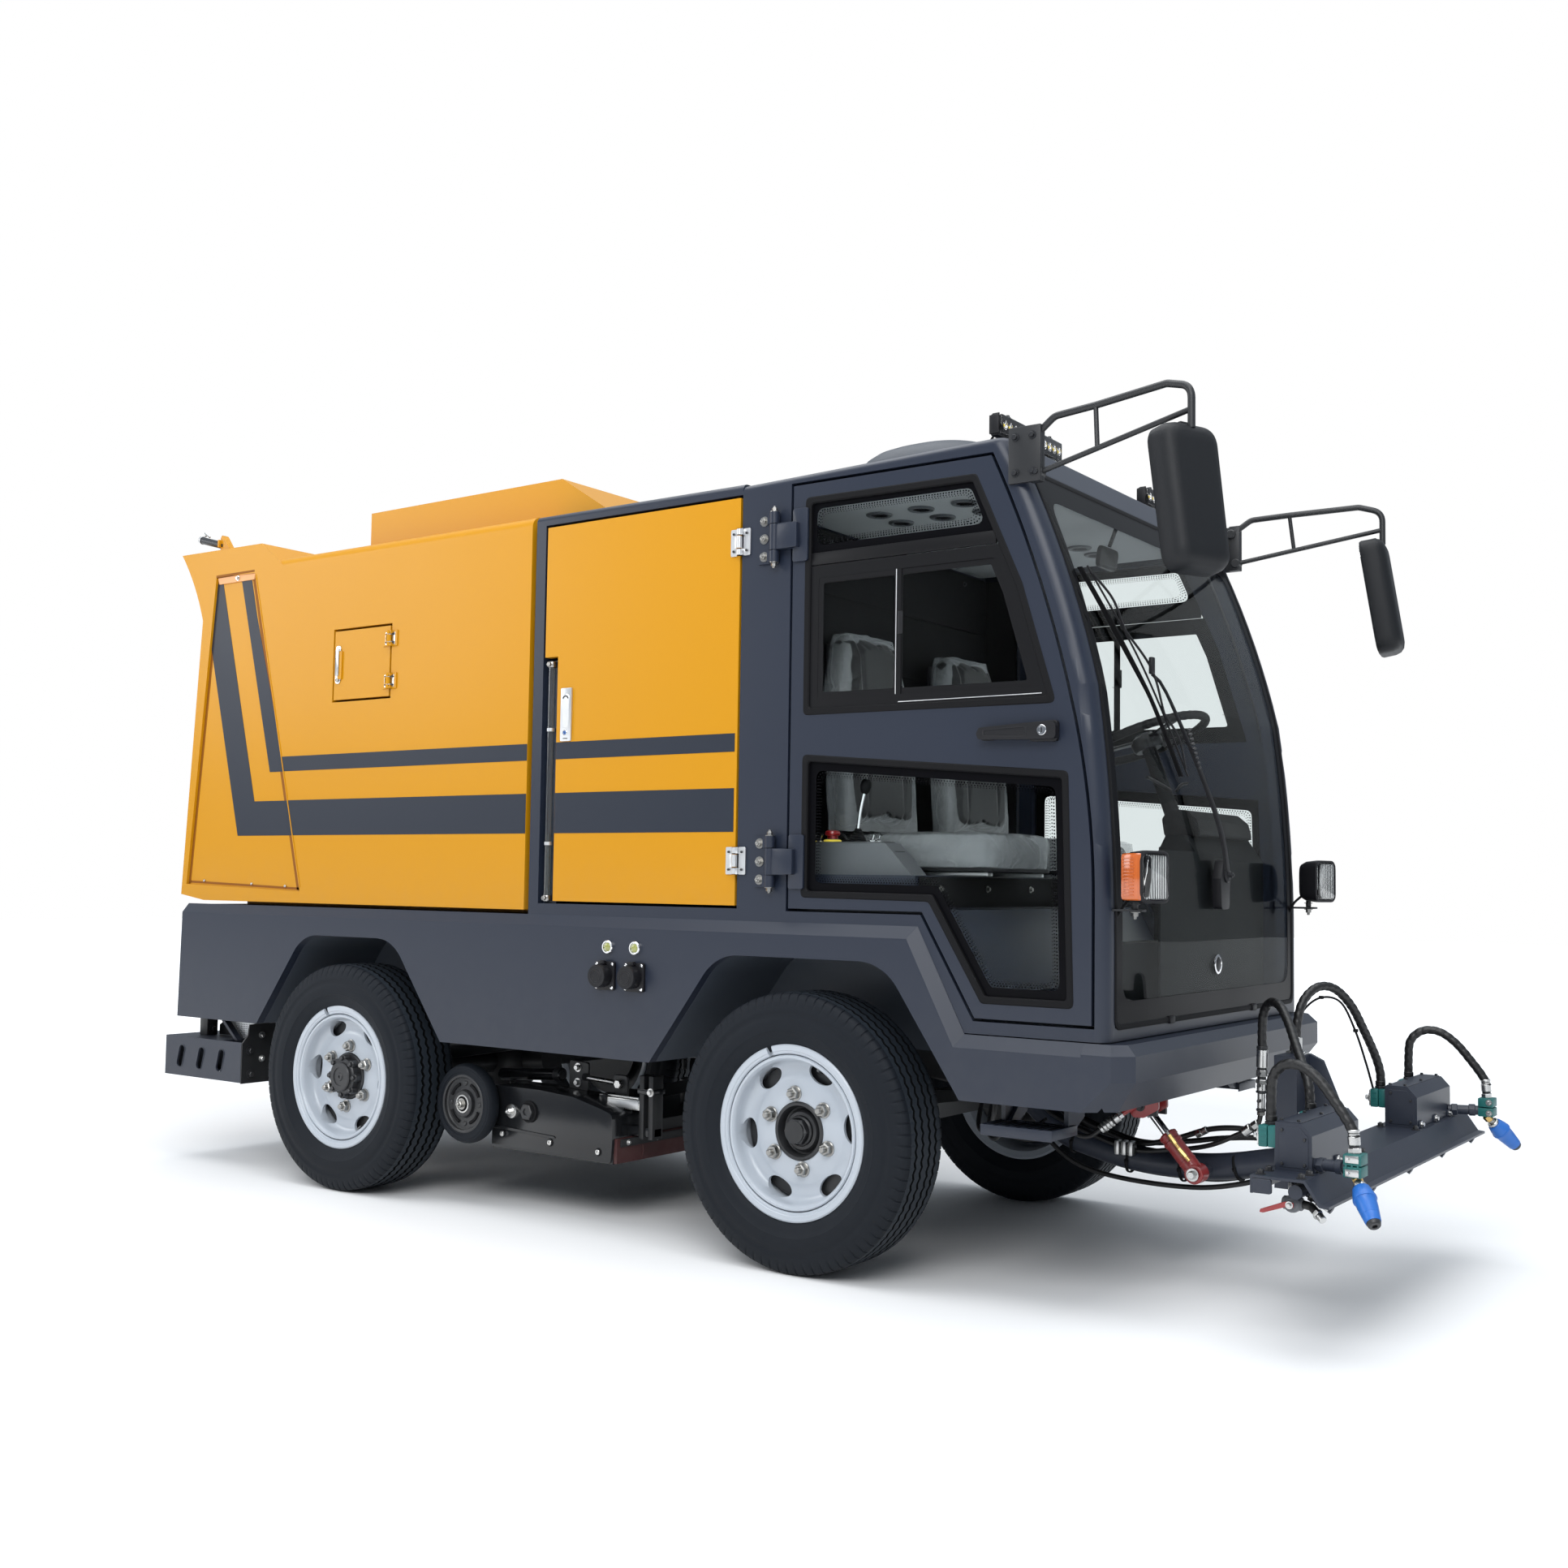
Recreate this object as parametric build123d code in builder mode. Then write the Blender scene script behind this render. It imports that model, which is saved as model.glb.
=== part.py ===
from math import radians, sqrt, tan
import os
from build123d import *

# A compact electric road cleaning truck: a two-seat cab, an equipment bay, a water tank with a
# scooped tail, a lifting suction deck between the axles and a spray bar on a boom in front.
# Millimetres, +X forward, +Y to the vehicle's left, +Z up, ground at z = 0. Most stations are
# given from the front axle line.

# stance
wheelbase = 1850.0
front_axle_x = 690.0
rear_axle_x = front_axle_x - wheelbase
tyre_radius = 374.0
tyre_half_width = 102.0
wheel_centre_y = 650.0
hub_z = tyre_radius
seam = 8.0                              # open seam around a door or lid

# body planes
skirt_half = 715.0                      # outer face of the side skirts
ledge_in = 25.0                         # bevel along the top of skirts and bumper
ledge_drop = 32.0
panel_half = skirt_half - ledge_in      # outer face of the tank, bay and cab sides
skirt_wall = 30.0
deck_z = 933.0                          # top of the deck plate and of the skirts
sill_z = 520.0                          # lower edge of the skirts
fender_z = 503.0                        # lower edge ahead of the front arch
nose_deck_z = 666.0                     # top of the skirts and bumper below the cab nose
arch_z = 838.0                          # top of the wheel arches
arch_round = 150.0
roof_z = 2170.0                         # roof of the tank and bay
cab_roof_z = roof_z + 16.0
tank_roof_z = roof_z + 5.0
bay_front_x = front_axle_x - 225.0
bay_rear_x = front_axle_x - 1034.0
tank_front_x = bay_rear_x - 20.0
tank_rear_x = rear_axle_x - 980.0
skirt_rear_x = rear_axle_x - 930.0
cab_step_x = front_axle_x + 365.0       # the floor starts down behind the front wheel
cab_foot_x = front_axle_x + 506.0       # and reaches the foot well
cab_nose_x = front_axle_x + 893.0
bumper_seam_x = front_axle_x + 838.0
nose_x = front_axle_x + 960.0

# walls
cab_wall = 42.0
bay_wall = 40.0
tank_wall = 25.0
glass = 6.0
door_thickness = 40.0
lid_thickness = 28.0

# chassis
rail_y = 290.0
rail_width = 60.0
rail_low = 500.0
rail_high = 630.0
rail_in = rail_y - rail_width / 2
rail_out = rail_y + rail_width / 2
deck_plate = 30.0

# running gear
bead_radius = 222.0
flange_radius = 235.0
barrel_radius = 208.0                   # inside of the rim barrel
bead_half = 76.0
flange_half = 86.0
stud_circle = 102.5
kingpin_y = 540.0
kingpin_radius = 16.0
spindle_radius = 30.0
bearing_gap = 0.5

# spray boom
boom_pivot_x = front_axle_x + 330.0
boom_pivot_z = 430.0
boom_radius = 36.0
pin_radius = 14.0
cylinder_y = -112.0
cylinder_foot = (front_axle_x + 888.0, cylinder_y, 284.0)
cylinder_head = (front_axle_x + 742.0, cylinder_y, 452.0)
head_pin = 6.0
eye_bore = 15.0                         # slack, since the eye drifts as the boom lifts
bar_half = 713.0
bar_z = 405.0
bar_rear_x = front_axle_x + 1252.0
bar_front_x = front_axle_x + 1376.0
lip_x = front_axle_x + 1420.0
lip_z = 352.0
sheet = 6.0
housing_high = 513.0
housing_rear_x = front_axle_x + 1274.0
housing_front_x = front_axle_x + 1358.0
housing_inner = 262.0
housing_outer = 610.0
hose_radius = 11.0

# suction deck
arm_length = 500.0
arm_pivot_x = front_axle_x - 520.0
arm_pivot_z = 455.0
arm_drop = 125.0
arm_y = 190.0
suction_pivot_x = arm_pivot_x - sqrt(arm_length ** 2 - arm_drop ** 2)
suction_pivot_z = arm_pivot_z - arm_drop
suction_low = 188.0
suction_high = 300.0
suction_half = 590.0
suction_front_x = front_axle_x - 755.0
suction_rear_x = front_axle_x - 1265.0
support_x = front_axle_x - 1330.0
support_y = 640.0
support_z = 325.0
support_radius = 126.0
support_half = 22.0

os.makedirs("parts", exist_ok=True)


def block(x0, x1, y0, y1, z0, z1, mode=Mode.ADD):
    """A box between two corners, added to the piece being built."""
    with Locations(((x0 + x1) / 2, (y0 + y1) / 2, (z0 + z1) / 2)):
        Box(abs(x1 - x0), abs(y1 - y0), abs(z1 - z0), mode=mode)


def slab(outline, y0, y1, mode=Mode.ADD):
    """A plate with a side outline of x-z points, between two planes across the vehicle."""
    with BuildSketch(Plane.XZ.offset(-max(y0, y1))) as face:
        Polygon(*outline, align=None)
    extrude(face.sketch, amount=abs(y1 - y0), mode=mode)


def rod(start, end, radius, mode=Mode.ADD):
    """A round bar from one point to another."""
    along = Vector(*end) - Vector(*start)
    with BuildSketch(Plane(origin=start, z_dir=along)) as face:
        Circle(radius)
    extrude(face.sketch, amount=along.length, mode=mode)


def corner_radii(points):
    """The largest arc that each corner's two runs allow."""
    radii = []
    for before, here, after in zip(points, points[1:], points[2:]):
        arriving = Vector(*here) - Vector(*before)
        leaving = Vector(*after) - Vector(*here)
        turn = radians(arriving.get_angle(leaving))
        radii.append(0.45 * min(arriving.length, leaving.length) / tan(turn / 2))
    return radii


def tube(points, radius, mode=Mode.ADD):
    """A bent round tube: straight runs joined by tangent arcs."""
    with BuildLine() as route:
        FilletPolyline(*points, radius=corner_radii(points))
    with BuildSketch(Plane(origin=route.line @ 0, z_dir=route.line % 0)) as section:
        Circle(radius)
    sweep(section.sketch, path=route.line, mode=mode)


def nearest_edges(edges, points):
    """The edge nearest to each of some points."""
    return [edges.sort_by_distance(Vector(*point))[0] for point in points]


def ahead(*stations, axle=front_axle_x):
    """Side outline points given from an axle line, the front one if not said."""
    return [(axle + x, z) for x, z in stations]


def hinge(pin, face, toward, size, moving):
    """Half a butt hinge on a side panel: a leaf, knuckles round the pin, and the pin if fixed.

    The leaf lies on the panel's face and reaches from the pin along x, toward +1 or -1.
    """
    x, y, z = pin
    out = -1 if y < 0 else 1
    near, far, thick, radius, pin_size, half, knuckle = size
    block(x + toward * near, x + toward * far, face, face + out * thick, z - half, z + half)
    spans = [(-knuckle, knuckle)] if moving else [(-half, -knuckle - 2), (knuckle + 2, half)]
    for low, high in spans:
        block(x, x + toward * (near + 2), face + out * thick, y + out * pin_size,
              z + low, z + high)
        block(x + toward * near, x + toward * (near + 2), face, y, z + low, z + high)
        rod((x, y, z + low), (x, y, z + high), radius)
    if moving:
        rod((x, y, z - half), (x, y, z + half), pin_size + bearing_gap, mode=Mode.SUBTRACT)
    else:
        rod((x, y, z - half), (x, y, z + half), pin_size)


def write(piece, name):
    """Label a finished piece and export it as its own STEP file."""
    piece.label = name
    export_step(piece, f"parts/{name}.step")


def write_pair(piece, name):
    """Export a right-hand piece and its mirror image on the left."""
    write(piece, f"right_{name}")
    write(piece.mirror(Plane.XZ), f"left_{name}")


# chassis: two rails, cross members, outriggers, posts and the deck plate
rail_rear_x = skirt_rear_x + 40.0
rail_front_x = nose_x - 80.0
deck_rear_x = skirt_rear_x + 130.0
post_stations = (deck_rear_x + 30.0, rear_axle_x + 500.0, front_axle_x - 560.0)
cross_stations = (rail_rear_x + 40.0, rear_axle_x + 500.0, front_axle_x - 560.0,
                  front_axle_x + 760.0)
skirt_inside = skirt_half - skirt_wall
outrigger_low = rail_high - 90.0
with BuildPart() as chassis_frame:
    for side in (-1, 1):
        block(rail_rear_x, rail_front_x, side * rail_in, side * rail_out, rail_low, rail_high)
        for x in post_stations:
            block(x - 30, x + 30, side * rail_in, side * rail_out, rail_high, deck_z - deck_plate)
    for x in cross_stations:
        block(x - 30, x + 30, -rail_in, rail_in, rail_low + 20, rail_high - 20)
    for x in post_stations:
        block(x - 25, x + 25, -skirt_inside, skirt_inside, rail_high - 60, rail_high)
    block(deck_rear_x, cab_step_x - 30, -skirt_inside, skirt_inside, deck_z - deck_plate, deck_z)
    # outriggers that hold the front fenders and the steps
    block(cab_foot_x + 100, cab_foot_x + 150, -skirt_inside, skirt_inside,
          outrigger_low, outrigger_low + 50)
    # cross tube, lugs and pin for the boom
    block(boom_pivot_x - 100, boom_pivot_x - 50, -rail_in, rail_in, rail_low, rail_low + 60)
    for side in (-1, 1):
        slab([(boom_pivot_x - 100, rail_low), (boom_pivot_x + 30, rail_low),
              (boom_pivot_x + 30, boom_pivot_z - 30), (boom_pivot_x - 30, boom_pivot_z - 30)],
             side * 56, side * 72)
    block(boom_pivot_x - 50, boom_pivot_x + 30, -72, 72, rail_low, rail_low + 20)
    rod((boom_pivot_x, -80, boom_pivot_z), (boom_pivot_x, 80, boom_pivot_z), pin_radius)
    # fork for the eye of the lift cylinder's rod
    head_x, head_y, head_z = cylinder_head
    for side in (-1, 1):
        block(head_x - 24, head_x + 48, head_y + side * 25, head_y + side * 35,
              head_z - 24, rail_low + 40)
    rod((head_x, head_y - 40, head_z), (head_x, head_y + 40, head_z), head_pin)
    # lugs and pins for the suction deck's arms
    for side in (-1, 1):
        for near, far in ((-26, -16), (16, 26)):
            block(arm_pivot_x - 25, arm_pivot_x + 25, side * arm_y + near, side * arm_y + far,
                  arm_pivot_z - 25, rail_low + 20)
        block(arm_pivot_x - 70, arm_pivot_x + 25, side * arm_y - 26, side * arm_y + 26,
              rail_low + 20, rail_low + 40)
        rod((arm_pivot_x, side * arm_y - 30, arm_pivot_z),
            (arm_pivot_x, side * arm_y + 30, arm_pivot_z), pin_radius)
write(chassis_frame.part, "chassis_frame")

# rear underride bumper: a slotted channel hung from the rails
guard_rear_x = rear_axle_x - 1025.0
guard_front_x = rear_axle_x - 572.0
guard_low = 303.0
guard_high = 445.0
guard_half = skirt_half - 15.0
guard_flange = 60.0                     # width of the side returns' lower flange
guard_arm = 330.0                       # how far the top plate reaches forward
with BuildPart() as rear_bumper:
    block(guard_rear_x, guard_rear_x + sheet, -guard_half, guard_half, guard_low, guard_high)
    for z in (guard_low, guard_high - sheet):
        block(guard_rear_x, guard_rear_x + 90, -guard_half, guard_half, z, z + sheet)
    for side in (-1, 1):
        outer_y = side * guard_half
        block(guard_rear_x, guard_front_x, outer_y, outer_y - side * sheet, guard_low, guard_high)
        block(guard_rear_x, guard_front_x, outer_y, outer_y - side * guard_flange,
              guard_low, guard_low + sheet)
        block(guard_rear_x, guard_rear_x + guard_arm, outer_y, side * rail_in,
              guard_high - sheet, guard_high)
        block(guard_rear_x + 40, guard_rear_x + guard_arm, side * rail_out, side * rail_in,
              guard_high, rail_low)
    for slot in range(3):
        with BuildSketch(Plane.XZ.offset(-guard_half - 1)) as hole:
            with Locations((guard_rear_x + 95 + 118 * slot, (guard_low + guard_high) / 2)):
                SlotOverall(82, 34, rotation=75)
        extrude(hole.sketch, amount=2 * guard_half + 2, mode=Mode.SUBTRACT)
write(rear_bumper.part, "rear_bumper")


# side skirts with a beveled top and an open arch over each wheel
def arch(axle, foot, crown, foot_z):
    """The four corners of a wheel arch, front foot first."""
    front = [(axle + foot[1], foot_z[1]), (axle + crown, arch_z)]
    rear = [(axle - crown, arch_z), (axle - foot[0], foot_z[0])]
    return front + rear


skirt_outline = [(skirt_rear_x - 10, sill_z), (skirt_rear_x, deck_z), (cab_step_x, deck_z),
                 (cab_foot_x, nose_deck_z), (bumper_seam_x, nose_deck_z),
                 (bumper_seam_x, fender_z)]
arches = [(front_axle_x, (515, 505), 276, (sill_z, fender_z)),
          (rear_axle_x - 6, (468, 470), 229, (sill_z, sill_z))]
for opening in arches:
    skirt_outline += arch(*opening)
with BuildPart() as skirt:
    slab(skirt_outline, -skirt_half, -skirt_inside)
    crowns = nearest_edges(skirt.edges(), [
        (axle + end * crown, skirt_wall / 2 - skirt_half, arch_z)
        for axle, foot, crown, foot_z in arches for end in (-1, 1)])
    fillet(crowns, radius=arch_round)
    outer = skirt.faces().sort_by(Axis.Y)[0]
    top_edges = nearest_edges(outer.edges(), [
        (0, -skirt_half, deck_z),
        ((cab_step_x + cab_foot_x) / 2, -skirt_half, (deck_z + nose_deck_z) / 2),
        ((cab_foot_x + bumper_seam_x) / 2, -skirt_half, nose_deck_z)])
    chamfer(top_edges, length=ledge_drop, length2=ledge_in, reference=outer)
write_pair(skirt.part, "skirt")

# front bumper: beveled above and below, with cut corners and side returns
corner_cut = 44.0
bevel_back = 55.0
bevel_rise = 76.0
return_inside = rail_front_x
with BuildPart() as front_bumper:
    with BuildSketch(Plane.XY.offset(fender_z)):
        Polygon((bumper_seam_x, -skirt_half), (nose_x - corner_cut, -skirt_half),
                (nose_x, corner_cut - skirt_half), (nose_x, skirt_half - corner_cut),
                (nose_x - corner_cut, skirt_half), (bumper_seam_x, skirt_half), align=None)
    extrude(amount=nose_deck_z - fender_z)
    corner_mid = (nose_x - corner_cut / 2, skirt_half - corner_cut / 2)
    under = front_bumper.faces().sort_by(Axis.Z)[0]
    under_edges = nearest_edges(under.edges(), [
        (nose_x, 0, fender_z), (corner_mid[0], corner_mid[1], fender_z),
        (corner_mid[0], -corner_mid[1], fender_z)])
    chamfer(under_edges, length=bevel_back, length2=bevel_rise, reference=under)
    over = front_bumper.faces().sort_by(Axis.Z)[-1]
    over_edges = nearest_edges(over.edges(), [
        (nose_x, 0, nose_deck_z), (corner_mid[0], corner_mid[1], nose_deck_z),
        (corner_mid[0], -corner_mid[1], nose_deck_z),
        (bumper_seam_x + 20, skirt_half, nose_deck_z),
        (bumper_seam_x + 20, -skirt_half, nose_deck_z)])
    chamfer(over_edges, length=ledge_in, length2=ledge_in, reference=over)
    block(bumper_seam_x - 10, return_inside, -skirt_inside, skirt_inside,
          fender_z - 10, nose_deck_z + 10, mode=Mode.SUBTRACT)
write(front_bumper.part, "front_bumper")

# front axle: drop beam with a fork and kingpin at each end, on leaf springs
fork_reach = 102.0
fork_lug = 24.0
boss_half = fork_reach - fork_lug - 1.0


def leaf_springs(axle):
    """A leaf spring pack under each rail, with its hangers."""
    for side in (-1, 1):
        slab([(axle - 430, 466), (axle - 90, hub_z + 36), (axle + 90, hub_z + 36),
              (axle + 430, 466), (axle + 430, 484), (axle + 90, hub_z + 82),
              (axle - 90, hub_z + 82), (axle - 430, 484)], side * (rail_y - 28), side * (rail_y + 28))
        for end in (-1, 1):
            block(axle + end * 400, axle + end * 430, side * (rail_y - 28), side * (rail_y + 28),
                  480, rail_low)


with BuildPart() as front_axle:
    block(front_axle_x - 38, front_axle_x + 38, -kingpin_y + 70, kingpin_y - 70,
          hub_z - 36, hub_z + 36)
    leaf_springs(front_axle_x)
    for side in (-1, 1):
        end_y = side * kingpin_y
        block(front_axle_x - 38, front_axle_x + 38, end_y - side * 78, end_y - side * 48,
              hub_z - fork_reach, hub_z + fork_reach)
        for low in (hub_z - fork_reach, hub_z + fork_reach - fork_lug):
            block(front_axle_x - 34, front_axle_x + 34, end_y - side * 78, end_y,
                  low, low + fork_lug)
            rod((front_axle_x, end_y, low), (front_axle_x, end_y, low + fork_lug), 34)
        rod((front_axle_x, end_y, hub_z - fork_reach - 8),
            (front_axle_x, end_y, hub_z + fork_reach + 8), kingpin_radius)
write(front_axle.part, "front_axle")

# rear axle: tube, final drive housing, spindles and leaf springs
hub_inner_y = wheel_centre_y - 50.0     # inner end of a hub, where the brake backing plate sits
spindle_end_y = wheel_centre_y + 66.0
with BuildPart() as rear_axle:
    rod((rear_axle_x, -hub_inner_y + 6, hub_z), (rear_axle_x, hub_inner_y - 6, hub_z), 44)
    with Locations((rear_axle_x, 60, hub_z)):
        Sphere(118)
    rod((rear_axle_x + 60, 60, hub_z), (rear_axle_x + 210, 60, hub_z + 10), 52)
    leaf_springs(rear_axle_x)
    for side in (-1, 1):
        rod((rear_axle_x, side * 540, hub_z), (rear_axle_x, side * spindle_end_y, hub_z),
            spindle_radius)
        rod((rear_axle_x, side * (hub_inner_y - 14), hub_z),
            (rear_axle_x, side * (hub_inner_y - 6), hub_z), 150)
write(rear_axle.part, "rear_axle")

# steering knuckle, right side: boss on the kingpin, spindle, backing plate and arm
with BuildPart() as knuckle:
    rod((front_axle_x, -kingpin_y, hub_z - boss_half),
        (front_axle_x, -kingpin_y, hub_z + boss_half), 30)
    rod((front_axle_x, -kingpin_y, hub_z), (front_axle_x, -spindle_end_y, hub_z), spindle_radius)
    rod((front_axle_x, -hub_inner_y + 14, hub_z), (front_axle_x, -hub_inner_y + 6, hub_z), 150)
    block(front_axle_x - 150, front_axle_x, -kingpin_y - 12, -kingpin_y + 12,
          hub_z - 66, hub_z - 46)
    rod((front_axle_x, -kingpin_y, hub_z - 100), (front_axle_x, -kingpin_y, hub_z + 100),
        kingpin_radius + bearing_gap, mode=Mode.SUBTRACT)
write_pair(knuckle.part, "knuckle")

# wheels: pressed disc with five hand holes on a flanged rim, and a tyre
disc_out = 52.0
disc_wall = 12.0
hand_hole_circle = 167.0
with BuildPart() as rim:
    with BuildSketch(Plane.XY):
        with BuildLine():
            Polyline((barrel_radius, -flange_half), (flange_radius, -flange_half),
                     (flange_radius, -bead_half), (bead_radius, -bead_half),
                     (bead_radius, bead_half), (flange_radius, bead_half),
                     (flange_radius, flange_half), (barrel_radius, flange_half), close=True)
        make_face()
        with BuildLine():
            Polyline((70, disc_out - disc_wall), (150, disc_out - disc_wall + 6),
                     (barrel_radius, disc_out - 26), (barrel_radius, disc_out - 6),
                     (155, disc_out + 6), (70, disc_out), close=True)
        make_face()
        with Locations((spindle_radius + bearing_gap, -48)):
            Rectangle(80 - spindle_radius - bearing_gap, disc_out + 48,
                      align=(Align.MIN, Align.MIN))
        with Locations((0, spindle_end_y - wheel_centre_y + 1)):
            Rectangle(48, 34, align=(Align.MIN, Align.MIN))
        with Locations((spindle_radius + bearing_gap, disc_out - 10)):
            Rectangle(48 - spindle_radius - bearing_gap, 40, align=(Align.MIN, Align.MIN))
    revolve(axis=Axis.Y)
    with BuildSketch(Plane.XZ.offset(-disc_out - 60)) as hand_holes:
        with PolarLocations(hand_hole_circle, 5, start_angle=18):
            Ellipse(18, 30)
    extrude(hand_holes.sketch, amount=120, mode=Mode.SUBTRACT)
    with BuildSketch(Plane.XZ.offset(-disc_out - 16)) as studs:
        with PolarLocations(stud_circle, 6):
            RegularPolygon(14, 6)
    extrude(studs.sketch, amount=24)

bulge_radius = (flange_radius + tyre_radius) / 2
shoulder_radius = tyre_radius - 22.0
with BuildPart() as tyre:
    with BuildSketch(Plane.XY):
        with BuildLine():
            Polyline((bead_radius, -bead_half), (flange_radius + 2, -bead_half),
                     (flange_radius + 14, -flange_half - 4))
            ThreePointArc((flange_radius + 14, -flange_half - 4), (bulge_radius, -tyre_half_width),
                          (shoulder_radius, -tyre_half_width + 8))
            ThreePointArc((shoulder_radius, -tyre_half_width + 8),
                          (tyre_radius - 6, -tyre_half_width + 17),
                          (tyre_radius, -tyre_half_width + 34))
            Line((tyre_radius, -tyre_half_width + 34), (tyre_radius, tyre_half_width - 34))
            ThreePointArc((tyre_radius, tyre_half_width - 34),
                          (tyre_radius - 6, tyre_half_width - 17),
                          (shoulder_radius, tyre_half_width - 8))
            ThreePointArc((shoulder_radius, tyre_half_width - 8), (bulge_radius, tyre_half_width),
                          (flange_radius + 14, flange_half + 4))
            Polyline((flange_radius + 14, flange_half + 4), (flange_radius + 2, bead_half),
                     (bead_radius, bead_half), (bead_radius, -bead_half))
        make_face()
    revolve(axis=Axis.Y)

for end, axle in (("front", front_axle_x), ("rear", rear_axle_x)):
    for side, turn in (("left", 0), ("right", 180)):
        out = wheel_centre_y if side == "left" else -wheel_centre_y
        place = Location((axle, out, hub_z)) * Rotation(0, 0, turn)
        write(place * rim.part, f"{end}_{side}_rim")
        write(place * tyre.part, f"{end}_{side}_tyre")

# water tank: hollow, with a scooped tail and a sunk panel in each side
tank_low = deck_z + 13.0
tail_low = tank_low + 20.0
roof_end_x = rear_axle_x - 480.0
tail_lip = (rear_axle_x - 1049.0, roof_z + 73.0)
tank_outline = [(tank_front_x, tank_low), (tank_front_x, tank_roof_z),
                (roof_end_x, tank_roof_z), (roof_end_x - 86, tail_lip[1] - 5), tail_lip]
tank_tail = (rear_axle_x - 906.0, roof_z - 187.0)
gate_top = tank_tail[1] - 23.0
gate_low = tail_low + 44.0


def tail_x(z):
    """The tail's slanted rear face at a height."""
    share = (z - tail_low) / (tank_tail[1] - tail_low)
    return tank_rear_x + (tank_tail[0] - tank_rear_x) * share


room_top = tank_roof_z - tank_wall
room_tail_z = gate_top - 30.0
tank_room = [(rear_axle_x - 550, room_top), (rear_axle_x - 810, room_top),
             (tail_x(room_tail_z) + 60, room_tail_z), (tail_x(tail_low + 40) + 60, tail_low + 40),
             (tail_x(tail_low) + 160, tank_low + tank_wall),
             (tank_front_x - tank_wall, tank_low + tank_wall), (tank_front_x - tank_wall, room_top)]
gate_face = [(tail_x(gate_low), gate_low), (tail_x(gate_top), gate_top),
             (tail_x(gate_top) + 34, gate_top), (tail_x(gate_low) + 34, gate_low)]
gate_hole = [(tail_x(gate_low - seam) - 40, gate_low - seam),
             (tail_x(gate_top) - 40, gate_top + 16), (tail_x(gate_top) + 90, gate_top + 16),
             (tail_x(gate_low) + 90, gate_low - seam)]
gate_half = panel_half - tank_wall - 20.0
hinge_x = tail_x(gate_top) + pin_radius
hinge_z = gate_top - 4
panel_sink = 10.0
side_panel = ahead((-831, 2141), (-603, 2134), (-291, 986), (-950, 1004), axle=rear_axle_x)
hatch_rear_x = rear_axle_x - 140.0
hatch_front_x = rear_axle_x + 144.0
hatch_low = 1645.0
hatch_high = 1882.0
hatch_hinge = (11.0, 34.0, 4.0, 8.0, 4.0, 26.0, 12.0)
hatch_pins = [(hatch_front_x + seam / 2, -panel_half - 9, z)
              for z in (hatch_low + 50, hatch_high - 44)]
with BuildPart() as tank_body:
    with BuildSketch(Plane.XZ.offset(-panel_half)) as tank_side:
        with BuildLine():
            Polyline(*tank_outline)
            ThreePointArc(tail_lip, (rear_axle_x - 956, roof_z - 70), tank_tail)
            Polyline(tank_tail, (tank_rear_x, tail_low), (tank_rear_x + 140, tank_low),
                     (tank_front_x, tank_low))
        make_face()
    extrude(tank_side.sketch, amount=2 * panel_half)
    roof_edges = nearest_edges(tank_body.edges(), [
        ((tank_front_x + roof_end_x) / 2, side * panel_half, tank_roof_z)
        for side in (-1, 1)])
    fillet(roof_edges, radius=34)
    slab(tank_room, tank_wall - panel_half, panel_half - tank_wall, mode=Mode.SUBTRACT)
    slab(gate_hole, -gate_half - seam, gate_half + seam, mode=Mode.SUBTRACT)
    for side in (-1, 1):
        slab(side_panel, side * panel_half, side * (panel_half - panel_sink), mode=Mode.SUBTRACT)
        rod((hinge_x, side * (gate_half + seam - 1), hinge_z),
            (hinge_x, side * (gate_half + seam + 14), hinge_z), pin_radius + bearing_gap,
            mode=Mode.SUBTRACT)
    block(hatch_rear_x - seam, hatch_front_x + seam, -panel_half, -panel_half + tank_wall,
          hatch_low - seam, hatch_high + seam, mode=Mode.SUBTRACT)
    for pin in hatch_pins:
        hinge(pin, -panel_half, 1, hatch_hinge, False)
    # feet on the deck plate
    block(tank_rear_x + 220, tank_front_x - 60, -560, -500, deck_z, tank_low)
    block(tank_rear_x + 220, tank_front_x - 60, 500, 560, deck_z, tank_low)
write(tank_body.part, "tank_body")

# tailgate: hung from a pin along its top edge
rib_top = gate_top - 60.0
with BuildPart() as tailgate:
    slab(gate_face, -gate_half, gate_half)
    rod((hinge_x, -gate_half - seam - 12, hinge_z), (hinge_x, gate_half + seam + 12, hinge_z),
        pin_radius)
    for y in (-380, 0, 380):
        slab([(tail_x(gate_low + 60) - 26, gate_low + 60), (tail_x(rib_top - 20) - 26, rib_top - 20),
              (tail_x(rib_top) + 4, rib_top), (tail_x(gate_low + 40) + 4, gate_low + 40)],
             y - 25, y + 25)
write(tailgate.part, "tailgate")

# filler hatch in the tank's right side, hinged along its front edge
with BuildPart() as filler_hatch:
    block(hatch_rear_x, hatch_front_x, -panel_half, -panel_half + tank_wall - 5,
          hatch_low, hatch_high)
    for pin in hatch_pins:
        hinge(pin, -panel_half, -1, hatch_hinge, True)
    block(hatch_rear_x + 22, hatch_rear_x + 42, -panel_half - 5, -panel_half,
          hatch_low + 70, hatch_high - 70)
write(filler_hatch.part, "filler_hatch")

# hopper box on the roof, with a sloping front
hopper_rear_x = rear_axle_x - 127.0
hopper_front_x = bay_rear_x + 200.0
with BuildPart() as roof_hopper:
    slab([(hopper_rear_x, tank_roof_z), (hopper_rear_x, tank_roof_z + 144),
          (tank_front_x - 3, tank_roof_z + 146), (hopper_front_x, tank_roof_z + 9),
          (hopper_front_x, tank_roof_z)], -560, 560)
write(roof_hopper.part, "roof_hopper")

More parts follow.
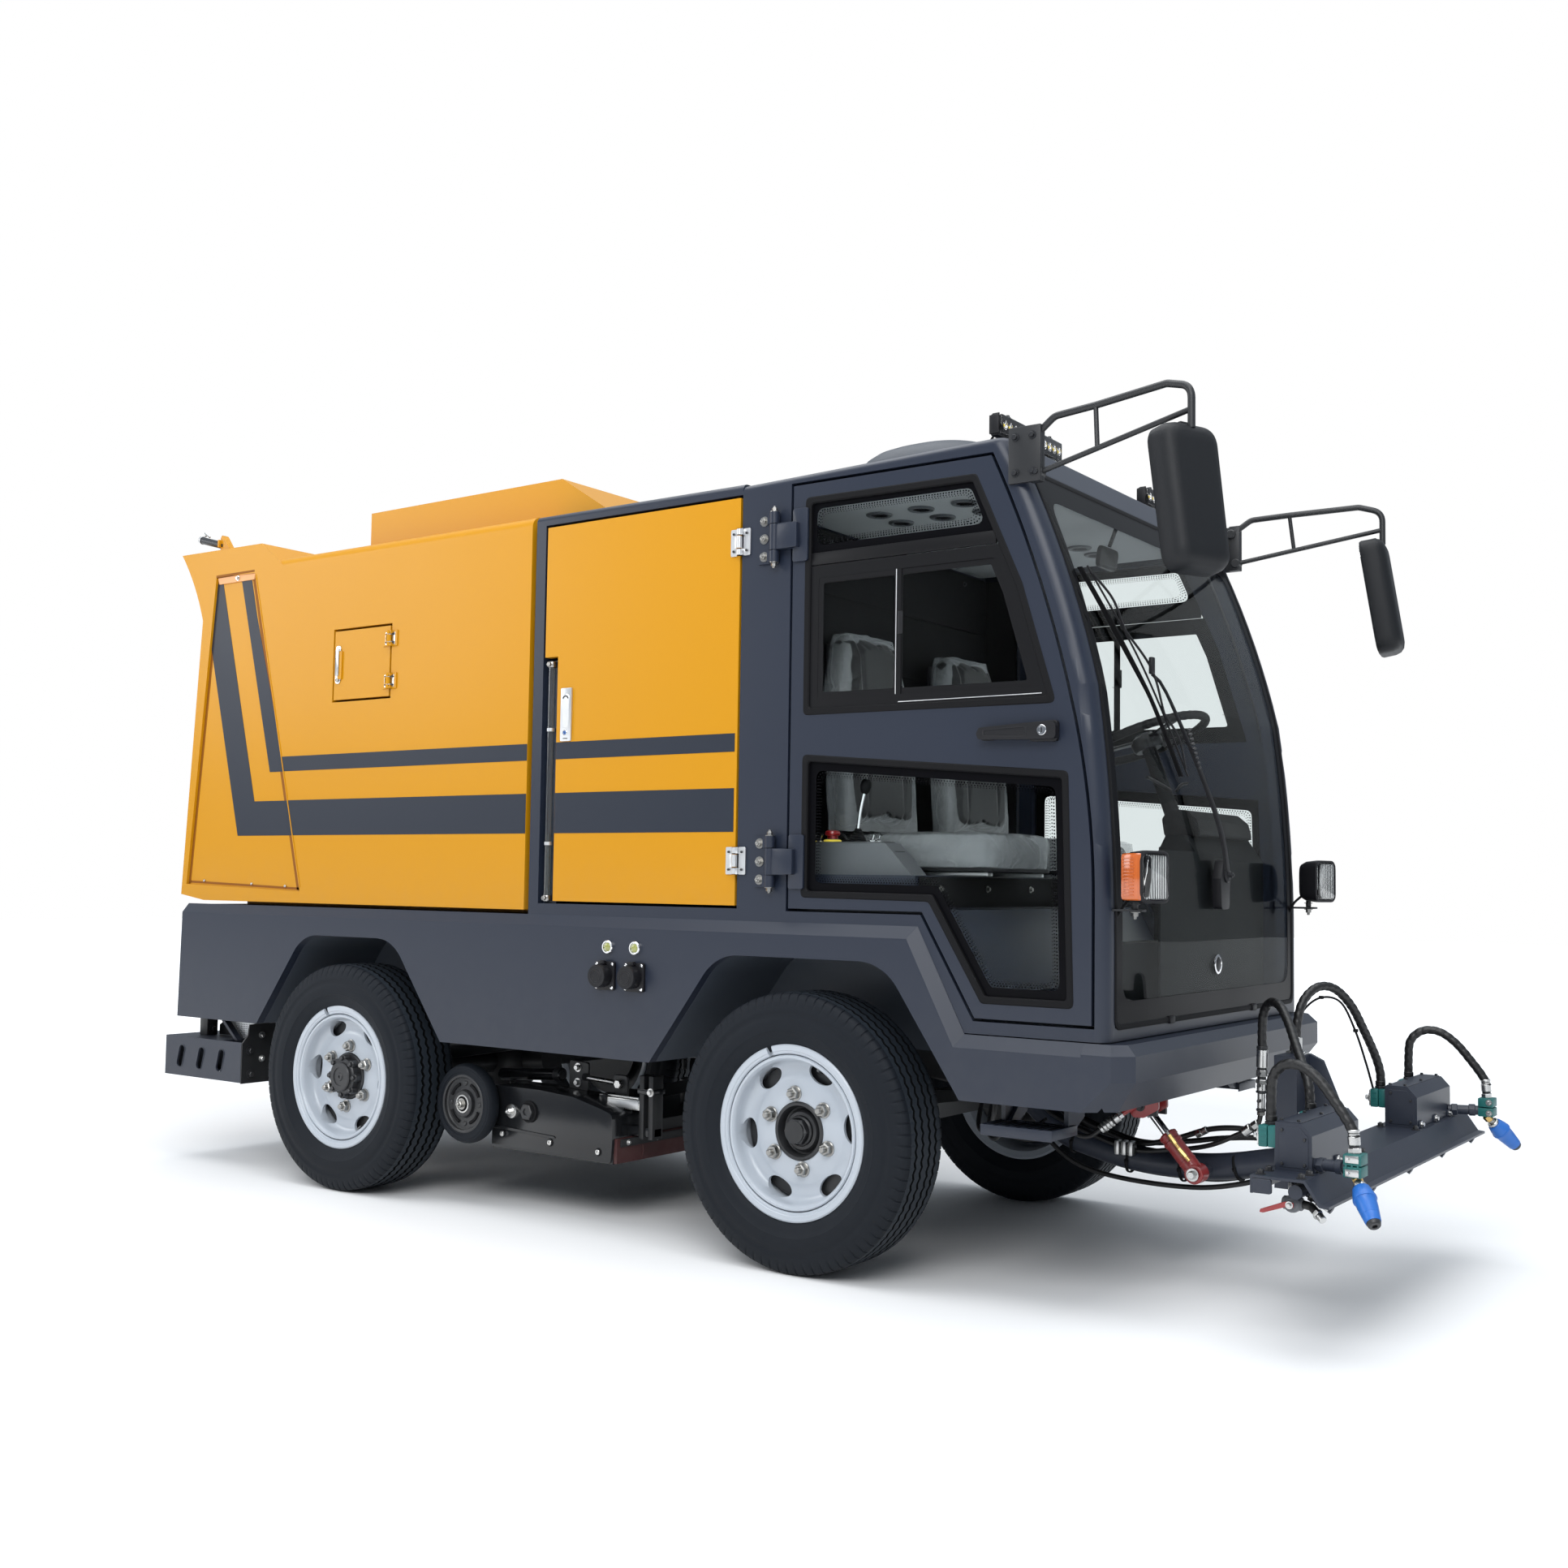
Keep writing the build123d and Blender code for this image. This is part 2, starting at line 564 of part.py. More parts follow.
# equipment bay: an open-sided box behind the cab
bay_floor_z = deck_z + 34.0
bay_ceiling_z = roof_z - 33.0
opening_rear_x = bay_rear_x + bay_wall
notch_x = opening_rear_x + 54.0
notch_z = 1716.0
with BuildPart() as bay_frame:
    block(bay_rear_x, bay_front_x, -panel_half, panel_half, deck_z, roof_z)
    block(opening_rear_x, bay_front_x, -panel_half, panel_half, bay_floor_z, bay_ceiling_z,
          mode=Mode.SUBTRACT)
    block(bay_front_x - 20, bay_front_x, -panel_half + lid_thickness + seam,
          panel_half - lid_thickness - seam, bay_floor_z, bay_ceiling_z)
    for side in (-1, 1):
        block(opening_rear_x, notch_x, side * (panel_half - 24), side * (panel_half - 34),
              bay_floor_z, notch_z)
    roof_corners = nearest_edges(bay_frame.edges(), [
        ((bay_rear_x + bay_front_x) / 2, side * panel_half, roof_z) for side in (-1, 1)])
    fillet(roof_corners, radius=20)
write(bay_frame.part, "bay_frame")

# bay doors, notched for the level tube, hinged along their front edges
bay_door_rear_x = opening_rear_x + seam
bay_door_front_x = bay_front_x - seam
bay_door_low = bay_floor_z + seam
bay_door_high = bay_ceiling_z - seam
bay_pin_x = bay_front_x - seam / 2
bay_pin_y = -panel_half - 9.0
bay_hinges = (1100.0, 2000.0)
bay_hinge = (11.0, 34.0, 4.0, 8.0, 4.0, 38.0, 18.0)
with BuildPart() as bay_door:
    slab([(notch_x + seam, bay_door_low), (bay_door_front_x, bay_door_low),
          (bay_door_front_x, bay_door_high), (bay_door_rear_x, bay_door_high),
          (bay_door_rear_x, notch_z + seam), (notch_x + seam, notch_z + seam)],
         -panel_half, -panel_half + lid_thickness)
    for z in bay_hinges:
        hinge((bay_pin_x, bay_pin_y, z), -panel_half, -1, bay_hinge, True)
    block(notch_x + 30, notch_x + 66, -panel_half - 5, -panel_half, 1462, 1622)
write_pair(bay_door.part, "bay_door")

# cab shell: one side outline hollowed by its wall, with doors and windscreen cut
cab_low = deck_z
cab_foot_z = nose_deck_z + 3.0
glass_low_z = 700.0
glass_high_z = 2100.0
glass_half = panel_half - 50.0


def nose_curve(back):
    """The cab's curved front, from foot to brow, moved back by a distance."""
    shift = front_axle_x - back
    Line((shift + 893, cab_foot_z), (shift + 893, 900))
    ThreePointArc((shift + 893, 900), (shift + 880, 1250), (shift + 848, 1540))
    ThreePointArc((shift + 848, 1540), (shift + 766, 1825), (shift + 650, 2110))


with BuildSketch(Plane.XZ.offset(-panel_half)) as cab_side:
    with BuildLine():
        Polyline((bay_front_x, cab_low), (cab_step_x, cab_low), (cab_foot_x, cab_foot_z),
                 (cab_nose_x, cab_foot_z))
        nose_curve(0)
        Polyline((front_axle_x + 650, 2110), (front_axle_x + 606, cab_roof_z),
                 (bay_front_x, roof_z - 6), (bay_front_x, cab_low))
    make_face()
with BuildSketch(Plane.XZ.offset(-panel_half)) as cab_room:
    add(cab_side.sketch_local)
    offset(amount=-cab_wall, kind=Kind.INTERSECTION, mode=Mode.REPLACE)

# the door's outline: straight sill, step down behind the wheel, front edge along the pillar
door_rear_x = front_axle_x - 48.0
door_high = cab_roof_z - 48.0
door_sill = 971.0
door_foot = 708.0


def door_outline(grow):
    """The cab door's side outline, grown all round by a distance."""
    with BuildSketch(Plane.XZ.offset(-panel_half)) as outline:
        with BuildLine():
            Polyline((front_axle_x + 854, 1000), (front_axle_x + 854, door_foot),
                     (front_axle_x + 534, door_foot), (cab_step_x + 12, door_sill),
                     (door_rear_x, door_sill), (door_rear_x, door_high),
                     (front_axle_x + 571, door_high))
            ThreePointArc((front_axle_x + 571, door_high), (front_axle_x + 704, 1812),
                          (front_axle_x + 792, 1510))
            ThreePointArc((front_axle_x + 792, 1510), (front_axle_x + 836, 1280),
                          (front_axle_x + 854, 1000))
        make_face()
        if grow:
            offset(amount=grow, kind=Kind.INTERSECTION, mode=Mode.REPLACE)
    return outline.sketch


def shifted(face, distance):
    """A side outline moved across the vehicle."""
    return Location((0, distance, 0)) * face


cab_pin_x = front_axle_x - 100.0
cab_pin_y = -panel_half - 18.0
cab_hinges = (1098.0, 1998.0)
cab_hinge_fixed = (18.0, 62.0, 8.0, 14.0, 7.0, 70.0, 36.0)
cab_hinge_moving = (56.0, 98.0, 8.0, 14.0, 7.0, 70.0, 36.0)
windscreen_lap = 34.0
plinth_z = 1065.0
plinth_half = panel_half - door_thickness - 4.0
with BuildPart() as windscreen:
    with BuildSketch(Plane.XZ.offset(-glass_half)) as pane:
        with BuildLine():
            nose_curve(0)
            Line((front_axle_x + 650, 2110), (front_axle_x + 650 - glass, 2110))
            nose_curve(glass)
            Line((cab_nose_x - glass, cab_foot_z), (cab_nose_x, cab_foot_z))
        make_face()
    extrude(pane.sketch, amount=2 * glass_half)
    block(0, nose_x, -panel_half, panel_half, 0, glass_low_z, mode=Mode.SUBTRACT)
    block(0, nose_x, -panel_half, panel_half, glass_high_z, 3000, mode=Mode.SUBTRACT)
write(windscreen.part, "windscreen")

with BuildPart() as cab_shell:
    extrude(cab_side.sketch, amount=2 * panel_half)
    front_edges = cab_shell.edges().filter_by(
        lambda e: e.center().X > cab_foot_x and abs(abs(e.center().Y) - panel_half) < 1
        and 700 < e.center().Z < 2150)
    fillet(front_edges, radius=36)
    roof_rims = nearest_edges(cab_shell.edges(), [
        (front_axle_x + 150, side * panel_half, (roof_z + cab_roof_z) / 2) for side in (-1, 1)])
    fillet(roof_rims, radius=20)
    extrude(shifted(cab_room.sketch, -cab_wall), amount=2 * (panel_half - cab_wall),
            mode=Mode.SUBTRACT)
    # door openings on both sides
    for near in (0, -2 * panel_half + door_thickness + 12):
        extrude(shifted(door_outline(seam), near), amount=door_thickness + 12,
                mode=Mode.SUBTRACT)
    # windscreen opening, rebated for the glass
    block(cab_foot_x, nose_x, windscreen_lap - glass_half, glass_half - windscreen_lap,
          glass_low_z + windscreen_lap, glass_high_z - windscreen_lap, mode=Mode.SUBTRACT)
    add(windscreen.part, mode=Mode.SUBTRACT)
    # seat plinth across the rear of the cab, clear of the doors
    block(bay_front_x + cab_wall - 2, front_axle_x + 330, -plinth_half, plinth_half,
          cab_low + cab_wall - 2, plinth_z)
    # fixed halves of the cab door hinges and of the bay door hinges
    for side in (-1, 1):
        for z in cab_hinges:
            hinge((cab_pin_x, -side * cab_pin_y, z), side * panel_half, -1, cab_hinge_fixed, False)
        for z in bay_hinges:
            hinge((bay_pin_x, -side * bay_pin_y, z), side * panel_half, 1, bay_hinge, False)
write(cab_shell.part, "cab_shell")

# cab doors: frames with two windows each, and their panes
window_lap = 10.0
upper_window = ahead((0, 1505), (748, 1500), (655, 1800), (524, 2090), (0, 2094))
lower_window = ahead((0, 1008), (400, 1004), (556, 752), (800, 752), (784, 1318), (0, 1384))
pane_in = 16.0                          # the glass sits this far behind the door skin
with BuildPart() as cab_glass:
    for outline in (upper_window, lower_window):
        with BuildSketch(Plane.XZ.offset(panel_half - pane_in)) as pane:
            Polygon(*outline, align=None)
            offset(amount=window_lap, kind=Kind.INTERSECTION)
        extrude(pane.sketch, amount=glass)

with BuildPart() as cab_door:
    extrude(shifted(door_outline(0), door_thickness - 2 * panel_half), amount=door_thickness)
    for outline in (upper_window, lower_window):
        slab(outline, -panel_half - 1, -panel_half + door_thickness + 1, mode=Mode.SUBTRACT)
    add(cab_glass.part, mode=Mode.SUBTRACT)
    # handle, and the moving halves of the hinges
    block(front_axle_x + 560, front_axle_x + 752, -panel_half - 26, -panel_half - 14, 1412, 1434)
    for x in (front_axle_x + 572, front_axle_x + 738):
        block(x - 12, x + 12, -panel_half - 20, -panel_half, 1412, 1434)
    for z in cab_hinges:
        hinge((cab_pin_x, cab_pin_y, z), -panel_half, 1, cab_hinge_moving, True)
write_pair(cab_door.part, "cab_door")
write_pair(cab_glass.part, "cab_glass")

# inside the cab: dashboard with the steering column, wheel, side console and two seats
floor_z = cab_foot_z + cab_wall
driver_y = 290.0
wheel_hub = Vector(front_axle_x + 575, driver_y, 1462)
column_foot = Vector(front_axle_x + 745, driver_y, 1010)
dash_x = cab_nose_x - cab_wall - 13.0   # front face, just behind the cab's front wall
with BuildPart() as dashboard:
    slab([(dash_x - 138, floor_z), (dash_x, floor_z), (dash_x, 1120), (dash_x - 48, 1190),
          (dash_x - 103, 1190), (dash_x - 138, 1120)], driver_y - 250, driver_y + 250)
    slab([(dash_x - 68, floor_z), (dash_x, floor_z), (dash_x, 900), (dash_x - 68, 900)],
         -560, driver_y - 250)
    rod(column_foot, wheel_hub, 22)
write(dashboard.part, "dashboard")

column_axis = (wheel_hub - column_foot).normalized()
with BuildPart() as steering_wheel:
    rod(wheel_hub, wheel_hub + column_axis * 34, 46)
    with BuildSketch(Plane(origin=wheel_hub + column_axis * 22, z_dir=column_axis)) as spokes:
        with PolarLocations(0, 3, start_angle=90):
            Rectangle(184, 26, align=(Align.MIN, Align.CENTER))
    extrude(spokes.sketch, amount=8)
    with Locations(Plane(origin=wheel_hub + column_axis * 26, z_dir=column_axis)):
        Torus(186, 13)
write(steering_wheel.part, "steering_wheel")

with BuildPart() as side_console:
    slab(ahead((-150, plinth_z), (290, plinth_z), (230, 1128), (205, 1152), (-150, 1152)),
         -600, -520)
    with Locations((front_axle_x + 8, -560, 1152)):
        Cylinder(19, 12, align=(Align.CENTER, Align.CENTER, Align.MIN))
        Cylinder(15, 30, align=(Align.CENTER, Align.CENTER, Align.MIN))
write(side_console.part, "side_console")

seat_centres = (-driver_y, driver_y)
seat_half = 205.0
with BuildPart() as seat_cushions:
    for y in seat_centres:
        block(front_axle_x + 20, front_axle_x + 470, y - seat_half, y + seat_half,
              plinth_z, plinth_z + 120)
        slab(ahead((-60, plinth_z), (12, plinth_z), (12, 1240), (-35, 1790), (-105, 1790)),
             y - seat_half + 10, y + seat_half - 10)
write(seat_cushions.part, "seats")

# on the cab roof: air unit, light bars; at the nose: headlamps, mirrors and wiper
under_roof = [(bay_front_x, roof_z - 6), (front_axle_x + 606, cab_roof_z),
              (front_axle_x + 606, 2100), (bay_front_x, 2100)]
with BuildPart() as roof_air_unit:
    for rise, length, width in ((-26, 560, 660), (110, 500, 600), (176, 330, 420)):
        with BuildSketch(Plane.XY.offset(cab_roof_z + rise)):
            with Locations((front_axle_x + 62, 0)):
                RectangleRounded(length, width, 90)
    loft(ruled=True)
    slab(under_roof, -panel_half, panel_half, mode=Mode.SUBTRACT)
write(roof_air_unit.part, "roof_air_unit")

lamp_bar_x = front_axle_x + 560.0
with BuildPart() as roof_lights:
    for side in (-1, 1):
        block(lamp_bar_x - 18, lamp_bar_x + 18, side * 292, side * 636,
              cab_roof_z + 20, cab_roof_z + 76)
        for y in (340, 580):
            block(lamp_bar_x - 10, lamp_bar_x + 10, side * (y - 14), side * (y + 14),
                  cab_roof_z - 6, cab_roof_z + 24)
    slab(under_roof, -panel_half, panel_half, mode=Mode.SUBTRACT)
write(roof_lights.part, "roof_lights")

lamp_y = panel_half - 49.0
lamp_x = cab_nose_x + 73.0
lamp_low = 1003.0
lamp_high = 1131.0
with BuildPart() as headlamps:
    for side in (-1, 1):
        block(lamp_x - 38, lamp_x + 38, side * (lamp_y - 56), side * (lamp_y + 56),
              lamp_low, lamp_high)
    fillet(headlamps.edges().filter_by(Axis.X), radius=18)
    for side in (-1, 1):
        rod((lamp_x - 22, side * lamp_y, lamp_low + 10), (lamp_x - 22, side * lamp_y, 972), 8)
        block(cab_nose_x - 21, lamp_x, side * (lamp_y - 16), side * (lamp_y + 16), 984, 990)
    add(cab_shell.part, mode=Mode.SUBTRACT)
    add(windscreen.part, mode=Mode.SUBTRACT)
write(headlamps.part, "headlamps")

mirror_yaw = -25.0
mirror_size = (74.0, 168.0, 356.0)
mirror_y = -panel_half - 82.0
mirror_at = (front_axle_x + 1136, mirror_y, 1942.0)
arm_radius = 9.0
with BuildPart() as mirror:
    block(front_axle_x + 626, front_axle_x + 716, -panel_half - 12, -panel_half, 2052, 2196)
    block(front_axle_x + 682, front_axle_x + 716, -panel_half, -panel_half + 14, 2052, 2196)
    tube([(front_axle_x + 690, mirror_y + 84, 2170), (front_axle_x + 750, mirror_y + 75, 2211),
          (front_axle_x + 868, mirror_y + 60, 2216), (front_axle_x + 1070, mirror_y + 16, 2225),
          (front_axle_x + 1137, mirror_y, 2205), (front_axle_x + 1137, mirror_y, 2105)],
         arm_radius)
    rod((front_axle_x + 700, mirror_y + 80, 2072), (front_axle_x + 1137, mirror_y, 2150), 7)
    rod((front_axle_x + 868, mirror_y + 60, 2216), (front_axle_x + 878, mirror_y + 48, 2104), 6)
    with BuildSketch(Plane(origin=(mirror_at[0], mirror_at[1], mirror_at[2] - mirror_size[2] / 2),
                           x_dir=(1, 0, 0)).rotated((0, 5, mirror_yaw))) as head:
        RectangleRounded(mirror_size[0], mirror_size[1], 30)
    extrude(head.sketch, amount=mirror_size[2])
with BuildPart() as mirrors:
    add(mirror.part)
    add(mirror.part.mirror(Plane.XZ))
write(mirrors.part, "mirrors")

with BuildPart() as wiper:
    rod((cab_nose_x - 7, 22, 1075), (cab_nose_x + 34, 22, 1078), 20)
    tube([(front_axle_x + 921, 22, 1080), (front_axle_x + 922, -22, 1187),
          (front_axle_x + 905, -113, 1332), (front_axle_x + 878, -293, 1551),
          (front_axle_x + 850, -396, 1609)], 7)
    tube([(front_axle_x + 889, -202, 1337), (front_axle_x + 849, -400, 1612),
          (front_axle_x + 778, -583, 1848)], 9)
    add(windscreen.part, mode=Mode.SUBTRACT)
write(wiper.part, "wiper")

# steps below the cab doors
step_rear_x = front_axle_x + 560.0
step_front_x = front_axle_x + 755.0
step_inner = skirt_half - 155.0
with BuildPart() as steps:
    for side in (-1, 1):
        hanger_y = side * step_inner
        block(step_rear_x, step_front_x, hanger_y, side * (skirt_half - 15), 430, 446)
        for x in (step_rear_x + 4, step_front_x - 16):
            block(x, x + 12, hanger_y, hanger_y + side * 40, 430, 505)
        block(step_rear_x, step_front_x, hanger_y, hanger_y + side * 40, 495, outrigger_low)
write(steps.part, "steps")

# battery pack in the bay: one plain block
with BuildPart() as battery_pack:
    block(bay_rear_x + 110, bay_front_x - 90, -480, 480, bay_floor_z, 1420)
write(battery_pack.part, "battery_pack")

# boom: bent tube from the pivot to a post that carries the spray bar
post_rear_x = front_axle_x + 1080.0
post_front_x = front_axle_x + 1140.0
with BuildPart() as boom:
    tube([(boom_pivot_x, 0, boom_pivot_z), (boom_pivot_x + 110, 0, 335),
          (boom_pivot_x + 330, 0, 282), (boom_pivot_x + 560, 0, 282),
          (post_rear_x + 30, 0, 330)], boom_radius)
    rod((boom_pivot_x, -54, boom_pivot_z), (boom_pivot_x, 54, boom_pivot_z), boom_radius)
    rod((boom_pivot_x, -60, boom_pivot_z), (boom_pivot_x, 60, boom_pivot_z),
        pin_radius + bearing_gap, mode=Mode.SUBTRACT)
    # post, with a gusset to the front
    block(post_rear_x, post_front_x, -60, 60, 262, 606)
    slab([(post_front_x, 606), (post_front_x + 34, 590), (post_front_x + 112, bar_z - sheet),
          (post_front_x + 112, 330), (post_front_x, 262)], 44, 60)
    # lug and pin for the foot of the lift cylinder
    foot_x, foot_y, foot_z = cylinder_foot
    rod((foot_x, 0, foot_z), (foot_x, foot_y - 26, foot_z), pin_radius)
    # bent sheet bar: top plate, sloping front, lip; water pipe and jets below it
    block(post_front_x - 20, bar_rear_x + 20, -60, 60, bar_z - sheet, bar_z)
    slab([(bar_rear_x, bar_z), (bar_front_x, bar_z), (lip_x - 10, lip_z + 4), (lip_x + 8, lip_z + 2),
          (lip_x + 8, lip_z - 4), (lip_x - 14, lip_z - 2), (bar_front_x - 4, bar_z - sheet),
          (bar_rear_x + sheet, bar_z - sheet), (bar_rear_x + sheet, bar_z - 40),
          (bar_rear_x, bar_z - 40)], -bar_half, bar_half)
    rod((bar_front_x - 30, -690, 373), (bar_front_x - 30, 690, 373), 16)
    for y in (-640, -320, 0, 320, 640):
        block(bar_front_x - 36, bar_front_x - 24, y - 10, y + 10, 380, bar_z - 2)
        rod((bar_front_x - 24, y, 370), (lip_x - 8, y, 334), 9)
    for side in (-1, 1):
        slab([(housing_rear_x, bar_z), (housing_front_x, bar_z),
              (housing_front_x, housing_high - 26), (housing_front_x - 24, housing_high),
              (housing_rear_x, housing_high)], side * housing_inner, side * housing_outer)
        # pipe forward to the clamp that holds the rotary nozzle
        rod((housing_front_x, side * 590, 424), (front_axle_x + 1450, side * 608, 426), 13)
write(boom.part, "spray_boom")

# hose clamps and fittings, hoses, and the rotary nozzles
with BuildPart() as clamps:
    for side in (-1, 1):
        block(housing_rear_x - 42, housing_rear_x, side * 548, side * 604, 452, 502)
        block(housing_rear_x - 42, housing_rear_x, side * 272, side * 318, 452, 502)
        block(front_axle_x + 1436, front_axle_x + 1478, side * 590, side * 646, 410, 462)
    add(boom.part, mode=Mode.SUBTRACT)
write(clamps.part, "hose_clamps")

clamp_x = housing_rear_x - 21
clamp_top = 502.0
post_top = 606.0
front_clamp = (front_axle_x + 1457, 618.0, 462.0)
with BuildPart() as hoses:
    for side in (-1, 1):
        tube([(clamp_x, side * 576, clamp_top), (clamp_x, side * 576, 570),
              (clamp_x + 24, side * 584, 640), (clamp_x + 98, side * 602, 648),
              (front_clamp[0], side * front_clamp[1], 540),
              (front_clamp[0], side * front_clamp[1], front_clamp[2])], hose_radius)
    tube([(post_rear_x + 12, -28, post_top), (post_rear_x + 12, -28, 680),
          (post_rear_x + 30, -62, 746), (post_rear_x + 80, -132, 738),
          (post_rear_x + 124, -210, 660), (clamp_x, -295, 580),
          (clamp_x, -295, clamp_top)], hose_radius)
    tube([(post_rear_x + 32, 24, post_top), (post_rear_x + 32, 24, 692),
          (post_rear_x + 48, 58, 764), (post_rear_x + 100, 132, 770),
          (post_rear_x + 140, 210, 690), (clamp_x, 295, 590),
          (clamp_x, 295, clamp_top)], hose_radius)
write(hoses.part, "spray_hoses")

nozzle_base = (front_axle_x + 1457, 612.0, 410.0)
with BuildPart() as nozzles:
    for side in (-1, 1):
        base = Vector(nozzle_base[0], side * nozzle_base[1], nozzle_base[2])
        tip = Vector(front_axle_x + 1522, side * 694, 318)
        along = (tip - base).normalized()
        rod(base, base + along * 34, 9)
        with BuildSketch(Plane(origin=base + along * 34, z_dir=along)) as back:
            Circle(17)
        with BuildSketch(Plane(origin=base + along * 62, z_dir=along)) as waist:
            Circle(22)
        with BuildSketch(Plane(origin=tip, z_dir=along)) as mouth:
            Circle(12)
        loft([back.sketch, waist.sketch], ruled=True)
        loft([waist.sketch, mouth.sketch], ruled=True)
    add(clamps.part, mode=Mode.SUBTRACT)
write(nozzles.part, "rotary_nozzles")

# lift cylinder: barrel on the boom's pin, rod up to the chassis fork
foot = Vector(*cylinder_foot)
head = Vector(*cylinder_head)
stroke_axis = (head - foot).normalized()
rod_out = 96.0
with BuildPart() as lift_barrel:
    barrel_end = head - stroke_axis * rod_out
    rod(foot, barrel_end, 24)
    rod(foot - Vector(0, 21, 0), foot + Vector(0, 21, 0), 26)
    rod(foot - Vector(0, 30, 0), foot + Vector(0, 30, 0), pin_radius + bearing_gap,
        mode=Mode.SUBTRACT)
    rod(foot + stroke_axis * 34, barrel_end, 11.5, mode=Mode.SUBTRACT)
write(lift_barrel.part, "lift_cylinder")

with BuildPart() as lift_rod:
    rod(foot + stroke_axis * 84, head, 11)
    rod(head - Vector(0, 19, 0), head + Vector(0, 19, 0), 22)
    rod(head - Vector(0, 30, 0), head + Vector(0, 30, 0), eye_bore, mode=Mode.SUBTRACT)
write(lift_rod.part, "lift_rod")

# suction deck between the axles, its two arms, support wheels and rubber flap
with BuildPart() as suction_arms:
    for side in (-1, 1):
        y = side * arm_y
        rod((arm_pivot_x, y - 13, arm_pivot_z), (arm_pivot_x, y + 13, arm_pivot_z), 26)
        rod((suction_pivot_x, y - 13, suction_pivot_z), (suction_pivot_x, y + 13, suction_pivot_z),
            26)
        slab([(arm_pivot_x, arm_pivot_z + 20), (arm_pivot_x, arm_pivot_z - 20),
              (suction_pivot_x, suction_pivot_z - 20), (suction_pivot_x, suction_pivot_z + 20)],
             y - 13, y + 13)
    mid_x = (arm_pivot_x + suction_pivot_x) / 2
    mid_z = (arm_pivot_z + suction_pivot_z) / 2
    rod((mid_x, -arm_y, mid_z), (mid_x, arm_y, mid_z), 18)
    for side in (-1, 1):
        y = side * arm_y
        for x, z in ((arm_pivot_x, arm_pivot_z), (suction_pivot_x, suction_pivot_z)):
            rod((x, y - 20, z), (x, y + 20, z), pin_radius + bearing_gap, mode=Mode.SUBTRACT)
write(suction_arms.part, "suction_arms")

with BuildPart() as suction_deck:
    block(suction_rear_x, suction_front_x, -suction_half, suction_half, suction_high - 8,
          suction_high)
    for side in (-1, 1):
        block(suction_rear_x, suction_front_x, side * suction_half, side * (suction_half - 10),
              suction_low, suction_high)
        for near, far in ((-26, -16), (16, 26)):
            slab([(suction_pivot_x - 40, suction_high), (suction_pivot_x + 40, suction_high),
                  (suction_pivot_x + 18, suction_pivot_z + 26),
                  (suction_pivot_x - 18, suction_pivot_z + 26)],
                 side * arm_y + near, side * arm_y + far)
        rod((suction_pivot_x, side * arm_y - 30, suction_pivot_z),
            (suction_pivot_x, side * arm_y + 30, suction_pivot_z), pin_radius)
        # bracket and stub axle for the support wheel
        block(support_x - 20, suction_rear_x + 60, side * (suction_half - 10), side * suction_half,
              suction_high - 60, support_z + 30)
        rod((support_x, side * (suction_half - 10), support_z),
            (support_x, side * (support_y + support_half + 4), support_z), 14)
    block(suction_rear_x, suction_rear_x + 10, -suction_half, suction_half, suction_low,
          suction_high)
    block(suction_front_x - 10, suction_front_x, -suction_half, suction_half, suction_low,
          suction_high)
    with Locations((suction_pivot_x + 105, 0, suction_high)):
        Cylinder(65, 80, align=(Align.CENTER, Align.CENTER, Align.MIN))
write(suction_deck.part, "suction_deck")

with BuildPart() as support_wheel:
    with BuildSketch(Plane.XY):
        with BuildLine():
            Polyline((14.5, -support_half), (40, -support_half), (40, -9), (84, -9),
                     (84, -support_half), (support_radius - 8, -support_half))
            ThreePointArc((support_radius - 8, -support_half), (support_radius, 0),
                          (support_radius - 8, support_half))
            Polyline((support_radius - 8, support_half), (84, support_half), (84, 9), (40, 9),
                     (40, support_half), (14.5, support_half), (14.5, -support_half))
        make_face()
    revolve(axis=Axis.Y)
for side, out in (("left", support_y), ("right", -support_y)):
    write(Location((support_x, out, support_z)) * support_wheel.part, f"{side}_support_wheel")

with BuildPart() as rubber_flap:
    block(suction_front_x, suction_front_x + 12, -suction_half + 4, suction_half - 4,
          suction_low + 2, suction_low + 76)
write(rubber_flap.part, "rubber_flap")
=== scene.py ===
import bpy
import bmesh
import math
import random
from mathutils import Vector, Matrix
from mathutils.kdtree import KDTree


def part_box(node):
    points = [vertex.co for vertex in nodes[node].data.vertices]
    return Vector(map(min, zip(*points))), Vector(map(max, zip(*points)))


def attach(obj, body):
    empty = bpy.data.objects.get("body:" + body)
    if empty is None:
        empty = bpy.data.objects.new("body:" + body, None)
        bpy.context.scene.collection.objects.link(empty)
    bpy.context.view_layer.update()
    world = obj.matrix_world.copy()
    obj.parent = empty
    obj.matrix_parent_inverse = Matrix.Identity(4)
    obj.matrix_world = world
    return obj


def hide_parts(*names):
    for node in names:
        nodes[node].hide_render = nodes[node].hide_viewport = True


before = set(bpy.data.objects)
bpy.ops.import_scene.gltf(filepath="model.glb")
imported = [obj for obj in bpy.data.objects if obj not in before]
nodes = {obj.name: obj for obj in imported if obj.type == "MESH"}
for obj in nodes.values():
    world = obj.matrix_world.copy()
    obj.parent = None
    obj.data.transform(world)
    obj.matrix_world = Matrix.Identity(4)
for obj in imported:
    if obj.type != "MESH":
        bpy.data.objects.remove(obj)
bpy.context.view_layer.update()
print("frame loaded:", len(nodes), "pieces")

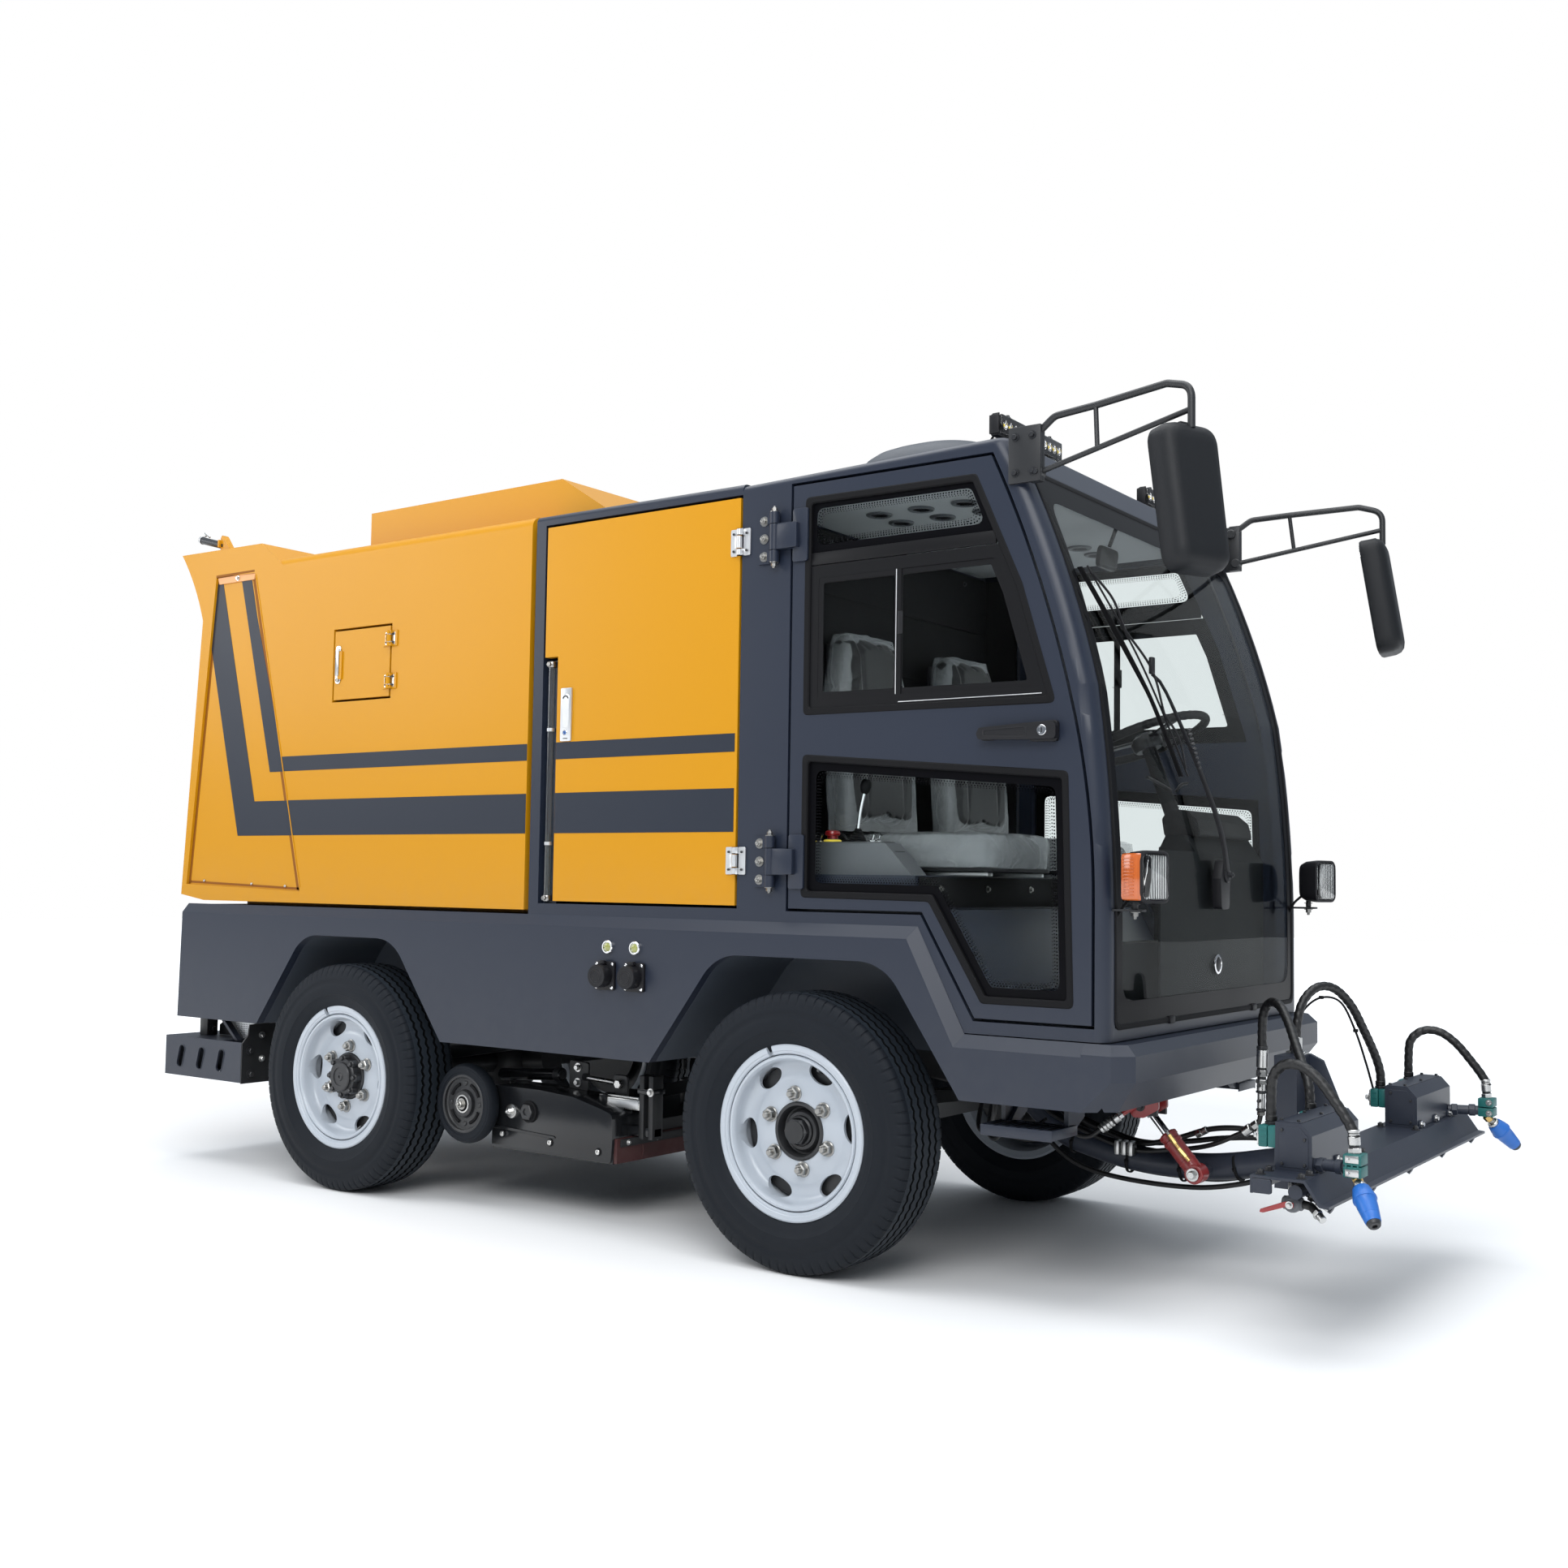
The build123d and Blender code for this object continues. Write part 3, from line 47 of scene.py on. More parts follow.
# stations: millimetres from the front axle line, the middle plane and the ground
wheelLow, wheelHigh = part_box("front_right_tyre")
frontAxleX = (wheelLow.x + wheelHigh.x) / 2
rearLow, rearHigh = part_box("rear_right_tyre")
rearAxleX = ((rearLow.x + rearHigh.x) / 2 - frontAxleX) * 1000


def at(x, y, z):
    return Vector((frontAxleX + x / 1000, y / 1000, z / 1000))


def millimetres(p):                           # the same place, measured back from the stations
    return (p.x - frontAxleX) * 1000, p.y * 1000, p.z * 1000


def polar(radius, angle):
    return radius * math.cos(angle), radius * math.sin(angle)


toFront, toRear, toLeft, toRight = (1, 0, 0), (-1, 0, 0), (0, 1, 0), (0, -1, 0)
toTop, toGround = (0, 0, 1), (0, 0, -1)


def addObject(name, data):                    # a new object in the scene
    obj = bpy.data.objects.new(name, data)
    bpy.context.scene.collection.objects.link(obj)
    return obj


camera = addObject("camera", bpy.data.cameras.new("camera"))
bpy.context.scene.camera = camera
cameraFacts = {"place": (2562, -4313, 1045), "azimuth": 35.48, "rise": 3.41, "roll": 0.81,
               "lens": 37.444, "shiftX": -0.00895, "shiftY": 0.0001}


def placeCamera(facts):
    az, rise, roll = (math.radians(facts[k]) for k in ("azimuth", "rise", "roll"))
    look = Vector((-math.sin(az) * math.cos(rise), math.cos(az) * math.cos(rise), math.sin(rise)))
    right = Vector((math.cos(az), math.sin(az), 0))
    up = right.cross(look)
    side = math.cos(roll) * right + math.sin(roll) * up
    head = -math.sin(roll) * right + math.cos(roll) * up
    turn = Matrix((side, head, -look)).transposed().to_4x4()
    camera.matrix_world = Matrix.Translation(at(*facts["place"])) @ turn
    camera.data.sensor_width = 36
    camera.data.lens = facts["lens"]
    camera.data.shift_x = facts["shiftX"]
    camera.data.shift_y = facts["shiftY"]
    camera.data.clip_end = 100


placeCamera(cameraFacts)


def join(tree, pairs):
    for source, target in pairs:
        tree.links.new(source, target)


def addNode(tree, kind, **settings):
    node = tree.nodes.new(kind)
    for key, value in settings.items():
        if key in node.inputs:
            node.inputs[key].default_value = value
        else:
            setattr(node, key, value)
    return node


def addGroup(tree, group, values):
    return addNode(tree, "ShaderNodeGroup", node_tree=group, **values)


studio = {"backdrop": 1.0, "sky": (0.86, 0.93, 1.0), "horizon": (0.14, 0.16, 0.19),
          "ground": (0.10, 0.10, 0.10), "floorColor": (0.92, 0.92, 0.92)}


def makeWorld(facts):                         # white backdrop, soft light mostly from above
    world = bpy.data.worlds.new("studio")
    bpy.context.scene.world = world
    world.use_nodes = True
    tree = world.node_tree
    seen = tree.nodes["Background"]
    seen.inputs["Color"].default_value = (1, 1, 1, 1)
    seen.inputs["Strength"].default_value = facts["backdrop"]
    light = addNode(tree, "ShaderNodeBackground")
    place = addNode(tree, "ShaderNodeTexCoord")
    split = addNode(tree, "ShaderNodeSeparateXYZ")
    ramp = addNode(tree, "ShaderNodeValToRGB")
    stops = ramp.color_ramp.elements
    stops.new(0.5)
    for stop, position, part in zip(stops, (0, 0.5, 1), ("ground", "horizon", "sky")):
        stop.position, stop.color = position, (*facts[part], 1)
    shift = addNode(tree, "ShaderNodeMath", operation="MULTIPLY_ADD")
    shift.inputs[1].default_value, shift.inputs[2].default_value = 0.5, 0.5
    path = addNode(tree, "ShaderNodeLightPath")
    mix = addNode(tree, "ShaderNodeMixShader")
    either = addNode(tree, "ShaderNodeMath", operation="MAXIMUM")
    join(tree, [
        (place.outputs["Generated"], split.inputs[0]), (split.outputs["Z"], shift.inputs[0]),
        (shift.outputs[0], ramp.inputs[0]), (ramp.outputs[0], light.inputs["Color"]),
        (path.outputs["Is Camera Ray"], either.inputs[0]),
        (path.outputs["Is Transmission Ray"], either.inputs[1]), (either.outputs[0], mix.inputs[0]),
        (light.outputs[0], mix.inputs[1]), (seen.outputs[0], mix.inputs[2]),
        (mix.outputs[0], tree.nodes["World Output"].inputs["Surface"])])


makeWorld(studio)
bpy.context.scene.view_settings.view_transform = "Standard"


def addLight(name, place, target, size, power):
    lamp = bpy.data.lights.new(name, "AREA")
    lamp.shape = "RECTANGLE"
    lamp.size, lamp.size_y = size
    lamp.energy = power
    obj = addObject(name, lamp)
    obj.location = Vector(place)
    obj.rotation_euler = (Vector(target) - Vector(place)).to_track_quat("-Z", "Y").to_euler()


for lightFacts in (("keyLight", (3.5, -7.0, 6.0), (0, 0, 1.0), (6, 4), 420),
                   ("topLight", (0, -0.5, 7.5), (0, 0, 0.5), (9, 6), 420),
                   ("rearLight", (-6, -4.5, 3.5), (-0.5, 0, 1.0), (3, 3), 110)):
    addLight(*lightFacts)
print("camera and lights placed")


def newGroup(name, inputs, outputs):
    group = bpy.data.node_groups.new(name, "ShaderNodeTree")
    for title, kind, value in inputs:
        socket = group.interface.new_socket(name=title, in_out="INPUT", socket_type=kind)
        socket.default_value = value
    for title, kind in outputs:
        group.interface.new_socket(name=title, in_out="OUTPUT", socket_type=kind)
    return group, group.nodes.new("NodeGroupInput"), group.nodes.new("NodeGroupOutput")


def makeFinishGroup():      # colour drift, uneven gloss and a fine surface relief
    group, start, end = newGroup("finishGrain", [
        ("Color", "NodeSocketColor", (0.5, 0.5, 0.5, 1)), ("Drift", "NodeSocketFloat", 0.1),
        ("Drift Scale", "NodeSocketFloat", 3.0), ("Roughness", "NodeSocketFloat", 0.4),
        ("Spread", "NodeSocketFloat", 0.1), ("Grain Scale", "NodeSocketFloat", 400.0),
        ("Grain Height", "NodeSocketFloat", 0.02)],
        [("Color", "NodeSocketColor"), ("Roughness", "NodeSocketFloat"),
         ("Normal", "NodeSocketVector")])
    place = addNode(group, "ShaderNodeTexCoord")
    broad = addNode(group, "ShaderNodeTexNoise", Detail=4.0)
    fine = addNode(group, "ShaderNodeTexNoise", Detail=2.0)
    dark = addNode(group, "ShaderNodeMix", data_type="RGBA", blend_type="MULTIPLY")
    dark.inputs[7].default_value = (0.45, 0.45, 0.45, 1)
    share = addNode(group, "ShaderNodeMath", operation="MULTIPLY")
    spread = addNode(group, "ShaderNodeMath", operation="MULTIPLY_ADD")
    centre = addNode(group, "ShaderNodeMath", operation="SUBTRACT")
    centre.inputs[1].default_value = 0.5
    bump = addNode(group, "ShaderNodeBump", Distance=0.001)
    join(group, [
        (place.outputs["Object"], broad.inputs["Vector"]),
        (place.outputs["Object"], fine.inputs["Vector"]),
        (start.outputs["Drift Scale"], broad.inputs["Scale"]),
        (start.outputs["Grain Scale"], fine.inputs["Scale"]),
        (broad.outputs["Fac"], share.inputs[0]), (start.outputs["Drift"], share.inputs[1]),
        (share.outputs[0], dark.inputs[0]), (start.outputs["Color"], dark.inputs[6]),
        (dark.outputs[2], end.inputs["Color"]),
        (broad.outputs["Fac"], centre.inputs[0]), (centre.outputs[0], spread.inputs[0]),
        (start.outputs["Spread"], spread.inputs[1]), (start.outputs["Roughness"], spread.inputs[2]),
        (spread.outputs[0], end.inputs["Roughness"]),
        (fine.outputs["Fac"], bump.inputs["Height"]),
        (start.outputs["Grain Height"], bump.inputs["Strength"]),
        (bump.outputs["Normal"], end.inputs["Normal"])])
    return group


def makeDustGroup():        # road dust that settles low on the vehicle
    group, start, end = newGroup("roadDust", [
        ("Color", "NodeSocketColor", (0.5, 0.5, 0.5, 1)), ("Roughness", "NodeSocketFloat", 0.4),
        ("Dust Color", "NodeSocketColor", (0.24, 0.23, 0.21, 1)),
        ("Full Below", "NodeSocketFloat", 0.1), ("None Above", "NodeSocketFloat", 0.9),
        ("Amount", "NodeSocketFloat", 0.3)],
        [("Color", "NodeSocketColor"), ("Roughness", "NodeSocketFloat")])
    place = addNode(group, "ShaderNodeTexCoord")
    split = addNode(group, "ShaderNodeSeparateXYZ")
    ramp = addNode(group, "ShaderNodeMapRange", **{"To Min": 1, "To Max": 0})
    specks = addNode(group, "ShaderNodeTexNoise", Scale=26.0, Detail=6.0)
    first = addNode(group, "ShaderNodeMath", operation="MULTIPLY")
    second = addNode(group, "ShaderNodeMath", operation="MULTIPLY")
    blend = addNode(group, "ShaderNodeMix", data_type="RGBA")
    dull = addNode(group, "ShaderNodeMix", data_type="FLOAT")
    dull.inputs[3].default_value = 0.85
    join(group, [
        (place.outputs["Object"], split.inputs[0]), (split.outputs["Z"], ramp.inputs["Value"]),
        (start.outputs["Full Below"], ramp.inputs["From Min"]),
        (start.outputs["None Above"], ramp.inputs["From Max"]),
        (place.outputs["Object"], specks.inputs["Vector"]),
        (ramp.outputs[0], first.inputs[0]), (specks.outputs["Fac"], first.inputs[1]),
        (first.outputs[0], second.inputs[0]), (start.outputs["Amount"], second.inputs[1]),
        (second.outputs[0], blend.inputs[0]), (start.outputs["Color"], blend.inputs[6]),
        (start.outputs["Dust Color"], blend.inputs[7]), (blend.outputs[2], end.inputs["Color"]),
        (second.outputs[0], dull.inputs[0]), (start.outputs["Roughness"], dull.inputs[2]),
        (dull.outputs[0], end.inputs["Roughness"])])
    return group


finishGroup = makeFinishGroup()
dustGroup = makeDustGroup()


def newMaterial(name):
    mat = bpy.data.materials.new(name)
    mat.use_nodes = True
    return mat, mat.node_tree, mat.node_tree.nodes["Principled BSDF"]


shaderInputs = {
    "coat": "Coat Weight", "coatRough": "Coat Roughness", "ior": "IOR", "sheen": "Sheen Weight",
    "specular": "Specular IOR Level", "alpha": "Alpha", "glow": "Emission Strength",
    "glowColor": "Emission Color"}


def makeFinish(name, color, rough, metallic=0.0, drift=0.12, driftScale=3.0, spread=0.1,
               grain=400.0, height=0.02, dust=None, **shader):
    mat, tree, skin = newMaterial(name)
    skin.inputs["Metallic"].default_value = metallic
    for key, value in shader.items():
        skin.inputs[shaderInputs[key]].default_value = value
    grainNode = addGroup(tree, finishGroup, {
        "Color": (*color, 1), "Drift": drift, "Drift Scale": driftScale, "Roughness": rough,
        "Spread": spread, "Grain Scale": grain, "Grain Height": height})
    out = grainNode
    if dust:
        low, high, amount = dust
        dustNode = addGroup(tree, dustGroup,
                            {"Full Below": low, "None Above": high, "Amount": amount})
        join(tree, [(grainNode.outputs["Color"], dustNode.inputs["Color"]),
                    (grainNode.outputs["Roughness"], dustNode.inputs["Roughness"])])
        out = dustNode
    join(tree, [(out.outputs["Color"], skin.inputs["Base Color"]),
                (out.outputs["Roughness"], skin.inputs["Roughness"]),
                (grainNode.outputs["Normal"], skin.inputs["Normal"])])
    return mat


def makeGlass(name, tint, rough=0.0, smear=0.03, ior=1.45, shade=1.0):   # shade dims light let in
    mat, tree, skin = newMaterial(name)
    skin.inputs["Transmission Weight"].default_value = 1.0
    skin.inputs["IOR"].default_value = ior
    grainNode = addGroup(tree, finishGroup, {
        "Color": (*tint, 1), "Drift": 0.03, "Drift Scale": 2.0, "Roughness": rough,
        "Spread": smear})
    clear = addNode(tree, "ShaderNodeBsdfTransparent")
    clear.inputs["Color"].default_value = (*(part * shade for part in tint), 1)
    path = addNode(tree, "ShaderNodeLightPath")
    mix = addNode(tree, "ShaderNodeMixShader")
    join(tree, [(grainNode.outputs["Color"], skin.inputs["Base Color"]),
                (grainNode.outputs["Roughness"], skin.inputs["Roughness"]),
                (path.outputs["Is Shadow Ray"], mix.inputs[0]), (skin.outputs[0], mix.inputs[1]),
                (clear.outputs[0], mix.inputs[2]),
                (mix.outputs[0], tree.nodes["Material Output"].inputs["Surface"])])
    return mat


finishFacts = {
    "yellowPaint": dict(color=(0.545, 0.245, 0.004), rough=0.36, drift=0.06, driftScale=1.4,
        grain=900, height=0.03, dust=(0.9, 1.15, 0.1), specular=0.2, coat=0.08, coatRough=0.25),
    "slatePaint": dict(color=(0.0130, 0.0185, 0.034), rough=0.40, drift=0.10, driftScale=2.0,
        grain=1100, height=0.05, dust=(0.3, 0.9, 0.08), specular=0.4, coat=0.10, coatRough=0.2),
    "blackSteel": dict(color=(0.012, 0.013, 0.015), rough=0.45, drift=0.25, grain=700, height=0.06,
        dust=(0.0, 0.7, 0.08)),
    "rimPaint": dict(color=(0.44, 0.48, 0.53), rough=0.3, drift=0.08, driftScale=9, grain=1200,
        height=0.03, coat=0.3, coatRough=0.15),
    "tyreRubber": dict(color=(0.0060, 0.0085, 0.0130), rough=0.62, drift=0.25, driftScale=7,
        grain=1500, height=0.10, dust=(0.0, 0.5, 0.02), specular=0.2),
    "treadRubber": dict(color=(0.016, 0.022, 0.030), rough=0.6, drift=0.25, driftScale=7,
        grain=1500, height=0.10, specular=0.3),
    "grooveShade": dict(color=(0.002, 0.0025, 0.003), rough=0.8, specular=0.1),
    "blackPlastic": dict(color=(0.008, 0.008, 0.010), rough=0.45, grain=1800, height=0.10,
        specular=0.3),
    "softBlack": dict(color=(0.005, 0.005, 0.006), rough=0.65, grain=1200, height=0.1,
        specular=0.2),
    "greyPlastic": dict(color=(0.10, 0.105, 0.115), rough=0.5, grain=1500, height=0.12),
    "steel": dict(color=(0.58, 0.58, 0.57), rough=0.28, metallic=1.0, drift=0.1, driftScale=20,
        grain=300, height=0.05),
    "nickel": dict(color=(0.34, 0.335, 0.32), rough=0.3, metallic=1.0, drift=0.2, driftScale=40,
        grain=500, height=0.05),
    "hubBlack": dict(color=(0.013, 0.014, 0.017), rough=0.38, drift=0.2, driftScale=12, grain=600,
        height=0.08, dust=(0.0, 0.6, 0.2)),
    "chrome": dict(color=(0.75, 0.75, 0.76), rough=0.08, metallic=1.0, drift=0.02, grain=900,
        height=0.01),
    "brass": dict(color=(0.62, 0.42, 0.16), rough=0.3, metallic=1.0, drift=0.15, driftScale=30,
        grain=600, height=0.05),
    "redPaint": dict(color=(0.28, 0.010, 0.012), rough=0.3, drift=0.1, grain=900, height=0.03,
        coat=0.3, dust=(0.1, 0.6, 0.2)),
    "tealPlastic": dict(color=(0.010, 0.12, 0.115), rough=0.45, grain=1500, height=0.08),
    "bluePlastic": dict(color=(0.02, 0.14, 0.50), rough=0.35, grain=1500, height=0.05),
    "hoseRubber": dict(color=(0.0063, 0.0063, 0.0067), rough=0.42, grain=1500, height=0.1),
    "maroonRubber": dict(color=(0.0585, 0.0090, 0.0099), rough=0.6, drift=0.25, grain=900,
        height=0.1, dust=(0.0, 0.4, 0.3)),
    "seatFabric": dict(color=(0.018, 0.018, 0.020), rough=0.6, grain=900, height=0.25, sheen=0.2),
    "amberLens": dict(color=(0.50, 0.11, 0.02), rough=0.12, drift=0.05, grain=300, height=0.05,
        coat=0.6),
    "whiteLens": dict(color=(0.75, 0.77, 0.78), rough=0.1, drift=0.05, grain=300, height=0.05,
        coat=0.6),
    "mirrorGlass": dict(color=(0.82, 0.83, 0.84), rough=0.02, metallic=1.0, drift=0.01, grain=30,
        height=0.001),
    "stripeVinyl": dict(color=(0.015, 0.020, 0.032), rough=0.42, drift=0.05, grain=600, height=0.02,
        specular=0.3),
    "linerPlastic": dict(color=(0.048, 0.060, 0.080), rough=0.5, drift=0.2, grain=900, height=0.1,
        dust=(0.2, 0.9, 0.15)),
    "satinSteel": dict(color=(0.70, 0.71, 0.72), rough=0.36, metallic=0.85, drift=0.08,
        driftScale=25, grain=500, height=0.04),
    "tubePlastic": dict(tint=(0.82, 0.84, 0.84), rough=0.12, smear=0.1),
    "tubeWater": dict(tint=(0.60, 0.66, 0.66), rough=0.05, smear=0.05),
    "signalLens": dict(color=(0.40, 0.42, 0.12), rough=0.15, drift=0.9, driftScale=60, grain=120,
        height=0.3, coat=0.8),
    "sealRubber": dict(color=(0.005, 0.005, 0.006), rough=0.6, grain=900, height=0.05,
        specular=0.15),
    "fritBlack": dict(color=(0.003, 0.003, 0.004), rough=0.3, drift=0.05, grain=900, height=0.01,
        specular=0.06),
    "dashPlastic": dict(color=(0.005, 0.006, 0.007), rough=0.6, drift=0.1, grain=900, height=0.004,
        specular=0.05),
    "windowFrame": dict(color=(0.004, 0.004, 0.005), rough=0.45, grain=1500, height=0.05,
        specular=0.2),
    "mirrorShell": dict(color=(0.005, 0.006, 0.008), rough=0.5, grain=2500, height=0.25,
        specular=0.3),
    "roofPlastic": dict(color=(0.035, 0.043, 0.056), rough=0.5, drift=0.15, grain=2000,
        height=0.12),
    "ledYellow": dict(color=(0.85, 0.66, 0.06), rough=0.3, grain=500, height=0.03, glow=0.25,
        glowColor=(0.9, 0.7, 0.1, 1)),
    "lampGlass": dict(tint=(0.93, 0.94, 0.94), rough=0.0, smear=0.02),
    "linerCloth": dict(color=(0.42, 0.43, 0.44), rough=0.8, drift=0.1, grain=1200, height=0.3),
    "glossBlack": dict(color=(0.008, 0.009, 0.011), rough=0.18, drift=0.2, grain=700, height=0.04,
        dust=(0.0, 0.5, 0.06), specular=0.5),
    "seamShade": dict(color=(0.25, 0.085, 0.006), rough=0.6, drift=0.15, grain=700, height=0.03,
        specular=0.2),
    # painted highlight: the ledge's top is coloured lighter, as where light falls on it
    "ledgeShade": dict(color=(0.70, 0.34, 0.13), rough=0.45, drift=0.05, grain=900, height=0.03),
    "redLens": dict(color=(0.55, 0.01, 0.012), rough=0.12, drift=0.05, grain=300, height=0.05,
        coat=0.6),
    # dark trim that also stands for the shade inside the cab: partly painted shade
    "trimDark": dict(color=(0.010, 0.010, 0.011), rough=0.7, grain=1500, height=0.2, specular=0.2),
    # pale film colour, partly painted sheen standing for the highlights on the creases
    "wrapFilm": dict(color=(0.70, 0.73, 0.77), rough=0.16, drift=0.3, driftScale=14, spread=0.2,
        grain=60, height=0.6, alpha=0.34, specular=0.9),
    "clearGlass": dict(tint=(0.86, 0.90, 0.90), ior=1.06, shade=0.4),
}
finishes = {name: (makeGlass if "tint" in facts else makeFinish)(name, **facts)
            for name, facts in finishFacts.items()}

nodeFinish = {
    "yellowPaint": "tank_body tailgate filler_hatch roof_hopper right_bay_door left_bay_door",
    "slatePaint": "right_skirt left_skirt front_bumper bay_frame cab_shell right_cab_door "
        "left_cab_door spray_boom rear_bumper steps",
    "blackPlastic": "roof_air_unit roof_lights headlamps mirrors wiper",
    "blackSteel": "chassis_frame front_axle rear_axle right_knuckle left_knuckle suction_arms "
        "suction_deck",
    "clearGlass": "windscreen right_cab_glass left_cab_glass",
    "dashPlastic": "dashboard",
    "softBlack": "steering_wheel",
    "greyPlastic": "side_console battery_pack",
    "seatFabric": "seats",
    "tealPlastic": "hose_clamps",
    "hoseRubber": "spray_hoses",
    "bluePlastic": "rotary_nozzles",
    "redPaint": "lift_cylinder",
    "chrome": "lift_rod",
    "maroonRubber": "rubber_flap",
    "tyreRubber": "right_support_wheel left_support_wheel front_left_tyre front_right_tyre "
        "rear_left_tyre rear_right_tyre",
    "rimPaint": "front_left_rim front_right_rim rear_left_rim rear_right_rim",
}


def dress(name, finish):
    mesh = nodes[name].data
    mesh.materials.clear()
    mesh.materials.append(finishes[finish])


for finish, names in nodeFinish.items():
    for name in names.split():
        dress(name, finish)
print("finishes on", sum(len(names.split()) for names in nodeFinish.values()), "pieces")


def axes(origin, forward, up=None):           # millimetre frame at a place, x along forward
    x = Vector(forward).normalized()
    up = up or (toTop if abs(x.z) < 0.9 else toFront)
    y = Vector(up).cross(x).normalized()
    turn = Matrix((x, y, x.cross(y))).transposed().to_4x4()
    return Matrix.Translation(at(*origin)) @ turn @ Matrix.Scale(0.001, 4)


level = axes((0, 0, 0), toFront)
planes = {"xz": lambda a, b, c: (a, c, b), "xy": lambda a, b, c: (a, b, c),
          "yz": lambda a, b, c: (c, a, b)}


def rect(a, b, c, d, radius=0, steps=5):      # the rectangle from (a, b) to (c, d)
    corners = [(a, b), (c, b), (c, d), (a, d)]
    return rounded(corners, radius, steps) if radius else corners


def puck(radius, shoulder, topRadius, top):   # profile of a round button with a sloped edge
    return [(0, 0), (radius, 0), (radius, shoulder), (topRadius, top), (0, top)]


def circle(cx, cz, radius, count=24, squash=1.0):
    spokes = [polar(radius, 2 * math.pi * k / count) for k in range(count)]
    return [(cx + u, cz + squash * v) for u, v in spokes]


def turned(outline, angle):                   # the outline turned about its own origin
    c, s = polar(1, angle)
    return [(u * c - v * s, u * s + v * c) for u, v in outline]


def inset(outline, distance):                 # the same outline, drawn in by a distance
    points = [Vector(p) for p in outline]
    area = sum(a.x * b.y - b.x * a.y for a, b in zip(points, points[1:] + points[:1]))
    sign = 1 if area > 0 else -1
    drawn = []
    for k, here in enumerate(points):
        before = (here - points[k - 1]).normalized()
        after = (points[(k + 1) % len(points)] - here).normalized()
        inward = sign * (Vector((-before.y, before.x)) + Vector((-after.y, after.x)))
        reach = distance / max(0.25, 1 + before.dot(after))
        drawn.append(here + inward * reach)
    return [tuple(p) for p in drawn]


def cornerArc(before, here, after, radius, steps):        # points that round off one corner
    inward, outward = before - here, after - here
    reach = min(radius / math.tan(inward.angle(outward) / 2), 0.48 * inward.length,
                0.48 * outward.length)
    start, stop = here + inward.normalized() * reach, here + outward.normalized() * reach
    shares = [step / steps for step in range(steps + 1)]
    return [start * (1 - t) ** 2 + here * 2 * t * (1 - t) + stop * t ** 2 for t in shares]


def rounded(outline, radius, steps=5, closed=True):       # corners turned into arcs
    points = [Vector(p) for p in outline]
    count = len(points)
    outlined = []
    for k, here in enumerate(points):
        if not closed and k in (0, count - 1):
            outlined.append(tuple(here))
            continue
        arc = cornerArc(points[k - 1], here, points[(k + 1) % count], radius, steps)
        outlined += [tuple(p) for p in arc]
    return outlined


def clip(outline, a, b):                      # keeps what lies to the left of the line a to b
    side = lambda p: (b[0] - a[0]) * (p[1] - a[1]) - (b[1] - a[1]) * (p[0] - a[0])
    kept = []
    for here, after in zip(outline, outline[1:] + outline[:1]):
        s, t = side(here), side(after)
        if s >= 0:
            kept.append(here)
        if (s > 0) != (t > 0) and abs(s - t) > 1e-9:
            share = s / (s - t)
            kept.append(tuple(u + share * (v - u) for u, v in zip(here, after)))
    return kept


def smoothPath(points, step=8.0, tight=0.5):  # a smooth line through the points
    points = [Vector(p) for p in points]
    ends = [2 * points[0] - points[1]] + points + [2 * points[-1] - points[-2]]
    path = []
    for a, b, c, d in zip(ends, ends[1:], ends[2:], ends[3:]):
        count = max(2, round((c - b).length / step))
        for k in range(count):
            t = k / count
            path.append(b + tight * t * (c - a)
                        + t * t * (3 * (c - b) - tight * (2 * (c - a) + d - b))
                        + t * t * t * (2 * (b - c) + tight * (c - a + d - b)))
    return path + [points[-1]]


def arcPath(points, radius, steps=8):         # straight runs joined by arcs
    points = [Vector(p) for p in points]
    path = [points[0]]
    for before, here, after in zip(points, points[1:], points[2:]):
        path += cornerArc(before, here, after, radius, steps)
    return path + [points[-1]]


def skinForm(rings, where=level, loop=True, wrap=False, caps=False):
    form = bmesh.new()
    rows = [[form.verts.new(where @ Vector(p)) for p in ring] for ring in rings]
    for first, second in list(zip(rows, rows[1:])) + ([(rows[-1], rows[0])] if wrap else []):
        count = len(first)
        for k in range(count if loop else count - 1):
            form.faces.new((first[k], first[(k + 1) % count], second[(k + 1) % count], second[k]))
    if caps:
        form.faces.new(rows[0][::-1])
        form.faces.new(rows[-1])
    return form


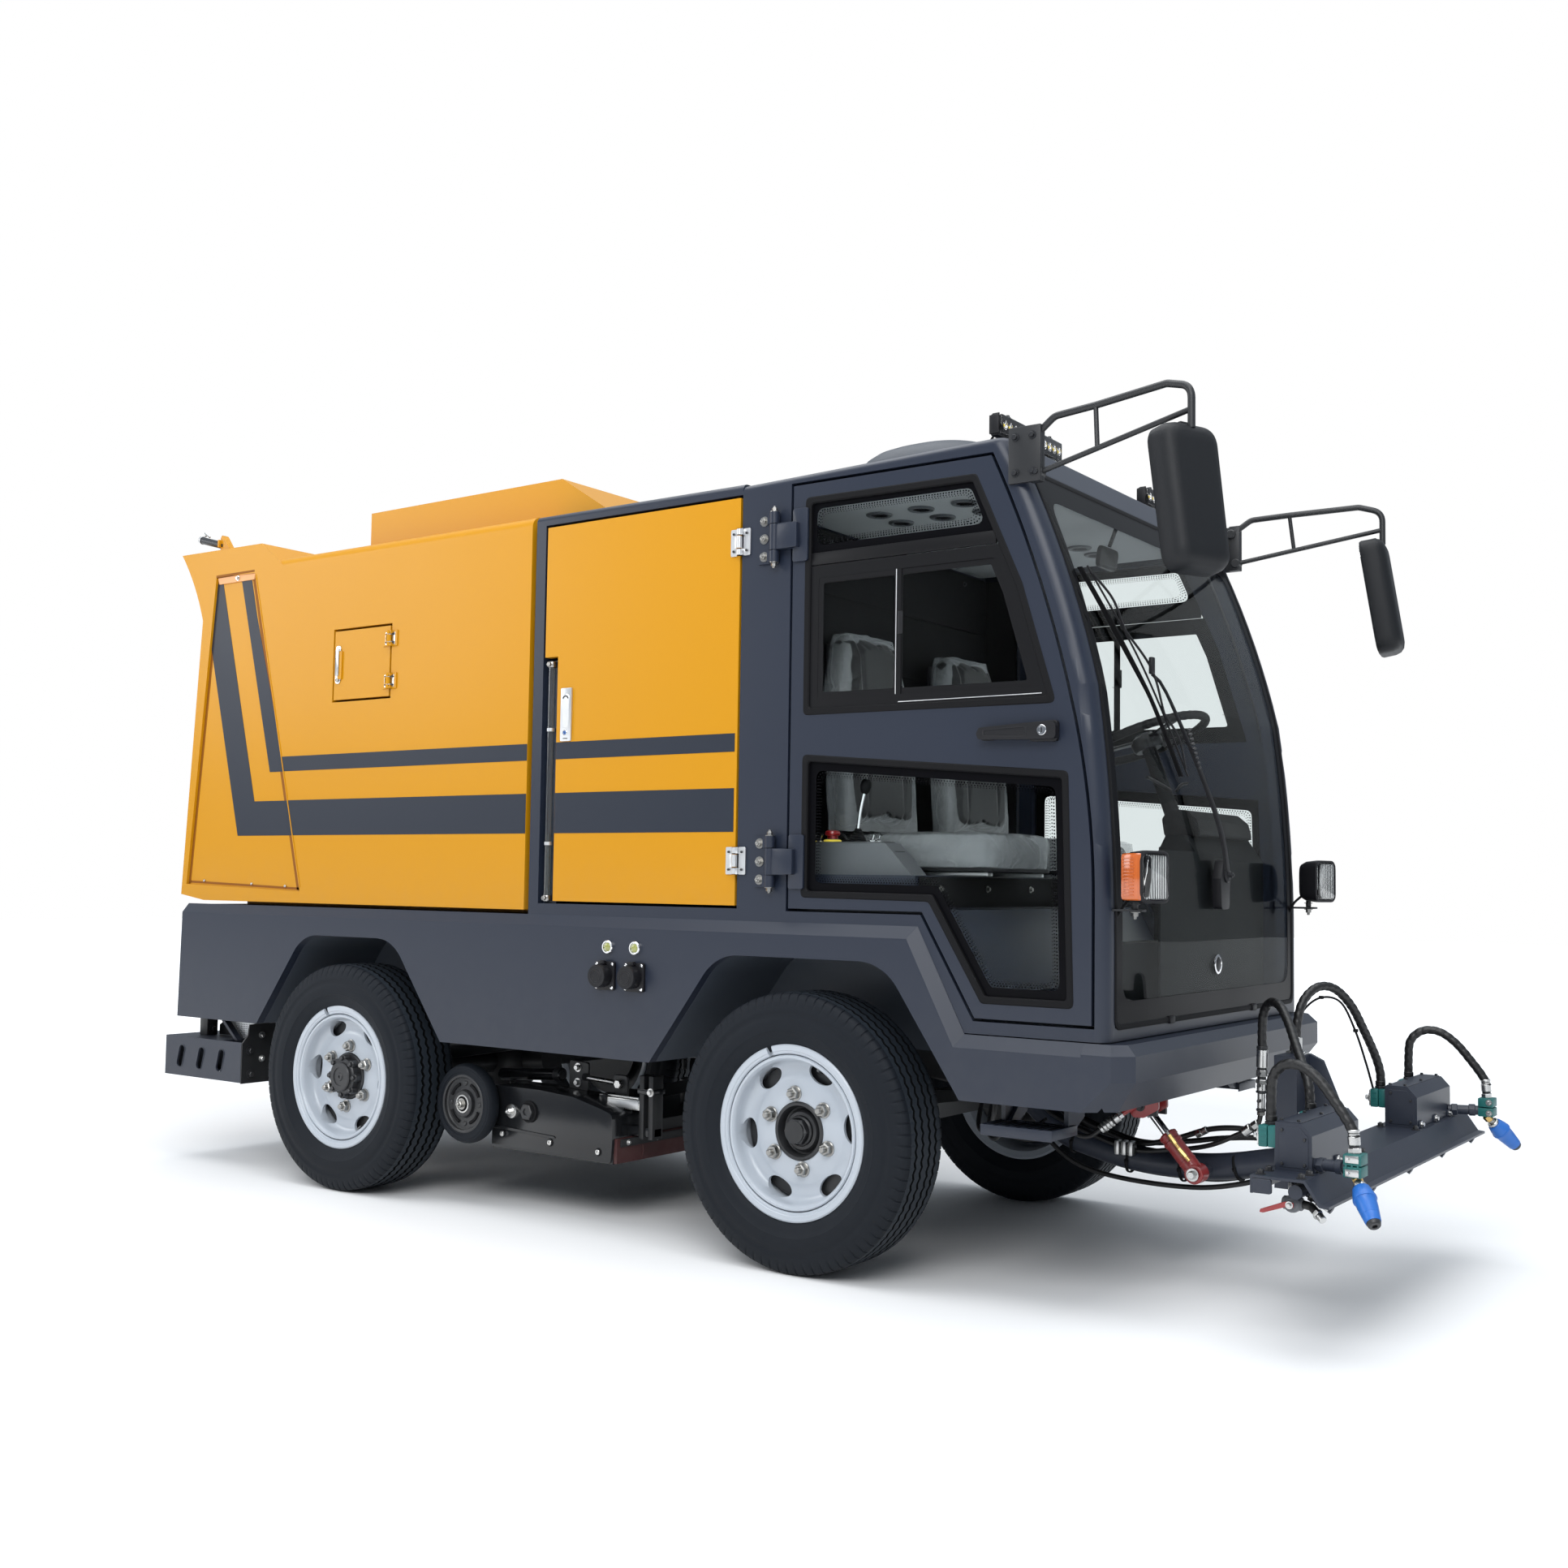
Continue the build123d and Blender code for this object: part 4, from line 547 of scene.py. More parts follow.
class Piece:                                  # one visible piece, gathered from simple forms
    def __init__(self, name):
        self.name = name
        self.mesh = bmesh.new()
        self.used = []

    def take(self, form, finish):
        if finish not in self.used:
            self.used.append(finish)
        bmesh.ops.remove_doubles(form, verts=form.verts, dist=1e-6)
        for face in form.faces:
            face.material_index = self.used.index(finish)
        bmesh.ops.recalc_face_normals(form, faces=form.faces)
        held = bpy.data.meshes.new("held")
        form.to_mesh(held)
        form.free()
        self.mesh.from_mesh(held)
        bpy.data.meshes.remove(held)

    def skin(self, rings, finish, where=level, loop=True, wrap=False, caps=False):
        self.take(skinForm(rings, where, loop, wrap, caps), finish)

    def bevelled(self, form, finish, bevel, steps, where):
        if bevel:
            bmesh.ops.bevel(form, geom=form.edges, offset=bevel, segments=steps, affect="EDGES",
                            profile=0.5, clamp_overlap=True)
        bmesh.ops.transform(form, matrix=where, verts=form.verts)
        self.take(form, finish)

    def box(self, low, high, finish, bevel=0.0, steps=2, where=level):
        form = bmesh.new()
        bmesh.ops.create_cube(form, size=1)
        for v in form.verts:
            v.co = Vector((l + (c + 0.5) * (h - l) for c, l, h in zip(v.co, low, high)))
        self.bevelled(form, finish, bevel, steps, where)

    def plate(self, outline, low, high, finish, bevel=0.0, plane="xz", where=level, steps=1):
        form = bmesh.new()
        ring = [form.verts.new(planes[plane](a, b, low)) for a, b in outline]
        face = form.faces.new(ring)
        if low != high:
            raised = bmesh.ops.extrude_face_region(form, geom=[face])
            shift = Vector(planes[plane](0, 0, high - low))
            tops = [v for v in raised["geom"] if isinstance(v, bmesh.types.BMVert)]
            bmesh.ops.translate(form, vec=shift, verts=tops)
        self.bevelled(form, finish, bevel, steps, where)

    def band(self, outer, inner, outerAt, innerAt, finish, plane="xz", where=level):
        rings = [[planes[plane](*p, outerAt) for p in outer],
                 [planes[plane](*p, innerAt) for p in inner]]
        self.skin(rings, finish, where)

    def lathe(self, profile, finish, where, sides=32, closed=False, turn=0.0):
        rings = []
        for radius, along in profile:
            angles = [2 * math.pi * (k + turn) / sides for k in range(sides)]
            rings.append([(along, *polar(radius, a)) for a in angles])
        self.skin(rings, finish, where, wrap=closed)

    def rod(self, start, end, radius, finish, sides=20, chamfer=1.0):
        run = Vector(end) - Vector(start)
        c = min(chamfer, radius * 0.5)
        self.lathe([(0, 0), (radius - c, 0), (radius, c), (radius, run.length - c),
                    (radius - c, run.length), (0, run.length)], finish, axes(start, run), sides)

    def tube(self, path, radius, finish, sides=14, ridge=None, caps=True):
        path = [Vector(p) for p in path]
        side = None
        rings = []
        travelled = 0.0
        for k, here in enumerate(path):
            ahead = (path[min(k + 1, len(path) - 1)] - path[max(k - 1, 0)]).normalized()
            if side is None:
                side = ahead.cross((0, 0, 1) if abs(ahead.z) < 0.9 else (0, 1, 0)).normalized()
            side = (side - ahead * side.dot(ahead)).normalized()
            other = ahead.cross(side)
            travelled += (here - path[max(k - 1, 0)]).length
            ring = []
            for n in range(sides):
                angle = 2 * math.pi * n / sides
                grown = radius
                if ridge:                     # a wrap wound round the tube
                    share = (travelled / ridge["pitch"] + n / sides) % 1
                    grown += ridge["height"] * max(0.0, math.sin(math.pi * share)) ** 0.5
                ring.append(here + grown * (side * math.cos(angle) + other * math.sin(angle)))
            rings.append(ring)
        self.skin(rings, finish, caps=caps)

    def bolt(self, place, direction, size, finish="steel", washer=True, stud=0.0):
        where = axes(place, direction)
        base = 0.0
        if washer:
            base = size * 0.16
            self.lathe(rect(0, 0, size * 0.95, base), finish, where, 20)
        top = base + size * 0.7
        self.lathe([(size * 0.62, base), (size * 0.62, top - size * 0.1), (size * 0.52, top),
                    (0, top)], finish, where, 6)
        if stud:
            self.lathe([(size * 0.33, top), (size * 0.33, top + stud * 0.75),
                        (size * 0.24, top + stud), (0, top + stud)], finish, where, 12)

    def carve(self, cutters):                 # takes the cutters' shapes out of the piece
        held = []
        for title, mesh in (("carved", self.mesh), ("cutters", cutters.mesh)):
            data = bpy.data.meshes.new(title)
            mesh.to_mesh(data)
            held.append(addObject(title, data))
        change = held[0].modifiers.new("cut", "BOOLEAN")
        change.object, change.solver = held[1], "EXACT"
        result = held[0].evaluated_get(bpy.context.evaluated_depsgraph_get())
        self.mesh.clear()
        self.mesh.from_mesh(result.to_mesh())
        for obj in held:
            bpy.data.objects.remove(obj)

    def done(self, body, slot, replaces=(), smooth=32, flip=False):
        if flip or self.name.startswith("left"):      # drawn for the right, wanted on the left
            bmesh.ops.scale(self.mesh, vec=(1, -1, 1), verts=self.mesh.verts)
            bmesh.ops.reverse_faces(self.mesh, faces=self.mesh.faces)
        data = bpy.data.meshes.new(self.name)
        self.mesh.to_mesh(data)
        self.mesh.free()
        for finish in self.used:
            data.materials.append(finishes[finish])
        data.polygons.foreach_set("use_smooth", [True] * len(data.polygons))
        data.set_sharp_from_angle(angle=math.radians(smooth))
        obj = addObject(self.name, data)
        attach(obj, body)
        if replaces:
            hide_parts(*replaces)
        return obj


wheels = [(end, side, x, y) for end, x in (("front", 0.0), ("rear", rearAxleX))
          for side, y in (("right", -1), ("left", 1))]
hubPlace = {"half": 650, "height": 374}
tyre = {"pitches": 80, "zigzag": 3.4, "grooveDepth": 12.0, "notchDepth": 2.6,
        "grooves": (-48.0, -17.0, 17.0, 48.0), "grooveHalf": 5.0}


def tyreProfile(part, notch):                 # across the tyre: runs of (finish, place and radius)
    wall = [(76, 222), (80, 233), (88, 242), (95, 256), (99.5, 272), (101.2, 274), (101.8, 292),
            (101.6, 306), (99.6, 309), (99.4, 322), (100.6, 325), (98.6, 332), (97.2, 341)]
    drop = tyre["notchDepth"] if notch else 0.0
    wall += [(95.5 - drop * 0.5, 351 - drop * 0.6), (91 - drop * 0.6, 361 - drop * 0.8),
             (86, 368 - drop), (79, 371.5 - drop), (71, 372.6 - drop * 0.5)]
    shift = tyre["zigzag"] * part
    half, deep = tyre["grooveHalf"], tyre["grooveDepth"]
    near, far = [(-a, r) for a, r in wall], [(a, r) for a, r in reversed(wall)]
    runs, last = [("tyreRubber", near)], near[-1]
    for groove in tyre["grooves"]:
        crown = 374 - abs(groove) * 0.022
        cut = [(groove + shift - half, crown), (groove + shift - half * 0.55, crown - deep),
               (groove + shift + half * 0.55, crown - deep), (groove + shift + half, crown)]
        runs += [("treadRubber", [last, cut[0]]), ("grooveShade", cut)]
        last = cut[-1]
    return runs + [("treadRubber", [last, far[0]]), ("tyreRubber", far)]


def buildTyre(end, side, x, y):
    piece = Piece(f"{end}{side.title()}Tyre")
    where = axes((x, y * hubPlace["half"], hubPlace["height"]), (0, y, 0))
    marks = ((0.0, -1, False), (0.05, -0.8, True), (0.14, -0.4, True), (0.19, -0.1, False),
             (0.5, 1, False), (0.78, 0.0, False))
    for k, (finish, _) in enumerate(tyreProfile(0, False)):
        rings = []
        for pitch in range(tyre["pitches"]):
            for share, part, notch in marks:
                angle = 2 * math.pi * (pitch + share) / tyre["pitches"]
                rings.append([(a, *polar(r, angle)) for a, r in tyreProfile(part, notch)[k][1]])
        piece.skin(rings, finish, where, loop=False, wrap=True)
    piece.done(f"{end}_{side}_wheel", "tyre_rubber", [f"{end}_{side}_tyre"], smooth=38)


rim = {"holes": 6, "holeCircle": 167.0, "holeSize": (23.5, 41.0), "nuts": 6, "nutCircle": 101.0,
       "holeTurn": {"front": 0.12, "rear": 0.90}, "nutTurn": {"front": 0.64, "rear": 0.43},
       "stemHole": {"front": 1, "rear": 4}}


def buildRim(end, side, x, y):
    piece = Piece(f"{end}{side.title()}Rim")
    where = axes((x, y * hubPlace["half"], hubPlace["height"]), (0, y, 0))
    piece.lathe([(78, 40), (137, 40), (144, 37), (152, 34.5), (172, 34), (181, 37), (187.5, 44),
                 (190.5, 56), (191.5, 68), (193.5, 76), (198, 81), (203.5, 82), (206.5, 78),
                 (207, 66), (203, 56), (200, 36), (192, 26), (176, 25), (150, 27), (78, 31)],
                "rimPaint", where, 96, closed=True)
    holes = Piece("handHoles")
    for k in range(rim["holes"]):
        angle = 2 * math.pi * (k + rim["holeTurn"][end]) / rim["holes"]
        wide, long = rim["holeSize"]
        ring = turned(circle(rim["holeCircle"], 0, wide, 28, long / wide), angle)
        holes.skin([[(a, u, v) for u, v in ring] for a in (-30, 90)], "rimPaint", where, caps=True)
    piece.carve(holes)
    piece.lathe([(40, -30), (186, -30), (190, -16), (190, 6), (184, 12), (120, 14), (40, 14)],
                "hubBlack", where, 64)        # brake drum behind the hand holes
    # barrel, bead seats and the split lock ring
    piece.lathe([(198, -4), (199, 30), (204, 52), (208, 64), (211, 72),
                 (222, 70), (222, -70), (234, -80), (235, -86), (228, -88), (210, -80),
                 (202, -60), (198, -4)], "rimPaint", where, 96)
    split = 2 * math.pi * 0.012
    start = 2 * math.pi * 0.30
    lock = [(209, 72), (209, 79), (212, 83), (217, 84), (219, 86.2), (231, 87.5), (235, 85),
            (235.5, 80), (231, 76), (221, 71)]
    rings = []
    for k in range(97):
        angle = start + split / 2 + (2 * math.pi - split) * k / 96
        rings.append([(a, *polar(r, angle)) for r, a in lock])
    piece.skin(rings, "rimPaint", where, caps=True)
    for k in range(rim["nuts"]):
        angle = 2 * math.pi * (k + rim["nutTurn"][end]) / rim["nuts"]
        u, v = polar(rim["nutCircle"], angle)
        spot = axes(millimetres(where @ Vector((40.5, u, v))), (0, y, 0))
        piece.lathe(puck(21, 2.5, 18.5, 4), "nickel", spot, 24)
        piece.lathe([(17.5, 4), (17.5, 18), (14.5, 21), (0, 21)], "nickel", spot, 6, turn=k * 0.3)
        piece.lathe([(9, 21), (9, 29), (7, 32), (0, 32)], "nickel", spot, 14)
    # valve stem through one of the hand holes
    angle = 2 * math.pi * (rim["stemHole"][end] + rim["holeTurn"][end]) / rim["holes"]
    stem = [millimetres(where @ Vector((a, *polar(r, angle))))
            for a, r in ((0, 176), (38, 176), (58, 184))]
    piece.tube(smoothPath(stem, 6), 4.2, "nickel", 10)
    if end == "front":                        # recessed hub with a hexagonal grease cap
        piece.lathe([(79, 34), (79, 42), (75, 45), (69, 44), (66, 38), (63, 18), (56, 14),
                     (54, 26), (50, 32), (42, 34), (42, 28), (0, 28)], "hubBlack", where, 48)
        piece.lathe([(40, 28), (40, 40), (36, 44), (36, 48)], "hubBlack", where, 32)
        piece.lathe([(37, 44), (37, 58), (31, 64), (12, 64), (10, 61), (0, 61)], "hubBlack", where,
                    6)
    else:                                     # castellated drive flange with its bolts
        piece.lathe([(76, 28), (76, 42), (72, 46), (60, 46), (60, 68), (56, 72), (48, 72),
                     (48, 78), (45, 81), (30, 81), (29, 78), (14, 78), (12, 81), (5, 81),
                     (4, 78), (0, 78)], "hubBlack", where, 48)
        for u, v in circle(0, 0, 60, 8):
            spot = axes(millimetres(where @ Vector((44, u, v))), (0, y, 0))
            piece.lathe([(13, 0), (13, 24), (11, 26), (0, 26)], "hubBlack", spot, 16)
            piece.lathe([(8, 26), (8, 33), (6, 35), (0, 35)], "hubBlack", spot, 6)
    piece.done(f"{end}_{side}_wheel", "silver_steel", [f"{end}_{side}_rim"], smooth=30)


for facts in wheels:
    buildTyre(*facts)
    buildRim(*facts)
print("tyres and rims built")


sideY = -690                                  # outer face of the tank, bay and cab sides
skirtY = -715


def strip(path, width):                       # a closed strip beside an open line
    closed = path + [(path[-1][0], path[-1][1] - 2000), (path[0][0], path[0][1] - 2000)]
    inner = inset(closed, -width)[:len(path)]
    return path + inner[::-1]


arches = {"front": ((505, 503), (276, 838), (-276, 838), (-515, 520)),
          "rear": ((rearAxleX + 464, 520), (rearAxleX + 223, 838), (rearAxleX - 235, 838),
                   (rearAxleX - 474, 520))}
linerFacts = {"outer": -684, "inner": -326, "wall": 3, "round": 150, "low": 575}


def buildLiners(end, side):                   # dark shell over each wheel
    f = linerFacts
    piece = Piece(f"{end}{side.title()}ArchLiner")
    crown = rounded(arches[end], f["round"], 8, closed=False)
    piece.plate(strip(crown, f["wall"]), f["inner"], f["outer"], "linerPlastic")
    back = inset(crown + [(crown[-1][0], 200), (crown[0][0], 200)], -1)
    back = clip(back, (-9000, f["low"]), (9000, f["low"]))
    piece.plate(back, f["inner"], f["inner"] + 4, "linerPlastic")
    piece.done("chassis", "dark_paint", flip=side == "left")


stripeFacts = {"thick": 0.7, "front": -241, "lift": 0.15,
               "lower": [(-231, 1181), (-231, 1304), (-2423, 1304), (-2651, 2116),
                         (-2777, 2116), (-2514, 1181)],
               "upper": [(-231, 1407), (-231, 1459), (-2272, 1459), (-2443, 1974),
                         (-2481, 2114), (-2541, 2117), (-2340, 1407)]}
panelEdge = ((-2453, 2134), (-2141, 986))     # front edge of the sunk side panel
panelRear = ((-2800, 1004), (-2681, 2141))


def buildStripes(side):                       # bands of vinyl that climb the tank's side
    f = stripeFacts
    tank, door = Piece(f"{side}TankStripes"), Piece(f"{side}DoorStripes")
    for name in ("lower", "upper"):
        band = f[name]
        sunk = clip(clip(band, *panelEdge[::-1]), *panelRear[::-1])
        ahead = clip(clip(band, *panelEdge), (-1055, 0), (-1055, 3000))
        onDoor = clip(clip(band, (-931, 3000), (-931, 0)), (f["front"], 0), (f["front"], 3000))
        for outline, y, piece in ((sunk, sideY + 10, tank), (ahead, sideY, tank),
                                  (onDoor, sideY, door)):
            piece.plate(outline, y - f["lift"], y - f["lift"] - f["thick"], "stripeVinyl")
    tank.done("chassis", "dark_paint")
    door.done(f"{side}_bay_door_body", "dark_paint")


def hingeCover(piece, pin, toward, size, moving, finish):
    x, y, z = pin                             # the leaf, knuckles and screws of half a hinge
    near, far, thick, radius, pinSize, half, knuckle = size.values()
    ends = sorted((x + toward * near, x + toward * (far + 0.5)))
    leaf = rect(ends[0], z - half - 0.5, ends[1], z + half + 0.5, 4, 3)
    piece.plate(leaf, sideY - 0.2, sideY - thick - 0.6, finish, bevel=0.5)
    spans = [(-knuckle, knuckle)] if moving else [(-half, -knuckle - 2), (knuckle + 2, half)]
    for low, high in spans:
        piece.lathe([(0, low), (radius - 0.8, low), (radius + 0.4, low + 1.2),
                     (radius + 0.4, high - 1.2), (radius - 0.8, high), (0, high)], finish,
                    axes((x, y, z), toTop), 20)
        arm = sorted((x, x + toward * (near + 3)))
        piece.box((arm[0], y - pinSize - 0.5, z + low), (arm[1], sideY - 0.4, z + high), finish,
                  bevel=1.0)
    for share in (-0.5, 0.5):
        piece.bolt(((ends[0] + ends[1]) / 2, sideY - thick - 0.6, z + share * half * 1.3),
                   toRight, 6, "hubBlack", washer=False)


hatchHinge = {"near": 8, "far": 24, "thick": 4, "radius": 7, "pin": 3.5, "half": 21, "knuckle": 9}
bayHinge = {"near": 11, "far": 34, "thick": 4, "radius": 8, "pin": 4, "half": 38, "knuckle": 18}


def buildHinge(fixed, moving, pin, size, finish):
    hingeCover(fixed, pin, 1, size, False, finish)
    hingeCover(moving, pin, -1, size, True, finish)


def buildHatch():
    fixed, moving = Piece("hatchHingesFixed"), Piece("hatchFittings")
    for z in (1695, 1838):
        buildHinge(fixed, moving, (-1702, sideY - 9, z), hatchHinge, "steel")
    grip = rect(-1982, 1700, -1956, 1832, 12, 6)
    moving.plate(grip, sideY - 0.2, sideY - 3.5, "steel", bevel=1.0)
    paddle = rect(-1979, 1726, -1960, 1822, 9, 5)
    moving.plate(paddle, sideY - 3.4, sideY - 7.5, "steel", bevel=2.2, steps=2)
    moving.lathe([(0, 0), (7, 0), (7, 4), (6, 5), (4.2, 5), (4.2, 3.4), (0, 3.4)], "nickel",
                 axes((-1969, sideY - 3, 1713), toRight), 20)
    fixed.done("chassis", "silver_steel")
    moving.done("hatch_body", "silver_steel")


tubePlace = (-967, -678)
latchFacts = {"rear": -911.5, "front": -867, "low": 1461, "high": 1624, "thick": 6.2}


def buildBayFittings(side):                   # latch, hinges and the water level tube
    f = latchFacts
    latch = Piece(f"{side}BayLatch")
    middle = (f["rear"] + f["front"]) / 2
    outline = rect(f["rear"], f["low"], f["front"], f["high"], 5, 4)
    latch.plate(outline, sideY - 0.2, sideY - f["thick"], "satinSteel", bevel=1.4, steps=2)
    face = sideY - f["thick"]
    recess = rect(middle - 14, 1500, middle + 14, 1606, 13, 8)
    latch.band(recess, inset(recess, 2), face - 0.1, face - 1.6, "satinSteel")
    latch.plate(inset(recess, 1.6), face - 0.1, face - 1.7, "satinSteel", bevel=0.6)
    crescent = [polar(r, math.radians(15 + 150 * k / 12))
                for r, steps in ((13, range(13)), (9, range(12, -1, -1))) for k in steps]
    crescent = [(middle + u, 1588 + v) for u, v in crescent]
    latch.plate(crescent, face - 1.5, face - 2.4, "hubBlack")
    lock = axes((middle, face, 1487), toRight)
    latch.lathe([(0, 0), (8.6, 0), (8.6, 2.6), (7.8, 3.4), (6, 3.4), (6, 2.2), (0, 2.2)],
                "chrome", lock, 28)
    latch.lathe(rect(0, 2.1, 5.4, 2.9), "bluePlastic", lock, 20)
    latch.box((middle - 0.9, face - 3.5, 1483), (middle + 0.9, face - 2.8, 1491), "hubBlack")
    latch.box((middle - 9, face - 0.8, 1468), (middle + 9, face - 0.1, 1470.5), "hubBlack")
    latch.done(f"{side}_bay_door_body", "silver_steel")
    fixed, moving = Piece(f"{side}BayHingesFixed"), Piece(f"{side}BayHinges")
    for z in (1100, 2000):
        buildHinge(fixed, moving, (-229, sideY - 9, z), bayHinge, "satinSteel")
    fixed.done("chassis", "silver_steel")
    moving.done(f"{side}_bay_door_body", "silver_steel")
    tube = Piece(f"{side}LevelTube")
    x, y = tubePlace
    tube.lathe(rect(9, 985, 11, 1700), "tubePlastic", axes((x, y, 0), toTop), 20, closed=True)
    tube.lathe(rect(0, 990, 8.9, 1180), "tubeWater", axes((x, y, 0), toTop), 20)
    for z in (983, 1702):
        tube.lathe([(0, -9), (12, -9), (13.5, -6), (13.5, 6), (12, 9), (0, 9)], "nickel",
                   axes((x, y, z), toTop), 24)
        tube.bolt((x, y - 10, z), toRight, 13, "nickel", washer=False)
        tube.rod((x, y + 11, z), (x, y - 6, z), 6, "nickel")
    for z in (1150, 1500):
        tube.lathe(rect(11.2, -5, 12.6, 5), "satinSteel", axes((x, y, z), toTop), 24, closed=True)
        tube.box((x - 6, y + 10, z - 5), (x + 6, y + 12.2, z + 5), "satinSteel", bevel=0.8)
    tube.done("chassis", "silver_steel")


def buildSkirtFittings(side):                 # signal lamps over capped sockets
    piece = Piece(f"{side}SkirtFittings")
    for x in (-677, -572):
        where = axes((x, skirtY, 845), toRight)
        piece.lathe([(12, 0), (20, 0), (20, 7), (18.5, 9), (15, 9), (14, 6), (12, 6)], "chrome",
                    where, 32, closed=True)
        piece.lathe([(0, 1), (14.2, 1), (14.2, 5), (11, 8), (6, 9.6), (0, 10)], "signalLens", where,
                    32)
    for x in (-684, -571):
        corners = rect(x - 38, 719, x + 38, 803, 9, 4)
        piece.plate(corners, skirtY, skirtY - 9, "blackPlastic", bevel=1.6, steps=2)
        cap = axes((x - 3, skirtY - 8.5, 761), toRight)
        piece.lathe([(0, 0), (33, 0), (34, 3), (34, 30), (32, 34), (0, 34)], "blackPlastic",
                    cap, 40)
        for ridge in (14, 20):
            piece.lathe([(ridge, 34), (ridge + 1.5, 35), (ridge + 3, 34)], "blackPlastic", cap, 36)
        piece.box((x - 12, skirtY - 22, 794), (x + 8, skirtY - 8.5, 806), "blackPlastic", bevel=2)
        for dx in (-30, 30):
            for dz in (-34, 34):
                piece.lathe([(0, 0), (5, 0), (5, 1.5), (3.4, 3.2), (0, 3.8)], "chrome",
                            axes((x + dx, skirtY - 9, 761 + dz), toRight), 18)
    piece.done("chassis", "black_plastic")


for side in ("right", "left"):
    for end in ("front", "rear"):
        buildLiners(end, side)
    buildStripes(side)
    buildBayFittings(side)
buildSkirtFittings("right")
buildHatch()
print("side fittings built")


def ringPlate(piece, outer, inner, low, high, finish, plane="xz", where=level):
    rings = [[planes[plane](*p, at) for p in loop]
             for loop, at in ((outer, low), (outer, high), (inner, high), (inner, low))]
    piece.skin(rings, finish, where, wrap=True)


def alongLoop(loop, spacing):                 # evenly spaced points along a closed line
    spots, carried = [], 0.0
    for a, b in zip(loop, loop[1:] + loop[:1]):
        run = Vector(b) - Vector(a)
        while carried < run.length:
            spots.append(tuple(Vector(a) + run * (carried / run.length)))
            carried += spacing
        carried -= run.length
    return spots


def dots(piece, loop, y, spacing, size):
    for cx, cz in alongLoop(loop, spacing):
        piece.plate(circle(cx, cz, size, 8), y, y, "fritBlack")


windowFacts = {"upper": [(0, 1505), (748, 1500), (655, 1800), (524, 2090), (0, 2094)],
               "lower": [(0, 1008), (400, 1004), (556, 752), (800, 752), (784, 1318), (0, 1384)],
               "pane": -680, "seal": 12, "border": 34, "barLow": 1912, "barHigh": 1944,
               "divider": 297, "frame": 20}


def buildWindows(side):                       # seals, printed borders and sliding frames
    f = windowFacts
    seals, prints, slider = (Piece(f"{side}WindowSeals"), Piece(f"{side}WindowBorders"),
                             Piece(f"{side}SlidingWindow"))
    upper, lower = f["upper"], f["lower"]
    for outline in (upper, lower):
        outer = rounded(inset(outline, -7), 16, 4)
        inner = rounded(inset(outline, f["seal"]), 10, 4)
        shoulder = rounded(inset(outline, -4), 15, 4)
        lip = rounded(inset(outline, f["seal"] - 3), 11, 4)
        rings = [[(p[0], y, p[1]) for p in loop] for loop, y in (
            (outer, sideY - 0.2), (shoulder, sideY - 2.6), (lip, sideY - 2.6), (inner, sideY + 1),
            (inner, f["pane"] - 0.3))]
        seals.skin(rings, "sealRubber")
    top = clip(upper, (-9000, f["barHigh"] - 4), (9000, f["barHigh"] - 4))
    for outline, border in ((lower, f["border"]), (top, 26)):
        outer = rounded(inset(outline, 2), 8, 4)
        inner = rounded(inset(outline, border), 22, 4)
        prints.band(outer, inner, f["pane"] - 0.5, f["pane"] - 0.5, "fritBlack")
        for row, size in ((5, 2.3), (11, 1.9), (16, 1.4)):
            loop = rounded(inset(outline, border + row), 22, 4)
            dots(prints, loop, f["pane"] - 0.5, 8.5, size)
    # the sliding part of the upper window: bar, outer frame, tracks and two framed panes
    slide = clip(upper, (9000, f["barLow"]), (-9000, f["barLow"]))
    edge = inset(slide, 4)
    frameOuter, frameInner = rounded(edge, 6, 3), rounded(inset(slide, 38), 8, 3)
    ringPlate(slider, frameOuter, frameInner, f["pane"] - 0.2, f["pane"] - 7, "windowFrame")
    slider.box((3, f["pane"] - 8, f["barLow"] - 2), (585, f["pane"] - 0.2, f["barHigh"]),
               "windowFrame", bevel=1.2)
    rear = clip(inset(slide, 34), (f["divider"] + 6, 0), (f["divider"] + 6, 3000))
    front = clip(inset(slide, 34), (f["divider"] - 12, 3000), (f["divider"] - 12, 0))
    for outline, y in ((rear, f["pane"] - 3.5), (front, f["pane"] - 1.2)):
        ringPlate(slider, rounded(outline, 5, 3), rounded(inset(outline, f["frame"]), 7, 3),
                  y, y - 3, "windowFrame")
    slider.box((f["divider"] - 11, f["pane"] - 6.8, 1528),
               (f["divider"] - 8.6, f["pane"] - 4, 1905), "satinSteel", bevel=0.5)
    slider.box((f["divider"], f["pane"] - 8.4, 1519), (716, f["pane"] - 6.6, 1521), "satinSteel",
               bevel=0.4)
    slider.box((f["divider"] - 4, f["pane"] - 9, 1700), (f["divider"] + 12, f["pane"] - 6, 1760),
               "blackPlastic", bevel=1.4)
    seals.done(f"{side}_cab_door_body", "black_plastic")
    prints.done(f"{side}_cab_door_body", "black_plastic")
    slider.done(f"{side}_cab_door_body", "black_plastic")


